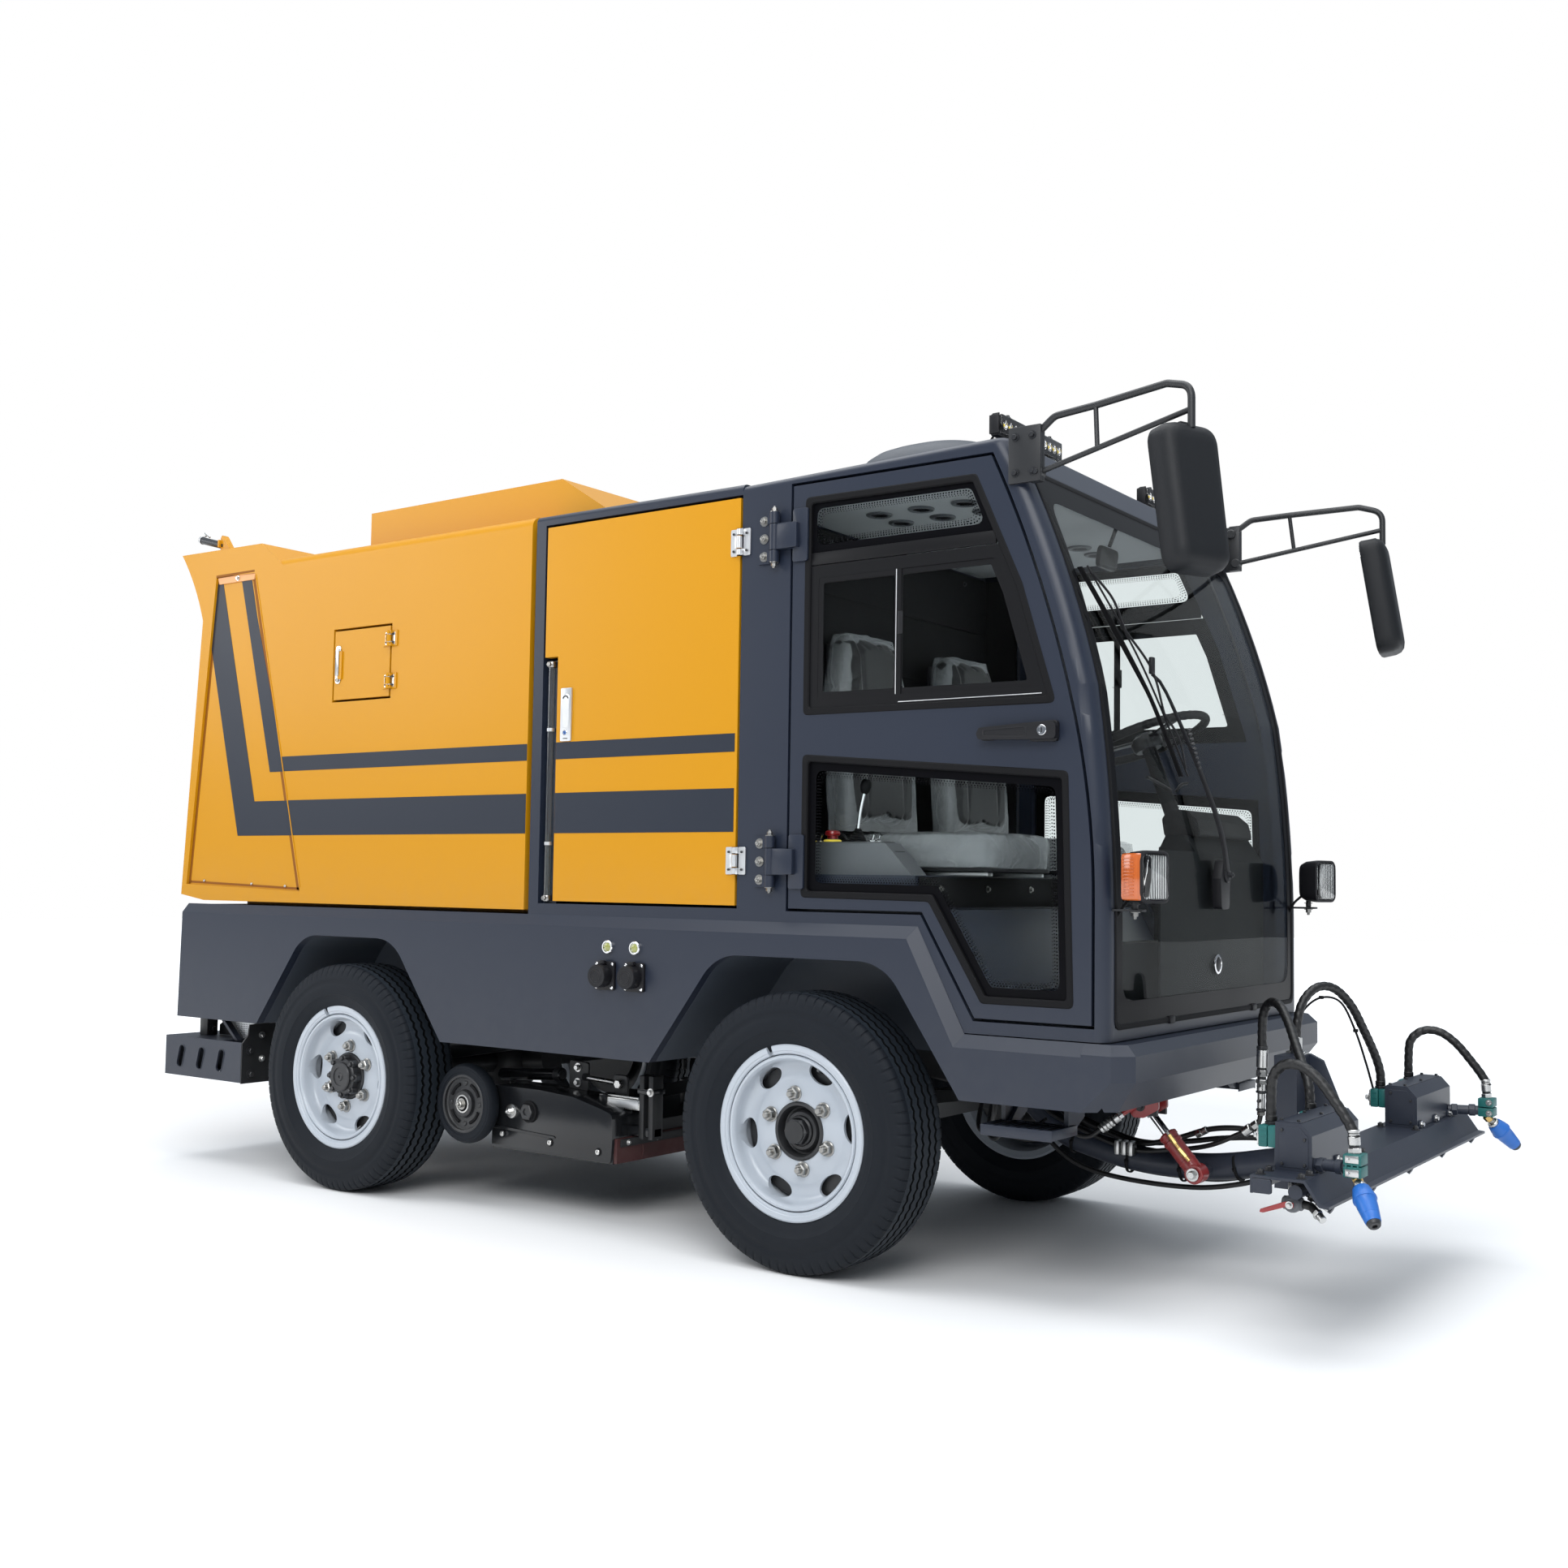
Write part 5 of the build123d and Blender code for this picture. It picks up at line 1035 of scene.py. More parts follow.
def buildDoorFittings(side):                  # paddle handle with its lock, hinge bolts
    handle = Piece(f"{side}DoorHandle")
    base = rounded([(690, 1399), (766, 1397), (767, 1450), (690, 1447)], 9, 4)
    handle.plate(base, sideY - 0.2, sideY - 14, "blackPlastic", bevel=3, steps=3)
    foot = rect(552, 1406, 590, 1440, 8, 4)
    handle.plate(foot, sideY - 0.2, sideY - 12, "blackPlastic", bevel=3, steps=2)
    paddle = rounded([(547, 1424), (553, 1408), (700, 1403), (765, 1403), (769, 1412),
                      (769, 1436), (762, 1446), (690, 1445), (556, 1438)], 9, 4)
    handle.plate(paddle, sideY - 12.5, sideY - 28, "blackPlastic", bevel=5, steps=4)
    handle.band(rounded([(566, 1415), (690, 1409), (690, 1438), (566, 1433)], 6, 3),
                rounded([(570, 1418), (686, 1413), (686, 1434), (570, 1430)], 5, 3),
                sideY - 28.1, sideY - 29.0, "blackPlastic")
    lock = axes((732, sideY - 27.5, 1425), toRight)
    handle.lathe([(0, 0), (13, 0), (13, 2.4), (11.8, 3.4), (9, 3.4), (8.4, 2.2), (0, 2.2)],
                 "chrome", lock, 32)
    handle.box((731, sideY - 31.2, 1419), (733, sideY - 29.5, 1431), "hubBlack")
    handle.done(f"{side}_cab_door_body", "black_plastic")
    fixed, moving = Piece(f"{side}DoorHingeBolts"), Piece(f"{side}DoorHingePlates")
    for z in (1098, 1998):
        for rise in (-50, 0, 50):
            fixed.bolt((-141, sideY - 8, z + rise), toRight, 15, "nickel", stud=3)
        for end in (-1, 1):
            fixed.bolt((-100, sideY - 18, z + end * 70), (0, 0, end), 14, "nickel", stud=5)
        outline = rect(-44, z - 74, 6, z + 74, 7, 4)
        moving.plate(outline, sideY - 0.2, sideY - 9.5, "slatePaint", bevel=2, steps=2)
        cover = rect(-90, z - 35, -20, z + 35, 4, 3)
        moving.plate(cover, sideY - 8, sideY - 26, "slatePaint", bevel=2, steps=2)
    fixed.done("chassis", "silver_steel")
    moving.done(f"{side}_cab_door_body", "dark_paint")


def arcThrough(a, b, c):                      # centre and radius of a circle in x and z
    ax, az, bx, bz, cx, cz = *a, *b, *c
    d = 2 * (ax * (bz - cz) + bx * (cz - az) + cx * (az - bz))
    squares = [p * p + q * q for p, q in (a, b, c)]
    ux = (squares[0] * (bz - cz) + squares[1] * (cz - az) + squares[2] * (az - bz)) / d
    uz = (squares[0] * (cx - bx) + squares[1] * (ax - cx) + squares[2] * (bx - ax)) / d
    return ux, uz, math.hypot(ax - ux, az - uz)


lowerArc = arcThrough((893, 900), (880, 1250), (848, 1540))
upperArc = arcThrough((848, 1540), (766, 1825), (650, 2110))


def screenX(z):                               # outer face of the windscreen at a height
    if z <= 900:
        return 893
    cx, cz, radius = lowerArc if z < 1540 else upperArc
    return cx + math.sqrt(radius ** 2 - (z - cz) ** 2)


screenFacts = {"half": 639, "low": 701, "high": 2099, "side": 40, "foot": 62, "head": 74}


def buildScreenBorder():                      # black printed border and its rubber seal
    f = screenFacts
    piece = Piece("windscreenBorder")
    steps = 6

    def dense(loop):
        thick = []
        for k, (a, b) in enumerate(zip(loop, loop[1:] + loop[:1])):
            parts = 18 if (k + 1) % (steps + 1) == 0 else 1
            thick += [(a[0] + (b[0] - a[0]) * n / parts, a[1] + (b[1] - a[1]) * n / parts)
                      for n in range(parts)]
        return thick

    def onScreen(loop, lift):
        return [(screenX(z) + lift, y, z) for y, z in loop]

    corners = rect(-f["half"], f["low"], f["half"], f["high"])
    inner = rect(-f["half"] + f["side"], f["low"] + f["foot"], f["half"] - f["side"],
                 f["high"] - f["head"])
    outline = dense(rounded(corners, 30, steps))
    opening = dense(rounded(inner, 55, steps))
    piece.skin([onScreen(outline, 0.6), onScreen(opening, 0.6)], "fritBlack")
    rings = []
    for out, lift in ((6, -2), (5, 2.4), (0, 3.6), (-7, 2.6), (-9, 0.5)):
        rings.append(onScreen(dense(rounded(inset(corners, -out), 30, steps)), lift))
    piece.skin(rings, "sealRubber")
    for y in (-300, 300):                     # small clips under the glass
        piece.box((892, y - 16, 693), (900, y + 16, 712), "blackPlastic", bevel=2)
    badge = axes((893.4, 26, 834), toFront)
    piece.lathe([(0, 0), (27, 0), (27, 2.4), (24.5, 3.6), (21, 3.6), (20, 2.0), (0, 2.0)],
                "chrome", badge, 40)
    piece.lathe([(0, 2.0), (20, 2.0), (17, 3.2), (0, 4.2)], "blackPlastic", badge, 40)
    piece.done("chassis", "black_plastic")


wiperFacts = {"path": [(924, -22, 1187), (909, -113, 1330), (878, -293, 1551),
                       (862, -352, 1596)],
              "blade": [(896, -202, 1337), (872, -330, 1512), (846, -451, 1660),
                        (784, -583, 1848)]}


def buildWiper():                             # motor cover, sprung arm and jointed blade
    f = wiperFacts
    piece = Piece("wiperArmBlade")
    piece.rod((890, 22, 1076), (928, 22, 1079), 21, "blackPlastic", chamfer=4)
    cover = rounded([(-14, 985), (44, 985), (50, 1060), (36, 1118), (2, 1122), (-20, 1070)], 14, 5)
    piece.plate(cover, 896, 921, "blackPlastic", bevel=5, plane="yz", steps=3)
    piece.bolt((928, 22, 1079), toFront, 13, "hubBlack", stud=4)
    arm = smoothPath([(924, 18, 1090)] + f["path"], 30)
    rings = []
    for k, p in enumerate(arm):
        t = k / (len(arm) - 1)
        wide, deep = 11 - 7.0 * t, 6 - 3.2 * t
        ahead = (arm[min(k + 1, len(arm) - 1)] - arm[max(k - 1, 0)]).normalized()
        across = ahead.cross(Vector((1, 0, 0))).normalized()
        out = across.cross(ahead)
        rings.append([p + across * a * wide + out * b * deep for a, b in (
            (-1, -0.6), (-0.8, 0.8), (-0.3, 1), (0.3, 1), (0.8, 0.8), (1, -0.6))])
    piece.skin(rings, "blackPlastic", caps=True)
    for k in range(9):                        # spring inside the arm's hollow
        a = Vector((908, -140 - 9 * k, 1362 + 12 * k))
        piece.rod(a, a + Vector((0, -3.4, 4.5)), 5.5, "hubBlack", sides=10)
    blade = smoothPath(f["blade"], 24)
    lifted = [p + Vector((4, 0, 1)) for p in blade]
    piece.tube(lifted, 2.6, "blackPlastic", sides=8)
    edge = [Vector((screenX(p.z) + 2.0, p.y, p.z)) for p in blade]
    rings = []
    for p, q in zip(edge, lifted):
        q = p + (q - p) * 0.45
        rings.append([p + Vector((0, -1, 0)), q + Vector((0, -2, 0)), q + Vector((2, 0, 0)),
                      q + Vector((0, 2, 0)), p + Vector((0, 1, 0))])
    piece.skin(rings, "softBlack", caps=True)
    count = len(lifted)
    for span in ((0.04, 0.30), (0.30, 0.70), (0.70, 0.96)):    # bridges over the rubber
        ends = [lifted[round(t * (count - 1))] for t in span]
        crown = (ends[0] + ends[1]) / 2 + Vector((22 if span[0] == 0.30 else 14, 0, 6))
        piece.tube(smoothPath([ends[0] + Vector((3, 0, 0)), crown, ends[1] + Vector((3, 0, 0))],
                              12), 3.2, "blackPlastic", sides=8)
    hub = lifted[round(0.5 * (count - 1))] + Vector((24, 0, 6))
    piece.box(hub - Vector((7, 9, 22)), hub + Vector((5, 9, 22)), "blackPlastic", bevel=3)
    piece.done("chassis", "black_plastic", replaces=["wiper"])


lampFacts = {"centre": (966, -641, 1067), "half": (36, 55, 63), "round": 26,
             "turn": {"right": -16, "left": 14}}


def buildHeadlamps(side):                     # square work lamp with an amber outer lens
    f = lampFacts
    cx, cy, cz = f["centre"]
    hx, hy, hz = f["half"]
    piece = Piece(f"{side}Headlamp")
    face = lambda grow: rect(cy - hy - grow, cz - hz - grow, cy + hy + grow, cz + hz + grow,
                             f["round"], 6)
    rings = [[(cx + x, y, z) for y, z in face(grow)] for x, grow in (
        (-hx, -22), (-hx + 8, -10), (-hx + 26, -3), (hx - 14, 0), (hx - 2, 0), (hx, -2),
        (hx, -6), (hx - 8, -8))]
    piece.skin(rings, "blackPlastic", caps=True)
    for rise in (-28, -14, 0, 14, 28):        # cooling ribs behind
        piece.box((cx - hx - 3, cy - 26, cz + rise - 2), (cx - hx + 18, cy + 26, cz + rise + 2),
                  "blackPlastic", bevel=1.2)
    for rise in (-29, 29):                    # two reflector bowls behind the clear lens
        where = axes((cx - 6, cy + 2, cz + rise), toFront)
        piece.lathe([(0, 8), (7, 9), (16, 15), (24, 26), (26, 34)], "chrome", where, 28)
        piece.lathe([(0, 10), (6, 11), (6, 20), (3, 25), (0, 26)], "whiteLens", where, 16)
    piece.plate(rect(cy - 42, cz - 56, cy + 46, cz + 56, 13, 5), cx + hx - 12, cx + hx - 11,
                "chrome", plane="yz")
    clear = rect(cy - 44, cz - 54, cy + 48, cz + 54, 13, 5)
    piece.plate(clear, cx + hx - 5, cx + hx + 1.5, "lampGlass", bevel=2, plane="yz", steps=2)
    for k in range(11):                       # prisms pressed into the lens
        piece.box((cx + hx - 8, cy - 40 + 8 * k, cz - 50),
                  (cx + hx - 6, cy - 38.6 + 8 * k, cz + 50), "whiteLens")
    for k in range(12):
        piece.box((cx + hx - 9.5, cy - 41, cz - 50 + 9 * k),
                  (cx + hx - 8.3, cy + 45, cz - 48.8 + 9 * k), "whiteLens")
    band = [(hx - 7, -50), (hx - 1, -53), (hx - 5, -60), (hx - 14, -63.5), (4, -64), (-18, -60),
            (-22, -55), (-22, -48)]
    rings = []
    for rise, shrink in ((-56, 7), (-53, 2), (-47, 0), (47, 0), (53, 2), (56, 7)):
        rings.append([(cx + x * (1 - shrink * 0.012), cy + y + shrink * 0.9, cz + rise)
                      for x, y in band])
    piece.skin(rings, "amberLens", caps=True)
    for k in range(12):
        z = cz - 45 + 8 * k
        piece.box((cx - 10, cy - 65.4, z), (cx + hx - 13, cy - 63, z + 2.4), "amberLens", bevel=0.6)
    low = cz - hz
    bmesh.ops.rotate(piece.mesh, verts=piece.mesh.verts, cent=at(cx, cy, cz),
                     matrix=Matrix.Rotation(math.radians(f["turn"][side]), 3, "Z"))
    piece.bolt((cx - 22, cy, low - 2), toGround, 13, "hubBlack", stud=8)
    piece.rod((cx - 22, cy, low + 4), (cx - 22, cy, low - 22), 7.5, "hubBlack")
    plate = rect(868, cy - 18, cx + 2, cy + 18, 9, 4)
    piece.plate(plate, 983.5, 989, "blackSteel", bevel=1, plane="xy")
    piece.bolt((cx - 22, cy, 983), toGround, 13, "nickel", stud=7)
    cable = smoothPath([(cx - 34, cy + 20, low + 20), (cx - 60, cy + 24, low - 6),
                        (cx - 78, cy + 10, low - 40), (884, cy + 4, 950)], 8)
    piece.tube(cable, 3.6, "softBlack", sides=8)
    piece.done("chassis", "lamp_lens", replaces=["headlamps"])


mirrorFacts = {"centre": (1137, -766, 1940), "half": (37, 84, 178), "round": 46,
               "yaw": {"right": -25, "left": -10}, "lean": 9}


def buildMirror(side):                        # bracket, tube arms and a rounded housing
    f = mirrorFacts
    piece = Piece(f"{side}Mirror")
    my = f["centre"][1]
    piece.box((626, sideY - 12, 2052), (716, sideY - 0.2, 2196), "blackSteel", bevel=2)
    piece.box((682, sideY - 1, 2052), (716, sideY + 14, 2196), "blackSteel", bevel=2)
    for z in (2078, 2170):
        for x in (646, 694):
            piece.bolt((x, sideY - 12, z), toRight, 11, "hubBlack")
    piece.tube(arcPath([(690, my + 84, 2170), (750, my + 75, 2211), (868, my + 60, 2216),
                        (1070, my + 16, 2225), (1137, my, 2205), (1137, my, 2105)], 40), 9,
               "blackSteel")
    piece.tube(arcPath([(690, my + 84, 2170), (706, my + 80, 2076), (1137, my, 2150)], 12), 7,
               "blackSteel")
    piece.rod((868, my + 60, 2216), (878, my + 48, 2108), 6, "blackSteel")
    for x, y, z in ((690, my + 84, 2170), (704, my + 80, 2075)):
        piece.rod((x, y + 14, z), (x, y - 14, z), 15, "blackSteel", chamfer=3)
        piece.bolt((x, y - 14, z), toRight, 11, "hubBlack")
    turn = (Matrix.Rotation(math.radians(f["yaw"][side]), 4, "Z")
            @ Matrix.Rotation(math.radians(-f["lean"]), 4, "Y"))
    where = Matrix.Translation(at(*f["centre"])) @ turn @ Matrix.Scale(0.001, 4)
    hx, hy, hz = f["half"]

    def loop(grow, taper=0.0):
        outline = rect(-hy + grow, -hz + grow, hy - grow, hz - grow, f["round"] - grow * 0.5, 8)
        return [(y * (1 + taper * z / hz), z) for y, z in outline]

    shell = [(-hx, 10), (-hx + 1, 3), (-hx + 7, 0), (6, 1), (22, 6), (32, 16), (hx - 0.5, 30),
             (hx, 50)]
    piece.skin([[(x, y, z) for y, z in loop(grow, 0.03)] for x, grow in shell], "mirrorShell",
               where, caps=True)
    piece.skin([[(-hx - 0.2, y, z) for y, z in loop(10, 0.03)],
                [(-hx - 1.6, y, z) for y, z in loop(12, 0.03)]], "softBlack", where)
    piece.plate(loop(11, 0.03), -hx - 0.6, -hx - 1.1, "mirrorGlass", plane="yz", where=where)
    piece.box((-14, -22, hz - 24), (14, 22, hz + 6), "blackPlastic", bevel=6, steps=3, where=where)
    piece.box((-16, -24, -22), (16, 24, 22), "blackPlastic", bevel=4,
              where=where @ Matrix.Translation((hx - 18, 0, hz * 0.42)) @ Matrix.Scale(0.4, 4))
    piece.done("chassis", "black_plastic", replaces=["mirrors"])


def buildLightBars(side):                     # clear light bar on two feet
    piece = Piece(f"{side}LightBar")
    low, high = 2204, 2262
    piece.box((540, -640, low), (562, -290, high), "blackPlastic", bevel=4, steps=2)
    piece.box((556, -638, low + 3), (574, -292, high - 3), "lampGlass", bevel=4, steps=3)
    for k in range(12):
        y = -618 + 28 * k
        cup = axes((561, y, (low + high) / 2), toFront)
        piece.lathe([(3, 1), (6, 1.5), (11.5, 6), (12.5, 9.5)], "chrome", cup, 18)
        piece.lathe([(0, 1.5), (3.5, 1.5), (3, 4), (0, 5)], "ledYellow", cup, 12)
    for k in range(17):
        y = -632 + 20.4 * k
        piece.box((541, y, high - 1), (561, y + 4, high + 3.5), "blackPlastic", bevel=0.8)
    for y in (-580, -340):
        piece.box((545, y - 15, 2178), (571, y + 15, low + 4), "blackSteel", bevel=2)
        piece.bolt((571, y, 2196), toFront, 9, "nickel")
        piece.bolt((558, y, high), toTop, 9, "hubBlack")
    for y in (-644, -292):
        piece.box((538, y, low + 4), (566, y + 6, high - 4), "blackPlastic", bevel=2)
    piece.tube(smoothPath([(541, -600, 2226), (524, -596, 2214), (505, -590, 2196),
                           (480, -584, 2189)], 6), 3.2, "softBlack", sides=8)
    piece.done("chassis", "lamp_lens", replaces=["roof_lights"])


roofFacts = {"front": 345, "rear": -222, "half": 328, "base": 2170, "top": 2362}


def roofHeight(x):                            # the cab roof's slope
    return 2164 + (x + 225) * 22 / 831


def buildRoofUnit():                          # low moulded dome with slotted sides
    f = roofFacts
    piece = Piece("roofUnitShell")
    middle, reach = (f["front"] + f["rear"]) / 2, (f["front"] - f["rear"]) / 2
    count = 72

    def loop(grow, z, power=3.4, slope=1.0):
        ring = []
        for k in range(count):
            c, s = polar(1, 2 * math.pi * k / count)
            scale = (abs(c) ** power + abs(s) ** power) ** (-1 / power)
            x = middle + (reach - grow) * scale * c
            y = (f["half"] - grow) * scale * s
            ring.append((x, y, z + slope * (roofHeight(x) - f["base"])))
        return ring

    rise = f["top"] - f["base"]
    rings = [loop(6, 2168), loop(0, 2171), loop(0, 2182), loop(5, 2190), loop(10, 2193)]
    for grow, share in ((15, 0.25), (22, 0.45), (34, 0.64), (52, 0.79), (76, 0.89), (104, 0.95),
                        (150, 0.985), (220, 1.0)):
        rings.append(loop(grow, 2166 + rise * share, 3.6 - share, 0.4))
    piece.skin(rings, "roofPlastic", caps=True)
    for side in (-1, 1):                      # vents low in both flanks, drawn as black blocks: painted shade in the slots
        for k in range(9):
            x = -30 + 21 * k
            lift = roofHeight(x) - f["base"]
            piece.box((x - 6.5, side * 306, 2200 + lift), (x + 6.5, side * 322, 2226 + lift),
                      "softBlack", bevel=4, steps=2)
        piece.tube(smoothPath([(-170, side * 300, 2214), (-40, side * 268, 2288),
                               (120, side * 262, 2300), (290, side * 280, 2262)], 20), 3.4,
                   "roofPlastic", sides=8)
        for x in (-150, 62, 280):
            piece.bolt((x, side * 322, 20 + roofHeight(x)), (0, side, 0), 9, "hubBlack")
    ridge = []
    for g, h in ((-3, -4), (0, 2), (4, 5)):
        outline = rect(-90 + g, -70 + g, 210 - g, 70 - g, 30, 5)
        ridge.append([(x, y, f["top"] - 9 + 0.4 * (roofHeight(x) - f["base"]) + h)
                      for x, y in outline])
    piece.skin(ridge, "roofPlastic", caps=True)
    piece.done("chassis", "black_plastic", replaces=["roof_air_unit"])


for side in ("right", "left"):
    buildWindows(side)
    buildDoorFittings(side)
    buildHeadlamps(side)
    buildMirror(side)
    buildLightBars(side)
buildScreenBorder()
buildWiper()
buildRoofUnit()
print("cab outside built")


seatFacts = {"centre": 290, "voxel": 0.006, "pressure": 4.0, "frames": 20, "cap": 0.022,
             "fill": 0.7}


def limitMoves(before, mesh, cap):            # no point swells further than the cap
    tree = KDTree(len(before))
    for k, co in enumerate(before):
        tree.insert(co, k)
    tree.balance()
    for v in mesh.vertices:
        near, _, distance = tree.find(v.co)
        if distance > cap:
            v.co = near + (v.co - near) * (cap / distance)


def puff(obj, facts):                         # blows the pad up as cloth, then keeps the shape
    change = obj.modifiers.new("remesh", "REMESH")
    change.mode, change.voxel_size = "VOXEL", facts["voxel"]
    graph = bpy.context.evaluated_depsgraph_get()
    obj.data = bpy.data.meshes.new_from_object(obj.evaluated_get(graph))
    obj.modifiers.clear()
    start = [v.co.copy() for v in obj.data.vertices]
    scene = bpy.context.scene
    cloth = obj.modifiers.new("cloth", "CLOTH")
    cloth.settings.use_pressure = True
    cloth.settings.uniform_pressure_force = facts["pressure"]
    cloth.settings.effector_weights.gravity = 0
    cloth.point_cache.frame_start, cloth.point_cache.frame_end = 1, facts["frames"]
    for step in range(1, facts["frames"] + 1):
        scene.frame_set(step)
    graph = bpy.context.evaluated_depsgraph_get()
    swollen = bpy.data.meshes.new_from_object(obj.evaluated_get(graph))
    obj.modifiers.clear()
    obj.data = swollen
    scene.frame_set(1)
    limitMoves(start, obj.data, facts["cap"])


def padShape(name, rings):                    # a closed form through rounded rings
    form = skinForm(rings, caps=True)
    bmesh.ops.recalc_face_normals(form, faces=form.faces)
    data = bpy.data.meshes.new(name)
    form.to_mesh(data)
    form.free()
    return addObject(name, data)


def sew(obj, lines, depth, reach):            # presses sewn channels into the pad
    for v in obj.data.vertices:
        x, y, z = millimetres(v.co)
        push = Vector((0, 0, 0))
        for kind, value, low, high, way in lines:
            here = {"x": x, "y": y, "z": z}[kind]
            along = {"x": y, "y": x, "z": y}[kind]
            if low < along < high:
                push += Vector(way) * math.exp(-((here - value) / reach) ** 2)
        v.co += push * depth / 1000


def keepInside(obj, low, high):               # stays in the room its solid holds
    a, b = at(*low), at(*high)
    for v in obj.data.vertices:
        v.co = Vector(min(max(c, l), h) for c, l, h in zip(v.co, a, b))


def finishPad(obj):
    obj.data.materials.clear()
    obj.data.materials.append(finishes["seatFabric"])
    obj.data.polygons.foreach_set("use_smooth", [True] * len(obj.data.polygons))
    smooth = obj.modifiers.new("smooth", "SUBSURF")
    smooth.levels = smooth.render_levels = 1
    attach(obj, "chassis")


def buildSeats():
    f = seatFacts
    y = -f["centre"]
    cushionRings = []
    for z, grow in ((1088, 26), (1094, 14), (1110, 8), (1140, 8), (1158, 12), (1166, 26)):
        loop = rounded([(28 + grow, y - 196 + grow), (462 - grow, y - 190 + grow),
                        (462 - grow, y + 190 - grow), (28 + grow, y + 196 - grow)], 60, 6)
        cushionRings.append([(a, b, z) for a, b in loop])
    backRings = []
    for z, half in ((1196, 168), (1230, 184), (1340, 190), (1480, 186), (1600, 176),
                    (1690, 160), (1750, 140), (1776, 116)):
        front = 2 - 44 * (z - 1240) / 550 if z > 1240 else 2
        rear = front - 62
        squeeze = 10 if z in (1196, 1776) else 0
        loop = rect(rear + squeeze, y - half, front - squeeze, y + half, 26, 5)
        backRings.append([(a, b, z) for a, b in loop])
    pads = []
    for name, rings, lines, low, high in (
            ("Cushion", cushionRings,
             [("y", y - 100, 60, 440, (0, 0, -1)), ("y", y + 100, 60, 440, (0, 0, -1)),
              ("x", 330, y - 100, y + 100, (0, 0, -1)), ("x", 180, y - 100, y + 100, (0, 0, -1))],
             (20, y - 205, 1082), (470, y + 205, 1186)),
            ("Backrest", backRings,
             [("y", y - 96, -200, 60, (-1, 0, 0)), ("y", y + 96, -200, 60, (-1, 0, 0)),
              ("z", 1400, y - 96, y + 96, (-1, 0, 0)), ("z", 1560, y - 96, y + 96, (-1, 0, 0))],
             (-112, y - 205, 1190), (16, y + 205, 1790))):
        pad = padShape(f"rightSeat{name}", rings)
        puff(pad, f)
        sew(pad, lines, 7, 7)
        keepInside(pad, low, high)
        twin = pad.copy()
        twin.data = pad.data.copy()
        twin.name = f"leftSeat{name}"
        for v in twin.data.vertices:
            v.co.y = -v.co.y
        twin.data.flip_normals()
        bpy.context.scene.collection.objects.link(twin)
        for obj in (pad, twin):
            finishPad(obj)
            pads.append(obj)
    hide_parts("seats")
    return pads


def buildSeatWrap(side):                      # clear dust wrap, creased all over, its pale colour partly painted sheen
    f = seatFacts
    y = -f["centre"]
    rng = random.Random(7 if side == "right" else 11)
    waves = [(rng.uniform(0.02, 0.10), rng.uniform(0, 6.3), rng.uniform(-1, 1), rng.uniform(-1, 1),
              rng.uniform(-1, 1), rng.uniform(0.6, 2.0)) for _ in range(14)]

    def crease(p):
        total = 0.0
        for rate, phase, a, b, c, high in waves:
            total += high * (1 - abs(math.sin(rate * (a * p[0] + b * p[1] + c * p[2]) + phase)) * 2)
        return total * 0.55

    piece = Piece(f"{side}SeatWrap")
    levels = ([(1084, 22)] + [(1090 + 8 * k, 8 - 4 * math.sin(k / 12 * math.pi)) for k in range(12)]
              + [(1184, 22), (1188, 60), (1190, 120)])
    cushion = [[(a, b, z) for a, b in rounded([
        (22 + g, y - 203 + g), (468 - g, y - 200 + g), (468 - g, y + 200 - g),
        (22 + g, y + 203 - g)], 62, 7)] for z, g in levels]
    leans = [(1192 + 24 * k, 200 - 0.7 * max(0, k - 12) ** 1.9, 2.1 * max(0, k - 2))
             for k in range(25)]
    backrest = [[(a, b, z) for a, b in rect(-70 - lean, y - half, 10 - lean, y + half, 26, 6)]
                for z, half, lean in leans]
    for rings in (cushion, backrest):
        dense = []
        for ring in rings:
            loop = []
            for p, q in zip(ring, ring[1:] + ring[:1]):
                parts = max(1, round((Vector(q) - Vector(p)).length / 14))
                loop += [tuple(Vector(p).lerp(Vector(q), n / parts)) for n in range(parts)]
            dense.append(loop)
        count = min(len(loop) for loop in dense)
        even = []
        for loop in dense:
            ring = []
            for k in range(count):
                spot = loop[round(k * len(loop) / count) % len(loop)]
                centre = Vector((sum(p[0] for p in loop) / len(loop),
                                 sum(p[1] for p in loop) / len(loop), spot[2]))
                outward = (Vector(spot) - centre).normalized()
                lift = 0.6 * crease((spot[1], spot[2], spot[0]))
                ring.append(Vector(spot) + outward * crease(spot) + Vector((0, 0, lift)))
            even.append(ring)
        piece.skin(even, "wrapFilm")
    piece.done("chassis", "clear_glass", smooth=50)


def buildSeatFrames():                        # pans, runners and recliners under the pads
    piece = Piece("seatFrames")
    for y in (-290, 290):
        pan = rect(30, y - 190, 455, y + 190, 30, 5)
        piece.plate(pan, 1076, 1090, "blackPlastic", bevel=3, plane="xy")
        for dy in (-150, 150):
            piece.box((40, y + dy - 14, 1065.5), (440, y + dy + 14, 1077), "satinSteel", bevel=1.5)
        shell = rounded([(-84, 1188), (-64, 1188), (-70, 1300), (-104, 1700), (-108, 1750),
                         (-112, 1700)], 4, 3)
        piece.plate(shell, y - 150, y + 150, "blackPlastic", bevel=1.5)
        for end in (-1, 1):
            disc = axes((-20, y + end * 196, 1150), (0, end, 0))
            piece.lathe([(0, 0), (34, 0), (36, 3), (36, 8), (32, 11), (0, 12)], "blackPlastic",
                        disc, 36)
            piece.bolt((-20, y + end * 207, 1150), (0, end, 0), 12, "hubBlack")
        lever = smoothPath([(-20, y - 212, 1152), (30, y - 214, 1160), (90, y - 214, 1150)], 12)
        piece.tube(lever, 6, "blackPlastic", sides=10)
    piece.done("chassis", "black_plastic")


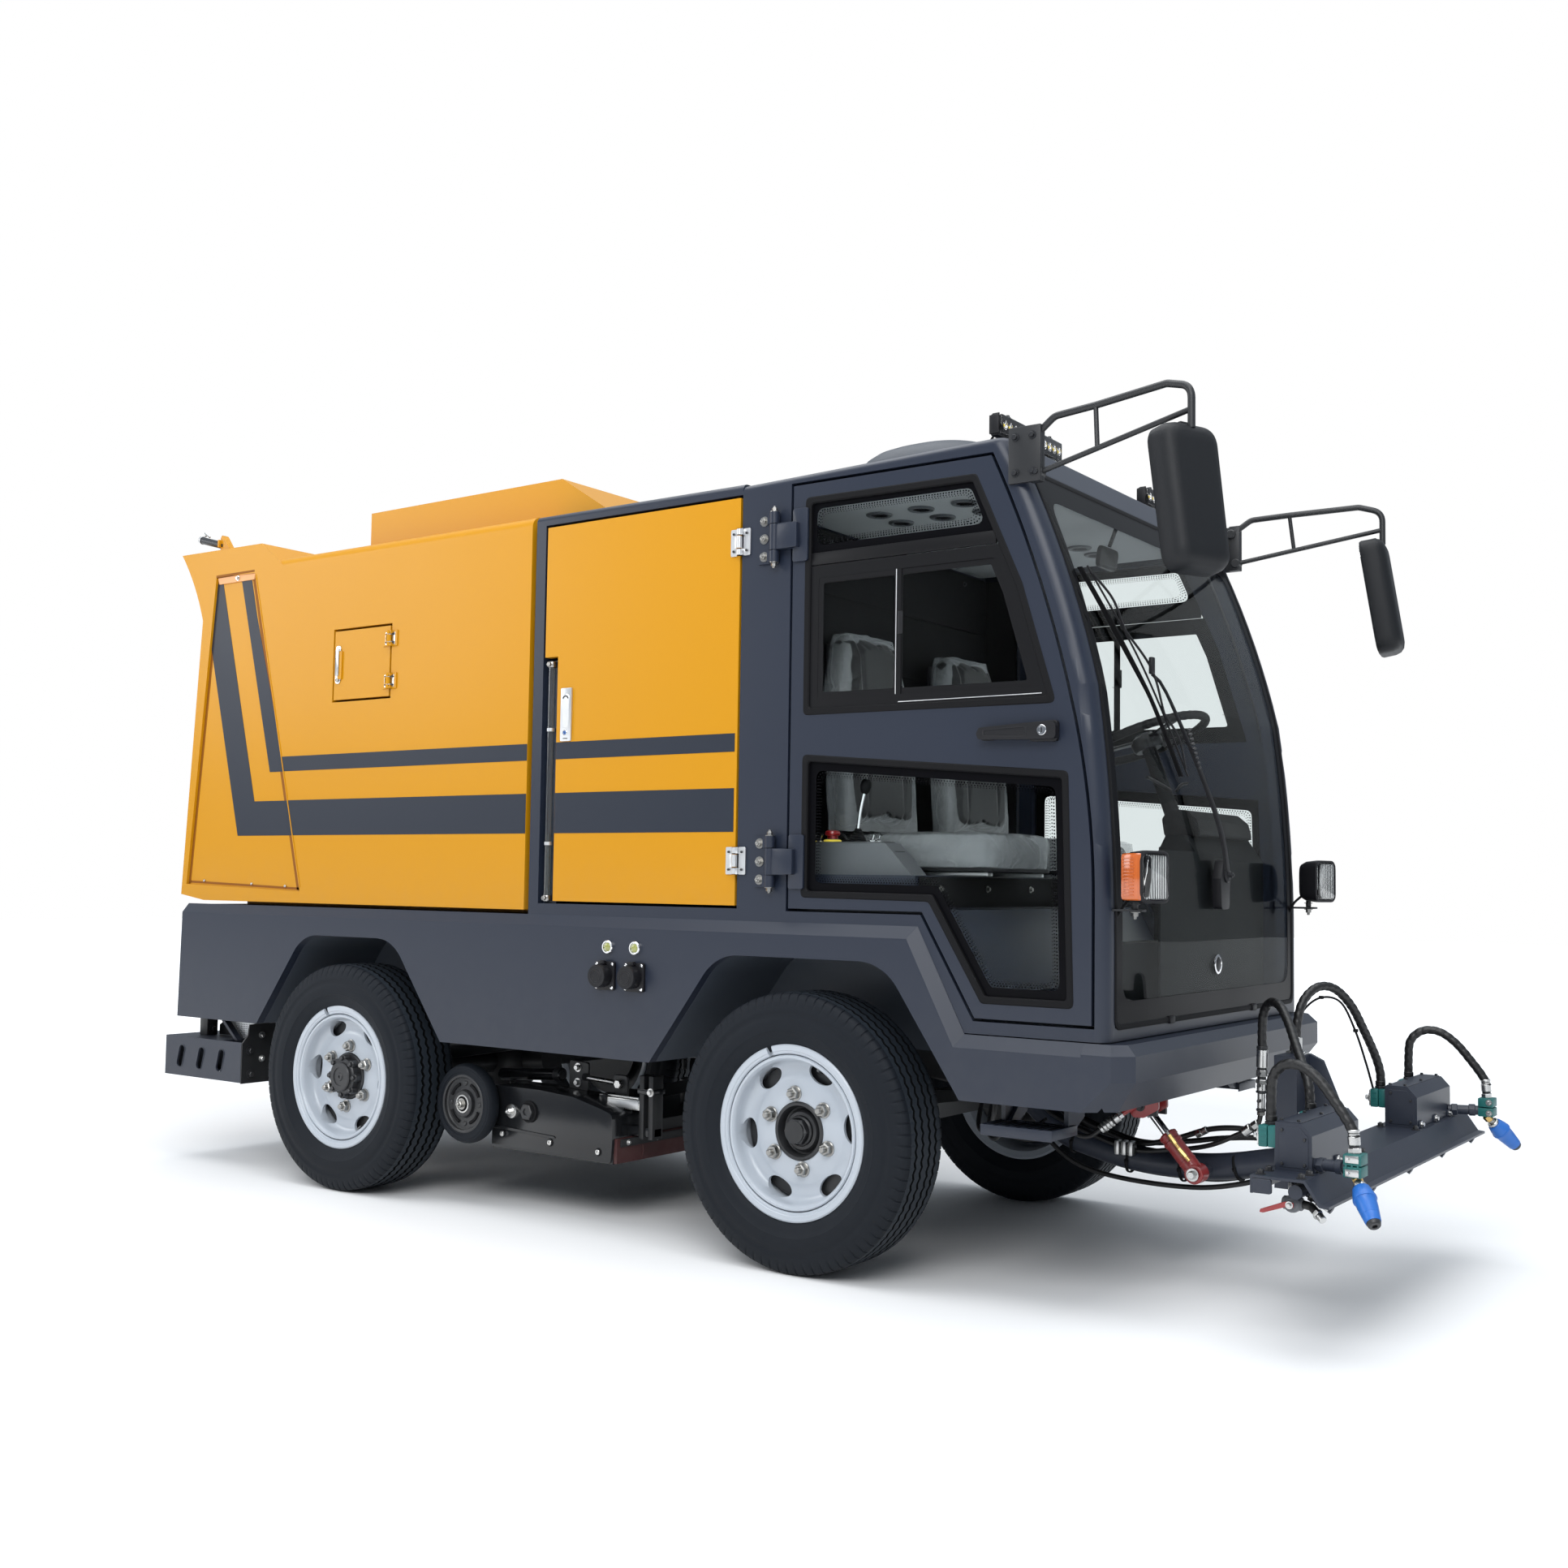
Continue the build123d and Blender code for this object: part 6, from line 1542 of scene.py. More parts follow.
def buildConsole():                           # switches, lever and stop button by the seat
    piece = Piece("consoleControls")
    piece.plate(rect(-140, -594, 196, -526, 10, 4),
                1152.2, 1155.5, "greyPlastic", bevel=1, plane="xy")
    stop = axes((8, -560, 1155), toTop)
    # the yellow collar uses the glowing LED finish: it glows though it is no lamp, painted light
    piece.lathe(puck(25, 5, 22, 7), "ledYellow", stop, 40)
    piece.lathe([(0, 7), (15.6, 7), (15.6, 17), (20, 19), (22, 24), (20, 30), (12, 33.5),
                 (0, 34)], "redPaint", stop, 40)
    boot = axes((90, -560, 1155), (0.1, 0, 1))
    profile = []
    for k in range(6):
        r = 27 - 3.4 * k
        profile += [(r, 6.5 * k), (r + 1.6, 6.5 * k + 2.4), (r - 2.2, 6.5 * k + 5)]
    piece.lathe([(0, 0)] + profile + [(0, 40)], "softBlack", boot, 32)
    piece.tube(smoothPath([(92, -560, 1190), (99, -560, 1240), (112, -560, 1292)], 12), 5.2,
               "chrome", sides=12)
    knob = axes((112, -560, 1288), (0.2, 0, 1))
    piece.lathe([(0, 0), (8, 0), (13, 8), (16, 20), (15, 32), (9, 40), (0, 42)], "softBlack",
                knob, 28)
    for x, y in [(x, y) for x in (-110, -76, -44, 150) for y in (-545, -575)]:
        where = axes((x, y, 1155), toTop)
        piece.lathe(puck(9, 4, 7.6, 5.2), "chrome", where, 24)
        piece.rod((x, y, 1159), (x + 6, y, 1176), 2.6, "chrome", sides=10)
        piece.lathe([(0, 0), (3.4, 1), (3.8, 4), (0, 6)], "blackPlastic",
                    axes((x + 5.4, y, 1174), (0.3, 0, 1)), 12)
    tray = rounded([(176, -570), (196, -588), (230, -588), (230, -532), (176, -532)], 6, 3)
    piece.plate(tray, 1128, 1130, "blackPlastic", plane="xy")
    piece.done("chassis", "black_plastic")


def buildDash():                              # instrument hood, gauges, vents and pedals
    piece = Piece("dashFittings")
    dx, y = 838, 290
    hood = rounded([(dx - 126, 1186), (dx - 16, 1186), (dx - 30, 1236), (dx - 62, 1262),
                    (dx - 112, 1266), (dx - 134, 1238)], 14, 5)
    piece.plate(hood, y - 205, y + 205, "softBlack", bevel=6, steps=3)
    piece.plate(rect(y - 185, 1200, y + 185, 1252, 12, 4),
                dx - 136, dx - 133, "fritBlack", plane="yz")
    for offset, radius in ((-120, 24), (-60, 24), (0, 24), (62, 24), (122, 24)):
        where = axes((dx - 136, y + offset, 1226), toRear)
        piece.lathe([(radius - 3, 0), (radius, 0), (radius, 3), (radius - 2, 4), (radius - 3, 3)],
                    "chrome", where, 32, closed=True)
        piece.lathe(rect(0, 0.6, radius - 3, 1.2), "whiteLens", where, 28)
        piece.box((dx - 138.4, y + offset - 1, 1226), (dx - 137.4, y + offset + 1, 1242),
                  "redPaint")
    for k in range(8):
        piece.box((dx - 144, y - 205 + 52 * k, 1132), (dx - 138.2, y - 165 + 52 * k, 1158),
                  "blackPlastic", bevel=2.5)
    # dark panel behind the lower windscreen, also standing for the shade there: partly painted
    # shade
    lower = rounded([(-335, 712), (131, 712), (131, 1120), (112, 1140), (-335, 1140)], 12, 4)
    piece.plate(lower, 872, 878, "dashPlastic", bevel=2, plane="yz")
    piece.plate(rect(-420, 700, 420, 716), 850, 880, "softBlack", plane="yz")
    boot = axes((745, y, 1012), (-0.352, 0, 0.936))
    profile = []
    for k in range(9):
        r = 58 - 3.0 * k
        profile += [(r, 13 * k), (r + 3, 13 * k + 5), (r - 2, 13 * k + 10)]
    piece.lathe([(0, 0)] + profile + [(24, 122), (23, 300), (0, 300)], "softBlack", boot, 32)
    for k, offset in enumerate((-110, 60, 130)):
        piece.box((672, y + offset - 24, 800), (688, y + offset + 24, 866), "softBlack", bevel=4)
        for row in range(5):
            piece.box((669, y + offset - 20, 806 + 12 * row),
                      (673, y + offset + 20, 811 + 12 * row), "softBlack", bevel=1)
        piece.tube(smoothPath([(684, y + offset, 850), (705, y + offset, 900),
                               (712, y + offset, 940)], 10), 7, "blackSteel", sides=10)
    for way in (-1, 1):                       # stalks behind the steering wheel
        piece.tube(smoothPath([(655, y + way * 20, 1330), (640, y + way * 90, 1352),
                               (636, y + way * 150, 1362)], 10), 4.5, "blackPlastic", sides=10)
    piece.done("chassis", "black_plastic")


wheelFacts = {"hub": (575, 290, 1462), "foot": (745, 290, 1010), "radius": 186, "grip": 13}


def buildSteeringWheel():
    f = wheelFacts
    axis = (Vector(f["hub"]) - Vector(f["foot"])).normalized()
    where = axes(f["hub"], axis, (0, 1, 0))
    piece = Piece("steeringWheelRim")
    rings = []
    for k in range(96):
        a = 2 * math.pi * k / 96
        ring = []
        for n in range(14):
            b = 2 * math.pi * n / 14
            grip = f["grip"] * (1 + (0.06 * math.cos(a * 40) if math.cos(b) < 0.3 else 0))
            r = f["radius"] + grip * math.cos(b)
            ring.append((26 + grip * math.sin(b), *polar(r, a)))
        rings.append(ring)
    piece.skin(rings, "softBlack", where, wrap=True)
    piece.lathe([(0, -8), (40, -8), (46, 0), (48, 18), (44, 30), (30, 38), (0, 42)], "blackPlastic",
                where, 40)
    piece.lathe([(26, 38), (28, 40), (26, 42), (0, 42.5)], "greyPlastic", where, 32)
    for turn in (90, 210, 330):
        a = math.radians(turn)
        spin = where @ Matrix.Rotation(a, 4, "X")
        rings = []
        for r, half, sink in ((36, 20, 24), (70, 15, 26), (120, 12, 27), (172, 16, 27),
                              (184, 20, 27)):
            rings.append([(sink + t, r, half * u) for t, u in ((-4, -0.9), (-4, 0.9), (2, 1),
                                                               (4, 0.7), (4, -0.7), (2, -1))])
        piece.skin(rings, "blackPlastic", spin, caps=True)
    piece.done("chassis", "black_plastic", replaces=["steering_wheel"])


def buildCabTrim():                           # headliner, rear wall, floor mat, small mirror
    liner = Piece("cabHeadliner")
    sheet = rect(-178, -600, 548, 600, 40, 6)
    liner.plate(sheet, 2098, 2112, "linerCloth", bevel=4, plane="xy", steps=2)
    for x in (60, 200, 340):
        for y in (-420, -300, 300, 420):
            vent = axes((x, y, 2098), toGround)
            liner.lathe([(24, 0), (38, 0), (38, 3), (34, 6), (26, 6), (24, 3)], "greyPlastic", vent,
                        32, closed=True)
            for k in range(-3, 4):
                half = math.sqrt(24 ** 2 - (6.4 * k) ** 2)
                liner.box((x + 6.4 * k - 1, y - half, 2094), (x + 6.4 * k + 1, y + half, 2098.5),
                          "blackPlastic")
            # painted shade: a black disc behind the slats stands for the duct's dark inside
            liner.lathe([(0, 0.1), (24.5, 0.1)], "softBlack", vent, 28)
    lamp = rect(140, -60, 260, 60, 50, 8)
    liner.plate(lamp, 2084, 2098.2, "whiteLens", bevel=6, plane="xy", steps=3)
    liner.done("chassis", "grey_plastic")
    trim = Piece("cabTrim")
    # rear wall and pillar linings: dark trim, partly painted shade to darken the cab inside
    trim.plate(rect(-636, 1068, 636, 2094, 20, 4), -181, -172, "trimDark", bevel=3, plane="yz")
    for z in (1300, 1500, 1700, 1900):
        trim.box((-172.5, -600, z - 3), (-170.5, 600, z + 3), "softBlack", bevel=0.8)
    for y in (-480, -160, 160, 480):
        trim.bolt((-172, y, 2060), toFront, 9, "hubBlack")
    trim.plate(rect(560, -610, 842, 610, 14, 4), 711.5, 717, "softBlack", bevel=1.5, plane="xy")
    for k in range(24):
        trim.box((566, -600 + 50 * k, 716.5), (836, -590 + 50 * k, 719.5), "softBlack", bevel=1.2)
    for side in (-1, 1):                      # dark lining on the pillars
        trim.box((-176, side * 646.5, 1068), (-58, side * 640, 2090), "trimDark", bevel=2)
    trim.box((330.5, -630, 980), (333, 630, 1062), "trimDark", bevel=1)
    for y in (-520, -260, 0, 260, 520):
        trim.bolt((333, y, 1030), toFront, 10, "nickel")
    trim.done("chassis", "black_plastic")
    small = Piece("cabMirror")
    small.rod((588, 40, 2098), (560, 40, 2030), 6, "blackPlastic")
    head = Matrix.Translation(at(556, 40, 1996)) @ Matrix.Rotation(0.15, 4, "Y") @ Matrix.Scale(
        0.001, 4)
    loop = rect(-62, -32, 62, 32, 20, 6)
    small.skin([[(x, y * s, z * s) for y, z in loop] for x, s in ((-9, 0.96), (-6, 1), (4, 0.94),
                                                                  (10, 0.7))],
               "blackPlastic", head, caps=True)
    small.plate(inset(loop, 4), -9.6, -9.1, "mirrorGlass", plane="yz", where=head)
    small.done("chassis", "black_plastic")


buildSeats()
for side in ("right", "left"):
    buildSeatWrap(side)
buildSeatFrames()
buildConsole()
buildDash()
buildSteeringWheel()
buildCabTrim()
print("cab inside built")


hoseFacts = {"radius": 10.4, "pitch": 21, "height": 1.7, "sides": 16, "step": 2.6}
boomHoses = {
    "outer": [(1253, -576, 492), (1253, -576, 560), (1259, -578, 612), (1290, -588, 641),
              (1334, -597, 640), (1377, -604, 610), (1418, -611, 560), (1446, -616, 520),
              (1457, -618, 494)],
    "right": [(1054, -74, 612), (1054, -75, 668), (1060, -80, 716), (1086, -104, 746),
              (1124, -142, 742), (1160, -182, 704), (1194, -226, 652), (1226, -268, 604),
              (1247, -290, 560), (1253, -295, 492)],
    "left": [(1112, 24, 618), (1112, 28, 680), (1122, 46, 742), (1146, 90, 780), (1176, 142, 776),
             (1204, 196, 730), (1226, 240, 660), (1244, 280, 590), (1253, 295, 540),
             (1253, 295, 492)]}


def fittingStack(piece, start, end, parts):   # turned fittings set one after another on a line
    run = Vector(end) - Vector(start)
    where = axes(start, run)
    for low, high, radius, sides, finish in parts:
        a, b = low * run.length, high * run.length
        edge = min(1.6, (b - a) * 0.25)
        piece.lathe([(0, a), (radius - edge, a), (radius, a + edge), (radius, b - edge),
                     (radius - edge, b), (0, b)], finish, where, sides)


def buildSprayHoses():                        # wrapped pressure hoses and their crimped ends
    f = hoseFacts
    piece = Piece("sprayHoseLines")
    for name, way in (("outer", 1), ("outer", -1), ("right", 1), ("left", 1)):
        path = [(x, y * way, z) for x, y, z in boomHoses[name]]
        piece.tube(smoothPath(path, f["step"]), f["radius"], "hoseRubber", f["sides"], ridge=f)
    for y in (-576, -295, 295, 576):          # collars on the rear clamps
        fittingStack(piece, (1253, y, 498), (1253, y, 522), [
            (0.0, 0.45, 14.5, 6, "hubBlack"), (0.45, 1.0, 13.2, 24, "hoseRubber")])
    for side in (-1, 1):                      # long ferrules into the front clamps
        top, low = (1452.5, side * 617, 512), (1457, side * 618, 448)
        fittingStack(piece, top, low, [
            (-0.02, 0.10, 13.6, 20, "steel"), (0.10, 0.20, 12.6, 20, "steel"),
            (0.20, 0.52, 13.6, 20, "steel"), (0.52, 0.60, 11.4, 20, "hubBlack"),
            (0.60, 0.80, 14.2, 6, "steel"), (0.80, 1.0, 10.0, 16, "hubBlack")])
    fittingStack(piece, (1054, -74, 626), (1049, -72, 448), [
        (-0.02, 0.03, 14.8, 20, "hubBlack"), (0.03, 0.30, 14.6, 20, "steel"),
        (0.30, 0.33, 12.6, 20, "hubBlack"), (0.33, 0.43, 14.8, 6, "steel"),
        (0.43, 0.47, 11.4, 20, "hubBlack"), (0.47, 0.53, 15.8, 6, "steel"),
        (0.53, 0.64, 12.2, 20, "steel"), (0.64, 0.67, 14.4, 20, "hubBlack"),
        (0.67, 0.90, 10.0, 20, "steel"), (0.90, 0.94, 12.6, 20, "hubBlack"),
        (0.94, 1.0, 10.4, 6, "nickel")])
    for rise in (0.38, 0.56, 0.78):           # caps that stand out of the stack
        z = 626 - 178 * rise
        piece.rod((1051, -86, z), (1050, -97, z), 4.4, "hubBlack")
    fittingStack(piece, (1112, 24, 604), (1112, 26, 650), [
        (0.0, 0.2, 15.5, 6, "steel"), (0.2, 0.3, 12.0, 20, "hubBlack"),
        (0.3, 1.0, 14.2, 24, "steel")])
    cable = [(1090, 40, 600), (1094, 44, 640), (1116, 66, 716), (1150, 110, 752),
             (1186, 166, 738), (1210, 214, 660), (1228, 250, 570), (1240, 270, 503)]
    piece.tube(smoothPath(cable, 8), 3.0, "softBlack", sides=8)
    for k in (3, 5):
        x, y, z = cable[k]
        piece.box((x - 6, y - 3, z - 4), (x + 6, y + 9, z + 5), "softBlack", bevel=2)
    piece.box((1084, 20, 600), (1136, 56, 612), "steel", bevel=2)
    piece.done("boom_body", "hose_rubber", replaces=["spray_hoses"])


clampFacts = {"gap": 0.9, "bolt": 7.5, "plate": 3.4}


def buildHoseClamps():                        # two moulded halves, cover plate and bolts
    f = clampFacts
    piece = Piece("hoseClampHalves")
    for side in (-1, 1):
        for a, b in ((548, 604), (272, 318)):
            low, high = sorted((side * a, side * b))
            middle = (low + high) / 2
            for x0, x1 in ((1232, 1253 - f["gap"]), (1253 + f["gap"], 1274.5)):
                piece.box((x0, low, 452), (x1, high, 501), "tealPlastic", bevel=2.2, steps=2)
            for rise in (462, 477, 491):      # ribs moulded on both faces
                for y in (low - 0.7, high + 0.7):
                    piece.box((1236, y - 0.8, rise - 1.6), (1249, y + 0.8, rise + 1.6),
                              "tealPlastic")
            piece.box((1228.4, low + 1, 455), (1232.2, high - 1, 498), "steel", bevel=1.2)
            for reach in (-18, 18):
                piece.bolt((1228.4, middle + reach, 477), toRear, f["bolt"] * 1.5, "steel")
        low, high = sorted((side * 592, side * 644))
        outer = side * 644
        for z0, z1 in ((410.5, 435), (437, 461.5)):
            piece.box((1437, low, z0), (1477, high, z1), "tealPlastic", bevel=2.5, steps=2)
        for x in (1444, 1457, 1470):
            piece.box((x - 2, min(outer, outer + side), 414),
                      (x + 2, max(outer, outer + side), 458), "tealPlastic")
        plate = sorted((outer, outer + side * f["plate"] * 0.5))
        for z0, z1 in ((413, 429), (443, 459)):
            piece.box((1442, plate[0], z0), (1472, plate[1], z1), "steel", bevel=0.7)
        for z in (421, 451):
            piece.bolt((1448, outer + side * 1.7, z), (0, side, 0), 7, "steel", washer=False)
            piece.bolt((1467, side * 592, z), (0, -side, 0), 9, "steel")
    piece.done("boom_body", "teal_plastic", replaces=["hose_clamps"])


nozzleFacts = {"base": (1457, -612, 410), "tip": (1522, -694, 318)}


def buildNozzle(side):                        # brass nut, steel ring and a faceted blue cone
    f = nozzleFacts
    piece = Piece(f"{side}RotaryNozzle")
    where = axes(f["base"], Vector(f["tip"]) - Vector(f["base"]))
    piece.lathe([(0, -4), (11, -4), (12.6, 0), (12.6, 12), (11, 14), (0, 14)], "brass", where, 6)
    piece.lathe(rect(0, 13, 9, 24), "nickel", where, 20)
    piece.lathe([(0, 23), (13.6, 23), (15, 24.5), (15, 31), (13.6, 32.5), (0, 32.5)], "steel",
                where, 24)
    piece.lathe([(0, 32), (18, 32), (19.6, 34), (25, 54), (25.6, 60), (25, 66), (23.8, 68),
                 (22.6, 84), (20.0, 104), (0, 104)], "bluePlastic", where, 14)
    piece.lathe([(22, 60), (26.4, 61), (26.4, 65), (22, 66)], "bluePlastic", where, 28)
    piece.lathe([(0, 103), (19.6, 103), (19.8, 105), (17.6, 122), (17, 124), (0, 124)],
                "bluePlastic", where, 14)
    piece.lathe([(0, 123), (15.6, 123), (16, 125), (14, 132), (12, 134), (6, 134), (5, 128),
                 (0, 128)], "hubBlack", where, 24)
    piece.done("boom_body", "blue_plastic", replaces=["rotary_nozzles"])


def buildBarFittings():                       # bolts, jets, seams and the shut-off valve
    piece, tips = Piece("sprayBarFittings"), Piece("sprayBarValve")
    for y in (-640, -320, 0, 320, 640):
        start, end = Vector((1352, y, 370)), Vector((1412, y, 334))
        where = axes(start, end - start)
        piece.lathe([(9.2, 14), (12.4, 14), (13, 15), (13, 25), (12.4, 26), (9.2, 26)], "steel",
                    where, 6)
        piece.lathe([(9.2, 34), (12, 34), (12, 46), (10, 49), (9.2, 49)], "nickel", where, 20)
        piece.lathe([(0, 69.5), (6, 69.5), (8.4, 66), (9.5, 62), (9.5, 52), (9.2, 50)], "steel",
                    where, 20)
        piece.box((1335, y - 11, 376), (1351, y + 11, 399), "steel", bevel=1.5)
    for side in (-1, 1):
        for y in (240, 636, 690):             # black bolts on the top plate
            for x in (1268, 1360):
                piece.bolt((x, side * y, 405), toTop, 12, "hubBlack", stud=2)
        low, high = sorted((side * 262, side * 610))
        for y in (low + 26, (low + high) / 2, high - 26):   # feet of the pump housing
            piece.box((1357.6, y - 15, 405), (1362.6, y + 15, 424), "slatePaint", bevel=1)
            piece.bolt((1362.4, y, 415), toFront, 10, "steel")
        for end in (low, high):               # side covers with a folded lip
            out = -1 if end == low else 1
            cover = [(1282, 413), (1350, 413), (1350, 484), (1331, 504), (1282, 504)]
            wall = sorted((end, end + out * 1.4))
            piece.plate(rounded(cover, 5, 3), wall[0], wall[1], "slatePaint", bevel=0.5)
            for x, z in ((1290, 421), (1342, 421), (1290, 496), (1342, 478)):
                piece.bolt((x, end + out * 1.4, z), (0, out, 0), 6, "hubBlack", washer=False)
        lid = [[(x, y, z) for x, y in rect(1277 + g, low + 3 + g, 1331 - g, high - 3 - g, 5, 3)]
               for g, z in ((0, 512.6), (0, 514.6), (1.5, 515.4))]
        piece.skin(lid, "slatePaint", caps=True)
        for x in (1284, 1324):
            for y in (low + 14, (low + high) / 2, high - 14):
                piece.bolt((x, y, 515.2), toTop, 7, "hubBlack", washer=False)
        fittingStack(piece, (1366, side * 591, 424), (1428, side * 605, 426), [
            (0.0, 0.26, 17, 6, "slatePaint"), (0.72, 1.0, 16.5, 24, "slatePaint")])
        piece.plate(rect(1256, 366, 1300, 398, 5, 3),
                    side * 705, side * 714.6, "slatePaint", bevel=1)
    valve = Vector((1330, -652, 342))
    tips.rod(valve + Vector((-24, 0, 0)), valve + Vector((22, 0, 0)), 15, "greyPlastic", sides=24,
             chamfer=3)
    tips.lathe([(0, -20), (13, -20), (18.5, -15), (20, -6), (20, 6), (18.5, 15), (13, 20), (0, 20)],
               "greyPlastic", axes(valve, toLeft), 28)
    tips.rod(valve + Vector((0, -19, 0)), valve + Vector((0, -27, 0)), 6, "steel")
    tips.plate([tuple(valve.xz + Vector(p)) for p in ((9, 6), (-10, 7), (-66, -16), (-68, -23),
                                                     (-60, -24), (-8, -5), (9, -5))],
               valve.y - 30, valve.y - 26.5, "redPaint", bevel=1)
    tips.bolt(valve + Vector((0, -30, 0)), toRight, 9, "steel")
    fittingStack(tips, valve + Vector((0, 0, 48)), valve + Vector((0, 0, 16)),
                 [(0, 0.6, 12, 6, "steel"), (0.6, 1, 10, 20, "nickel")])
    tips.tube(arcPath([valve + Vector((22, 0, 0)), valve + Vector((40, -2, -2)),
                       valve + Vector((66, -22, -18))], 16), 9.5, "hoseRubber", sides=16)
    fittingStack(tips, valve + Vector((56, -15, -12)), valve + Vector((76, -30, -24)),
                 [(0, 0.4, 12, 6, "steel"), (0.4, 1, 9, 20, "steel")])
    piece.done("boom_body", "dark_paint")
    tips.done("boom_body", "grey_plastic")


boomLine = [(372, 0, 392), (440, 0, 335), (660, 0, 282), (890, 0, 282), (1076, 0, 326)]
lineFacts = {"ties": (0.06, 0.2, 0.42, 0.63, 0.84),
             "lines": [(6.5, [(352, -42, 470), (392, -44, 424), (452, -43, 380), (660, -42, 318),
                              (800, -46, 330), (900, -50, 352), (986, -62, 392),
                              (1036, -70, 418), (1049, -72, 452)]),
                       (7.5, [(356, -14, 474), (400, -16, 432), (470, -14, 392), (660, -12, 332),
                              (780, -18, 352), (880, -24, 388), (960, -34, 402),
                              (1032, -40, 400), (1066, -44, 388)]),
                       (7.5, [(356, 14, 474), (400, 14, 430), (470, 16, 390), (660, 16, 333),
                              (800, 18, 344), (900, 20, 362), (990, 30, 372), (1066, 34, 372)]),
                       (6.0, [(360, 44, 468), (420, 46, 392), (560, 46, 312), (680, 44, 258),
                              (860, 42, 244), (1000, 44, 272), (1068, 46, 300)]),
                       (7.0, [(392, -30, 330), (470, -26, 270), (560, -24, 240), (700, -26, 228),
                              (860, -28, 232), (980, -30, 256), (1060, -34, 286)])]}


def buildBoomLines():                         # thin hoses tied along the boom
    f = lineFacts
    piece = Piece("boomServiceLines")
    for radius, path in f["lines"]:
        piece.tube(smoothPath(path, 9), radius, "hoseRubber", sides=12)
    dense = smoothPath(boomLine, 6)
    for share in f["ties"]:
        k = round(share * (len(dense) - 1))
        ahead = dense[min(k + 1, len(dense) - 1)] - dense[max(k - 1, 0)]
        where = axes(dense[k] - ahead.normalized() * 4, ahead)
        piece.lathe([(35.5, 0), (38.2, 0), (38.6, 1), (38.6, 7), (38.2, 8), (35.5, 8)],
                    "softBlack", where, 36, closed=True)
        piece.box((-1, -42, -8), (9, -36.5, 4), "softBlack", bevel=1.4, where=where)
        piece.box((2, -52, 0), (5.4, -41, 1.6), "softBlack", where=where)
    fittingStack(piece, (1000, -64, 398), (1042, -71, 428), [
        (0, 0.5, 13, 24, "steel"), (0.5, 0.62, 10.5, 20, "hubBlack"), (0.62, 1, 11.5, 6, "steel")])
    fittingStack(piece, (852, -24, 372), (884, -26, 390),
                 [(0, 0.5, 11, 6, "steel"), (0.5, 1, 10, 20, "steel")])
    for k in range(3):                        # ribbed block beside the boom
        piece.box((628 + 20 * k, -62, 300), (642 + 20 * k, -36, 340), "steel", bevel=3, steps=2)
    piece.box((624, -58, 306), (686, -38, 332), "blackSteel", bevel=2)
    piece.done("boom_body", "hose_rubber")


liftFacts = {"foot": (888, -112, 284), "head": (742, -112, 452), "out": 96}


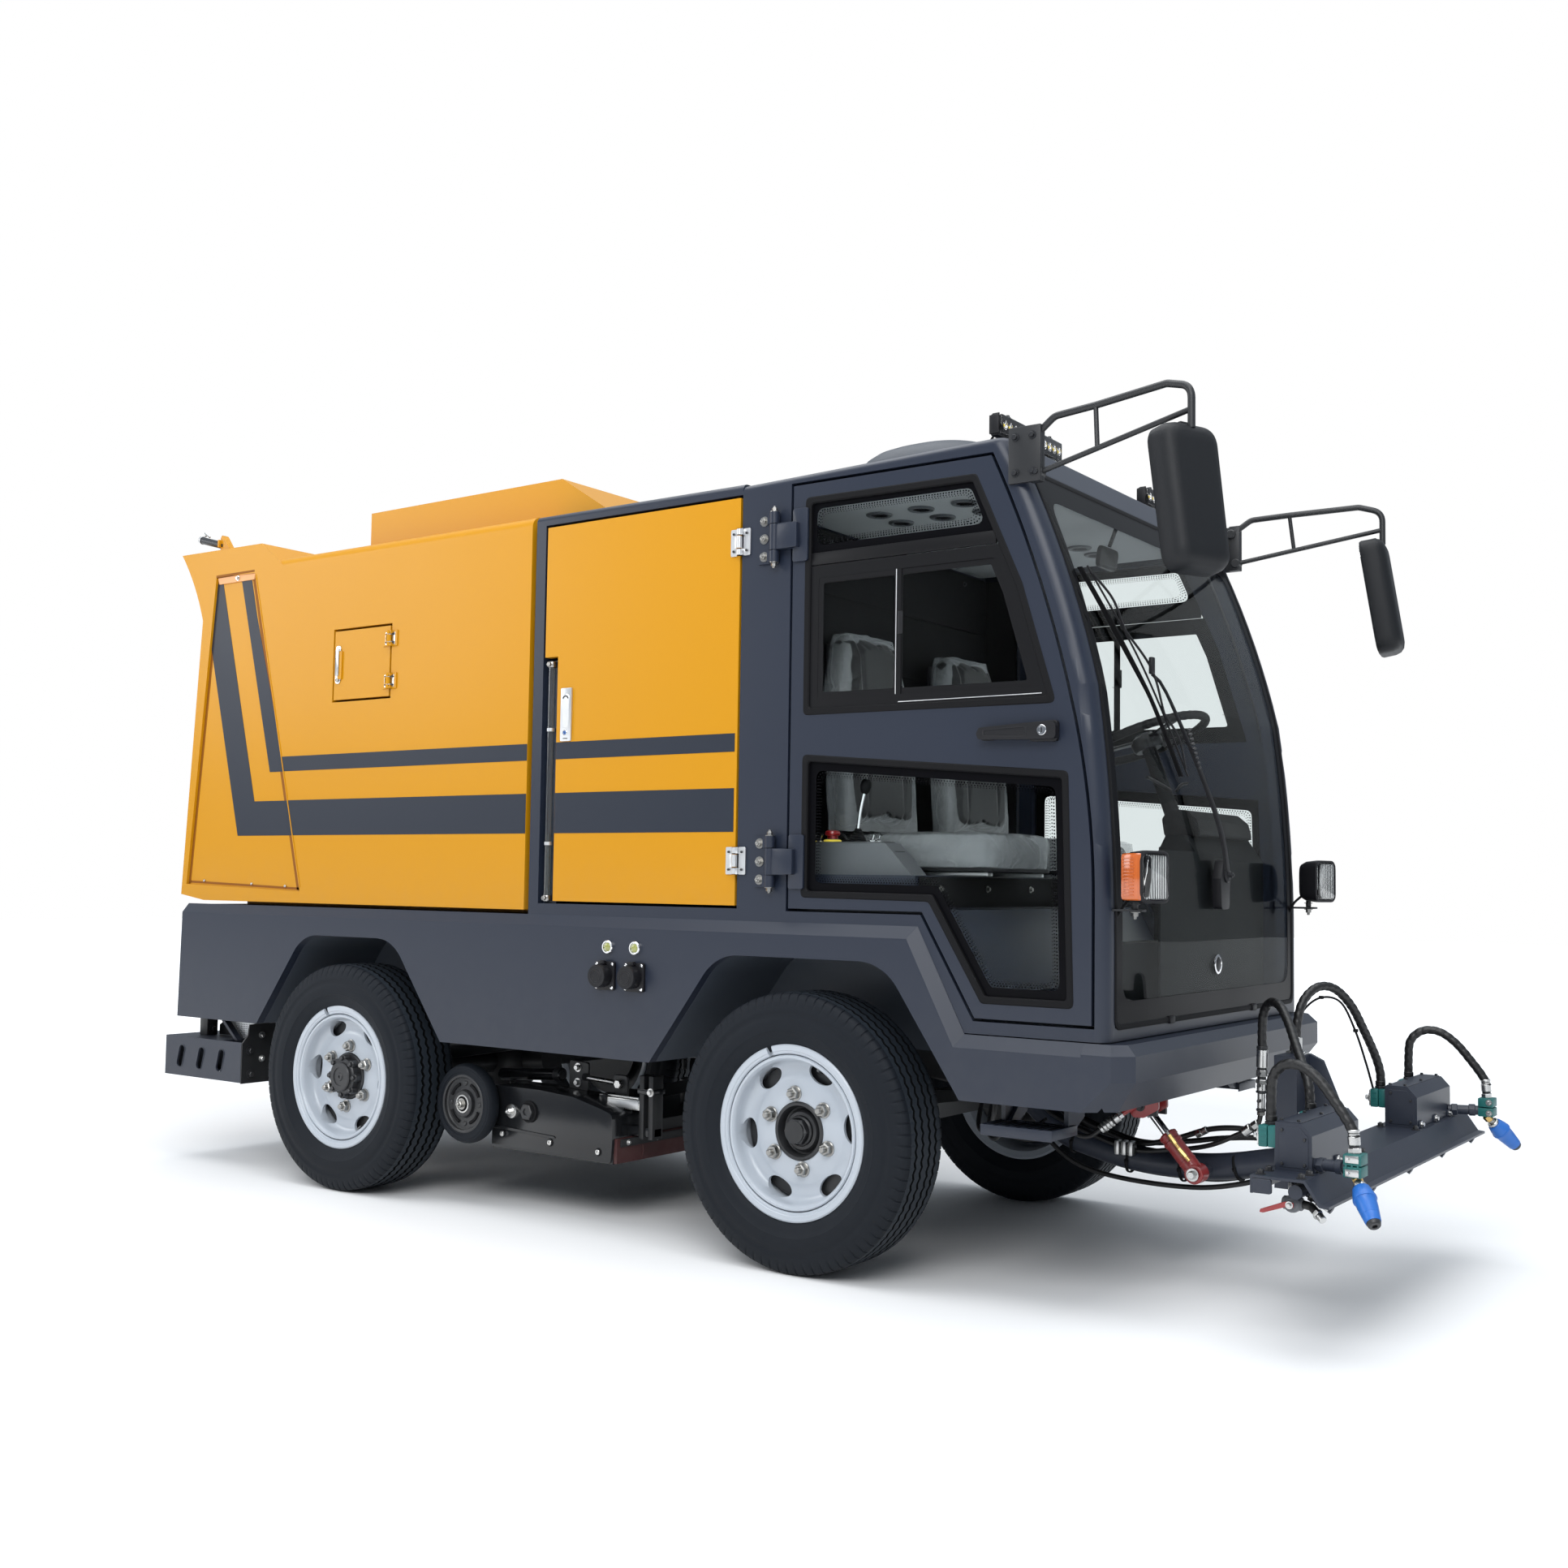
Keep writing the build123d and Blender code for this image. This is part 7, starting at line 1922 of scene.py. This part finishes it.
def buildLiftCylinder():                      # gland, ports and fork of the lift cylinder
    f = liftFacts
    foot, head = Vector(f["foot"]), Vector(f["head"])
    length, spread = (head - foot).length, Vector((0, 28, 0))
    where = axes(foot, head - foot)
    barrel, fork, tail = (Piece("liftCylinderFittings"), Piece("liftForkPlates"),
                          Piece("liftRodNut"))
    end = length - f["out"]
    barrel.lathe([(11.6, end - 1), (11.6, end + 2.5), (14, end + 3), (19, end + 3),
                  (20, end + 1.5), (24, end + 0.5), (26, end - 2), (26, end - 11), (24.3, end - 13),
                  (24.2, end - 20), (26.4, end - 22), (26.4, end - 30), (24.2, end - 32)],
                 "redPaint", where, 32)
    for along in (40, end - 26):
        barrel.lathe([(24, along - 3), (25.2, along - 2), (25.2, along + 2), (24, along + 3)],
                     "redPaint", where, 32)
    fittings = ((end - 26, -12), (58, -10))
    for along, lean in fittings:              # brass tees on the ports
        port = foot + (head - foot).normalized() * along
        out = Vector((0.35, -1, 0.35)).normalized()
        barrel.rod(port + out * 22, port + out * 33, 8.5, "brass", sides=6)
        barrel.rod(port + out * 32, port + out * 42, 6.4, "brass")
        cross = Vector((1, 0, 0.1 * lean)).normalized()
        hub = port + out * 41
        barrel.rod(hub - cross * 15, hub + cross * 15, 6.6, "brass", sides=6)
        barrel.rod(hub + cross * 14, hub + cross * 28, 5.4, "brass")
        barrel.rod(hub - cross * 24, hub - cross * 14, 4.6, "nickel")
    for side in (-1, 1):
        barrel.lathe([(17, 21), (25, 21), (25.4, 22), (24, 23), (17, 23)], "redPaint",
                     axes(foot, (0, side, 0)), 32)
        low, high = sorted((head.y + side * 24.6, head.y + side * 35.5))
        shape = rounded([(702, 470), (700, 452), (722, 420), (752, 421), (794, 446), (792, 503),
                         (716, 503)], 12, 4)
        fork.plate(shape, low, high, "redPaint", bevel=1.2, steps=2)
        fork.bolt((head.x, head.y + side * 35.6, head.z), (0, side, 0), 15, "hubBlack")
    fork.rod(head - spread, head + spread, 6, "steel")
    fork.plate(rect(700, 500, 800, 506, 2, 2), -150, -74, "redPaint", bevel=1)
    tail.lathe([(11.2, length - 34), (14.5, length - 34), (15.5, length - 32), (15.5, length - 24),
                (14.5, length - 22), (11.2, length - 22)], "chrome", where, 6)
    barrel.bolt(foot - spread, toRight, 18, "steel")
    barrel.done("lift_barrel_body", "red_paint")
    fork.done("chassis", "red_paint")
    tail.done("lift_rod_body", "chrome_rod")
    coupler = Piece("liftQuickCoupler")       # ribbed coupling and red hose under the bumper
    fittingStack(coupler, (648, -196, 386), (702, -170, 432), [
        (0, 0.12, 13, 24, "steel"), (0.14, 0.26, 15, 24, "steel"), (0.28, 0.40, 15, 24, "steel"),
        (0.42, 0.54, 15, 24, "steel"), (0.54, 0.60, 12, 24, "hubBlack"),
        (0.60, 0.82, 14, 24, "steel"), (0.82, 1.0, 11, 6, "chrome")])
    coupler.tube(smoothPath([(700, -171, 430), (726, -160, 448), (752, -154, 466),
                             (764, -148, 500)], 6), 7.5, "redPaint", sides=12)
    coupler.tube(smoothPath([(650, -195, 388), (620, -206, 366), (584, -214, 372),
                             (560, -216, 420), (556, -214, 486)], 8), 6.5, "hoseRubber", sides=10)
    coupler.done("chassis", "silver_steel")


buildSprayHoses()
buildHoseClamps()
buildNozzle("right")
buildNozzle("left")
buildBarFittings()
buildBoomLines()
buildLiftCylinder()
print("spray boom built")


deckFront = millimetres(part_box("suction_deck")[1])[0]
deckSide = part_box("rubber_flap")[0].y * 1000 - 4
suctionFacts = {"outline": [(-1262, 190), (-800, 190), (deckFront - 2, 190), (deckFront + 3, 262),
                            (deckFront, 337), (-800, 350), (-917, 376), (-1060, 385),
                            (-1262, 385)],
                "thick": 8, "depth": 132, "round": 20}


def socketBolt(piece, x, y, z, size):         # cap screw in a dark washer
    where = axes((x, y, z), toRight)
    piece.lathe([(0, 0), (size * 1.35, 0), (size * 1.35, 1.4), (size, 1.8), (0, 1.8)], "softBlack",
                where, 24)
    piece.lathe([(size * 0.92, 1.6), (size * 0.92, 6), (size * 0.8, 7), (size * 0.45, 7),
                 (size * 0.45, 3), (0, 3)], "steel", where, 24)


def buildSuctionSides(side):                  # glossy side housing with its bolts and pivots
    f = suctionFacts
    piece = Piece(f"{side}SuctionHousing")
    y = deckSide
    face = y - f["thick"]
    piece.plate(rounded(f["outline"], f["round"], 5), face, y + f["depth"],
                "glossBlack", bevel=3, steps=2)
    piece.plate([(-1262, 252), (-990, 241), (-984, 245), (-990, 250), (-1262, 262)],
                face + 1, face - 4, "glossBlack", bevel=1.2)
    for x, z in ((-1213, 236), (-1006, 229), (-806, 221)):
        socketBolt(piece, x, face, z, 9)
    piece.lathe([(0, 0), (22, 0), (22, 4), (19, 5), (19, 8), (0, 8)], "steel",
                axes((-1176, face, 310), toRight), 28)
    piece.bolt((-1176, face - 7, 310), toRight, 15, "steel", stud=6)
    piece.lathe(puck(34, 5, 31, 7), "softBlack", axes((-1099, face, 315), toRight), 36)
    piece.lathe([(26, 6), (26, 16), (23, 18), (12, 18), (11, 14), (0, 14)], "hubBlack",
                axes((-1099, face, 315), toRight), 6)
    # cylinder, linkage and block above the deck
    piece.rod((-1384, y + 150, 396), (-1082, y + 120, 420), 19, "glossBlack", sides=28, chamfer=3)
    piece.lathe([(19, 0), (21.5, 1), (21.5, 24), (19, 25)], "blackSteel",
                axes((-1110, y + 123, 418), (302, -30, 24)), 28)
    piece.rod((-1330, y + 145, 378), (-1330, y + 145, 340), 9, "blackSteel")
    piece.plate(rounded([(-1046, 376), (-966, 376), (-966, 466), (-1046, 470)], 8, 4), y + 112,
                y + 122, "blackSteel", bevel=1.5)
    for z in (402, 449):
        piece.lathe(rect(0, 0, 14, 2.5), "steel", axes((-1008, y + 112, z), toRight), 28)
        piece.bolt((-1008, y + 109.5, z), toRight, 15, "steel", washer=False)
    piece.rod((-966, y + 108, 421), (-852, y + 108, 415), 7.5, "steel", chamfer=2)
    piece.rod((-980, y + 108, 422), (-962, y + 108, 421), 12, "hubBlack", sides=6)
    piece.plate(rect(-852, 330, -796, 440, 10, 4), y + 104, y + 116, "blackSteel", bevel=1.5)
    piece.bolt((-823, y + 104, 413), toRight, 24, "steel", washer=False)
    piece.box((-846, y + 66, 344), (-706, y + 104, 376), "steel", bevel=3, steps=2)
    piece.box((-838, y + 64.5, 349), (-716, y + 66.5, 371), "satinSteel", bevel=0.8)
    piece.box((-874, y + 62, 338), (-844, y + 108, 384), "glossBlack", bevel=4, steps=2)
    piece.box((-850, y + 72, 377), (-720, y + 82, 383), "steel", bevel=1)
    for x in (-700, -664):
        piece.box((x - 9, y + 62, 262), (x + 9, y + 110, 452), "blackSteel", bevel=2)
    piece.box((deckFront - 60, y + 70, 268), (-655, y + 106, 296), "glossBlack", bevel=3)
    piece.box((-716, y + 60, 396), (-650, y + 112, 412), "glossBlack", bevel=2)
    piece.bolt((-664, y + 62, 404), toRight, 13, "steel")
    piece.done("suction_body", "black_steel")


def buildSupportWheel(side):                  # tyre grooves, slotted disc, bearing and its nut
    (x0, outer, z0), (x1, inner, z1) = (millimetres(p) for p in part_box("right_support_wheel"))
    cx, cz, radius = (x0 + x1) / 2, (z0 + z1) / 2, (z1 - z0) / 2
    disc = (outer + inner) / 2 - 9
    wheel = Piece(f"{side}SupportWheelDetail")
    where = axes((cx, outer, cz), toRight)
    wheel.lathe([(radius - 26, -0.5), (radius - 26, 1.2), (radius - 15, 1.8), (radius - 13, 0.4),
                 (radius - 11, 0.4), (radius - 9.5, -0.4)], "tyreRubber", where, 72)
    wheel.lathe([(83.6, -12), (83.6, 0.8), (86, 2.2), (90, 2.2), (92, 0.6), (92, -0.4)],
                "hubBlack", where, 64)
    face = axes((cx, disc, cz), toRight)
    wheel.lathe([(40, 0), (40, 1.5), (46, 3.5), (52, 2), (78, 2), (82, 5), (84, 5)], "hubBlack",
                face, 64)
    for k in range(4):                        # rounded slots between four bosses, drawn as dark tubes: painted shade
        path = []
        for step in range(9):
            u, v = polar(64, math.radians(90 * k + 22 + 46 * step / 8))
            path.append((cx + u, disc - 3.0, cz + v))
        wheel.tube(path, 5.2, "softBlack", sides=10)
        u, v = polar(64, math.radians(90 * k))
        wheel.rod((cx + u, disc - 1, cz + v), (cx + u, disc - 6, cz + v), 7.5, "hubBlack",
                  chamfer=2)
    wheel.lathe([(40.4, -14), (40.4, 0.5), (38, 2.5), (30, 2.5), (29, 1)], "hubBlack", where, 48)
    wheel.lathe([(29, 1), (28.5, 3), (24, 3.4), (23, 1.5)], "steel", where, 48)
    wheel.lathe([(23, 1.5), (22, 0.8), (17.5, 0.8), (16.8, 1.8)], "softBlack", where, 48)
    wheel.lathe([(17, 1), (16.8, 3), (15, 3.2), (14.6, 1)], "steel", where, 40)
    wheel.done(f"{side}_support_wheel_body", "tyre_rubber")
    nut = Piece(f"{side}SupportWheelNut")
    end = outer - 4
    nut.lathe([(14.2, 0), (14.2, -2), (0, -2)], "steel", axes((cx, end, cz), toRight), 28)
    nut.bolt((cx, end + 0.4, cz), toRight, 19, "nickel", stud=7)
    nut.done("suction_body", "silver_steel")


def buildFlapStrip():                         # clamp strip that holds the rubber curtain
    x, _, top = millimetres(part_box("rubber_flap")[1])
    piece = Piece("flapClampStrip")
    piece.box((x - 0.4, -572, top - 26), (x + 4.4, 572, top - 2), "blackSteel", bevel=1)
    for k in range(9):
        piece.bolt((x + 4.4, -540 + 135 * k, top - 14), toFront, 9, "steel")
    for k in range(5):                        # creases along the free edge
        y = -470 + 235 * k
        piece.tube([(x + 0.2, y, top - 70), (x + 0.6, y + 4, top - 48), (x + 0.2, y + 2, top - 30)],
                   1.6, "maroonRubber", sides=6)
    piece.done("suction_body", "black_steel")


stepFacts = {"x": (560, 755), "y": (-700, -560), "top": 446}


def buildSteps(side):                         # folded tread with rimmed openings, each opening a black patch of painted shade
    f = stepFacts
    piece = Piece(f"{side}StepTread")
    (x0, x1), (y0, y1), top = f["x"], f["y"], f["top"]
    piece.box((x0 - 1, y0 - 1.5, top - 24), (x1 + 1, y0 + 2.5, top + 3), "slatePaint", bevel=1.2)
    for x in (x0 - 1.5, x1 - 2.5):
        piece.box((x, y0, top - 22), (x + 4, y1, top + 3), "slatePaint", bevel=1.2)
    count = 6
    pitch = (x1 - x0 - 8) / count
    for k in range(count):
        a = x0 + 4 + pitch * k
        slot = rect(a + 5, y0 + 16, a + pitch - 5, y1 - 34, 5, 3)
        # painted shade: a black patch stands for the opening
        piece.plate(slot, top + 0.2, top + 0.6, "softBlack", plane="xy")
        ringPlate(piece, slot, inset(slot, 2.2), top + 0.2, top + 2.4, "slatePaint", plane="xy")
    for x in (x0 + 8, x1 - 26):               # arms up to the frame
        piece.plate([(y1 - 30, top), (y1 + 30, top + 52), (y1 + 62, top + 56),
                     (y1 + 62, top + 16), (y1 + 6, top - 12), (y1 - 30, top - 12)], x, x + 18,
                    "slatePaint", bevel=1.5, plane="yz")
    piece.done("chassis", "black_steel")


def buildUnderLines():                        # brake hoses, cables and a drain below the floor
    piece = Piece("underfloorLines")
    for side in (-1, 1):
        for k, (x, drop) in enumerate(((505, 0), (535, 14))):
            piece.tube(smoothPath([(x, side * 520, 520), (x - 6, side * 524, 440 - drop),
                                   (x - 40, side * 500, 396 - drop),
                                   (x - 96, side * 440, 404 - drop),
                                   (x - 118, side * 372, 470), (x - 120, side * 330, 540)], 12),
                       6.5 - k, "hoseRubber", sides=10)
        piece.tube(smoothPath([(-760, side * 336, 560), (-980, side * 338, 536),
                               (-1280, side * 338, 548), (-1480, side * 338, 560)], 30), 8,
                   "hoseRubber", sides=10)
        piece.rod((-620, side * 610, 545), (-1260, side * 610, 545), 12, "blackSteel")
        for x in (-700, -960, -1210):
            piece.box((x - 12, side * 610 - 16, 545), (x + 12, side * 610 + 16, 566), "nickel",
                      bevel=2)
    piece.done("chassis", "hose_rubber")


for side in ("right", "left"):
    buildSuctionSides(side)
    buildSupportWheel(side)
    buildSteps(side)
buildFlapStrip()
buildUnderLines()
print("underside built")


tailFace = -2787
guardFacts = {"front": -2422, "half": 700, "high": 445}


def buildRearGuard(side):                     # end plates, posts, gusset and perforated sheet
    f = guardFacts
    piece = Piece(f"{side}GuardFittings")
    x, y = f["front"], -f["half"]
    piece.plate([(y, 300), (y, 442), (y + 24, 470), (y + 30, 508), (y + 140, 508), (y + 138, 300)],
                x - 3, x + 3, "blackSteel", bevel=1, plane="yz")
    for dy, z, size, finish in ((81, 468, 13, "steel"), (83, 384, 13, "steel"),
                                (32, 416, 16, "hubBlack"), (36, 333, 16, "hubBlack")):
        piece.bolt((x + 3, y + dy, z), toFront, size, finish)
    piece.box((-2790, -618, f["high"]), (-2744, -572, 560), "blackSteel", bevel=3)
    piece.bolt((-2744, -595, 470), toFront, 16, "hubBlack")
    piece.plate([(-2744, 446), (-2744, 482), (-2610, 560), (-2480, 560), (-2430, 446)], -566, -560,
                "blackSteel", bevel=1)
    piece.plate([(-2596, 512), (-2575, 512), (-2498, 446), (-2516, 446)], -664, -640,
                "slatePaint", bevel=1)
    for row in range(9):                      # punched sheet between gusset and end plate
        z = 452 + 7.4 * row
        x0 = -2500 - 7.6 * row
        piece.box((x0, -636, z), (-2440, -634, z + 2.6), "satinSteel")
    for column in range(14):
        a = -2566 + 9.2 * column
        low = max(452, 452 - (a + 2500) * 0.97)
        if low < 508:
            piece.box((a, -636.4, low), (a + 3.2, -633.6, 514), "satinSteel")
    for k in range(3):                        # rolled rims of the slots
        middle = -2780 + 118 * k
        turn = math.radians(75)
        loop = [(middle + u, 374 + v) for u, v in turned(rect(-42, -18, 42, 18, 17, 5), turn)]
        ringPlate(piece, loop, inset(loop, 2.2), y, y - 1.6, "slatePaint")
    piece.done("chassis", "black_steel")


def buildPanelEdges(side):                    # shadow gaps and lit ledge of the sunk panel
    piece = Piece(f"{side}PanelEdges")
    rear = lambda z: -2801 + (z - 1004) * 119 / 1137
    front = lambda z: -2141 - (z - 986) * 312 / 1148
    y = sideY + 9.7
    piece.plate([(rear(2138), 2138), (rear(1004), 1004), (rear(1004) + 15, 1006),
                 (rear(2112) + 15, 2112)], y, y + 0.2, "seamShade")
    piece.plate([(front(2138), 2138), (front(986) - 3, 988), (front(986) - 27, 990),
                 (front(2112) - 28, 2112)], y, y + 0.2, "seamShade")
    piece.plate([(rear(1008) + 12, 1009), (front(990) - 12, 991), (front(990) - 12, 999),
                 (rear(1016) + 12, 1017)], y, y + 0.2, "seamShade")
    # painted highlight: the ledge is coloured lighter orange where light falls on it
    piece.plate([(rear(2138) + 3, 2137), (rear(2112) + 15, 2112), (front(2112) - 15, 2112),
                 (front(2138) - 2, 2138)], y - 5, y + 0.2, "ledgeShade", bevel=1)
    piece.plate([(rear(2140), 2146), (rear(2138), 2138), (front(2138), 2138), (front(2140), 2146)],
                sideY - 0.3, sideY + 6, "seamShade")
    piece.bolt(((rear(2126) + front(2126)) / 2 + 10, y - 5, 2125), toRight, 10, "steel")
    for x in (-2700, -2420, -2230):
        piece.bolt((x, y, 1000 + (x + 2140) * -0.03), toRight, 8, "steel", washer=False)
    edge = [(front(2128) + 5, 2128), (front(1000) + 5, 1000)]
    piece.plate([(edge[0][0] - 2, edge[0][1]), (edge[1][0] - 2, edge[1][1]),
                 (edge[1][0] + 2.5, edge[1][1]), (edge[0][0] + 2.5, edge[0][1])], sideY - 2.4,
                sideY + 2, "yellowPaint", bevel=1.0, steps=2)
    piece.done("chassis", "yellow_paint")


def buildVentPipe():                          # overflow pipe with its gusset at the tail's edge
    piece = Piece("tailVentPipe")
    rear, front = Vector((-2856, -640, 2307)), Vector((-2705, -640, 2268))
    where = axes(rear, front - rear)
    length = (front - rear).length
    piece.lathe([(10, 6), (10, 0), (12.5, -1), (14.4, 0), (14.8, 2), (14.8, 12), (13.4, 14),
                 (13.4, length), (0, length)], "hubBlack", where, 28)
    piece.lathe([(14.9, 2), (15.1, 3), (15.1, 9), (14.9, 10)], "satinSteel", where, 28)
    piece.lathe([(0, 7), (10.2, 7)], "softBlack", where, 28)
    piece.rod((-2830, -640, 2318), (-2838, -640, 2334), 4.2, "steel")
    piece.rod((-2838, -640, 2334), (-2804, -640, 2312), 3.6, "steel", sides=8)
    piece.plate([(-2720, 2226), (-2720, 2300), (-2712, 2308), (-2702, 2304), (-2640, 2226)],
                -652, -628, "yellowPaint", bevel=1.5)
    piece.box((-2724, -662, 2262), (-2714, -618, 2290), "yellowPaint", bevel=1.5)
    piece.done("chassis", "dark_paint")


gateFacts = {"low": 1010, "high": 1960, "half": 645}
tailSlope = (74, 1017)                        # leans forward this far over this height


def tailX(z):
    return -2830 + tailSlope[0] * (z - 966) / tailSlope[1]


def buildTailgate():                          # gaskets, rib bolts, latches and a grab bar
    f = gateFacts
    piece = Piece("tailgateFittings")
    out = Vector((-tailSlope[1], 0, tailSlope[0])).normalized()

    def face(y, z, lift=0.0):
        p = Vector((tailX(z), y, z)) + out * lift
        return (p.x, p.y, p.z)

    for y in (-380, 0, 380):                  # bolts down each rib
        for z in (1110, 1330, 1560, 1780):
            piece.bolt(face(y, z, 26), out, 14, "steel")
    for side in (-1, 1):                      # over-centre latches low on the gate
        y = side * 560
        piece.box((tailX(1100) - 14, y - 26, 1060), (tailX(1100) - 1, y + 26, 1150), "blackSteel",
                  bevel=3)
        piece.rod(face(y, 1150, 16), face(y, 1030, 20), 8, "steel", chamfer=2)
        piece.rod(face(y - 30, 1090, 18), face(y + 30, 1090, 18), 9, "hubBlack")
        piece.box((tailX(1140) - 30, y - 12, 1116), (tailX(1140) - 12, y + 12, 1200), "redPaint",
                  bevel=3)
    bar = [face(-240, 1220, 2), face(-240, 1220, 46), face(240, 1220, 46), face(240, 1220, 2)]
    piece.tube(arcPath(bar, 26), 11, "hubBlack", sides=16)
    for y in (-240, 240):
        piece.lathe(puck(22, 5, 14, 8), "hubBlack", axes(face(y, 1220), out), 28)
    for z in (f["low"] + 14, f["high"] - 14):
        piece.tube([face(-f["half"] + 12, z, 1), face(f["half"] - 12, z, 1)], 6, "sealRubber",
                   sides=10)
    for y in (12 - f["half"], f["half"] - 12):
        piece.tube([face(y, f["low"] + 14, 1), face(y, f["high"] - 14, 1)], 6, "sealRubber",
                   sides=10)
    piece.done("tailgate_body", "yellow_paint")


def buildTailLamps(side):                     # lamp cluster over a round reflector
    piece = Piece(f"{side}TailLamp")
    x, y, z = tailFace, -560, 700
    piece.box((x - 8, y - 96, z - 48), (x + 4, y + 96, z + 48), "blackPlastic", bevel=5, steps=3)
    for k, finish in enumerate(("amberLens", "redLens", "redLens", "whiteLens")):
        a = y - 90 + 45 * k
        piece.box((x - 18, a + 2, z - 40), (x - 7, a + 43, z + 40), finish, bevel=5, steps=3)
        where = axes((x - 18, a + 22, z), toRear)
        for radius in (15, 11, 7):
            piece.lathe([(radius - 1.6, -0.4), (radius, 1.0), (radius + 1.6, -0.4)], finish,
                        where, 24)
    piece.rod((x - 2, y, z - 110), (x - 12, y, z - 110), 30, "redLens", sides=32, chamfer=3)
    piece.lathe([(30, 0), (34, 2), (34, 9), (30.5, 10)], "blackPlastic",
                axes((x - 1, y, z - 110), toRear), 32)
    piece.done("chassis", "lamp_lens")


def buildPlateHolder():                       # blank plate with its lamp, in the middle of the back
    piece = Piece("plateHolder")
    x = tailFace
    piece.box((x - 6, -235, 640), (x + 2, 235, 800), "blackPlastic", bevel=3)
    piece.box((x - 9, -220, 652), (x - 5, 220, 788), "rimPaint", bevel=2)
    for y in (-150, 150):
        piece.bolt((x - 9, y, 720), toRear, 9, "steel")
    piece.box((x - 34, -50, 806), (x, 50, 828), "blackPlastic", bevel=5, steps=2)
    piece.box((x - 30, -40, 803), (x - 6, 40, 807), "whiteLens", bevel=1.5)
    piece.done("chassis", "black_plastic")


for side in ("right", "left"):
    buildRearGuard(side)
    buildPanelEdges(side)
    buildTailLamps(side)
buildVentPipe()
buildTailgate()
buildPlateHolder()
print("rear built")


floorMesh = bpy.data.meshes.new("floor")
floorMesh.from_pydata([(-30, -30, 0), (30, -30, 0), (30, 30, 0), (-30, 30, 0)], [], [(0, 1, 2, 3)])
floor = addObject("floor", floorMesh)
floorPaint = makeFinish("floorPaint", studio["floorColor"], 0.7, drift=0.02, driftScale=0.5,
                        grain=50, height=0.005, glowColor=(1, 1, 1, 1))
floorTree = floorPaint.node_tree
floorSkin = floorTree.nodes["Principled BSDF"]
place = addNode(floorTree, "ShaderNodeTexCoord")
reach = addNode(floorTree, "ShaderNodeVectorMath", operation="LENGTH")
fade = addNode(floorTree, "ShaderNodeMapRange",
               **{"From Min": 3.2, "From Max": 9.0, "To Min": 0.0, "To Max": 0.75})
join(floorTree, [(place.outputs["Object"], reach.inputs[0]),
                 (reach.outputs["Value"], fade.inputs["Value"]),
                 (fade.outputs[0], floorSkin.inputs["Emission Strength"])])
floorMesh.materials.append(floorPaint)
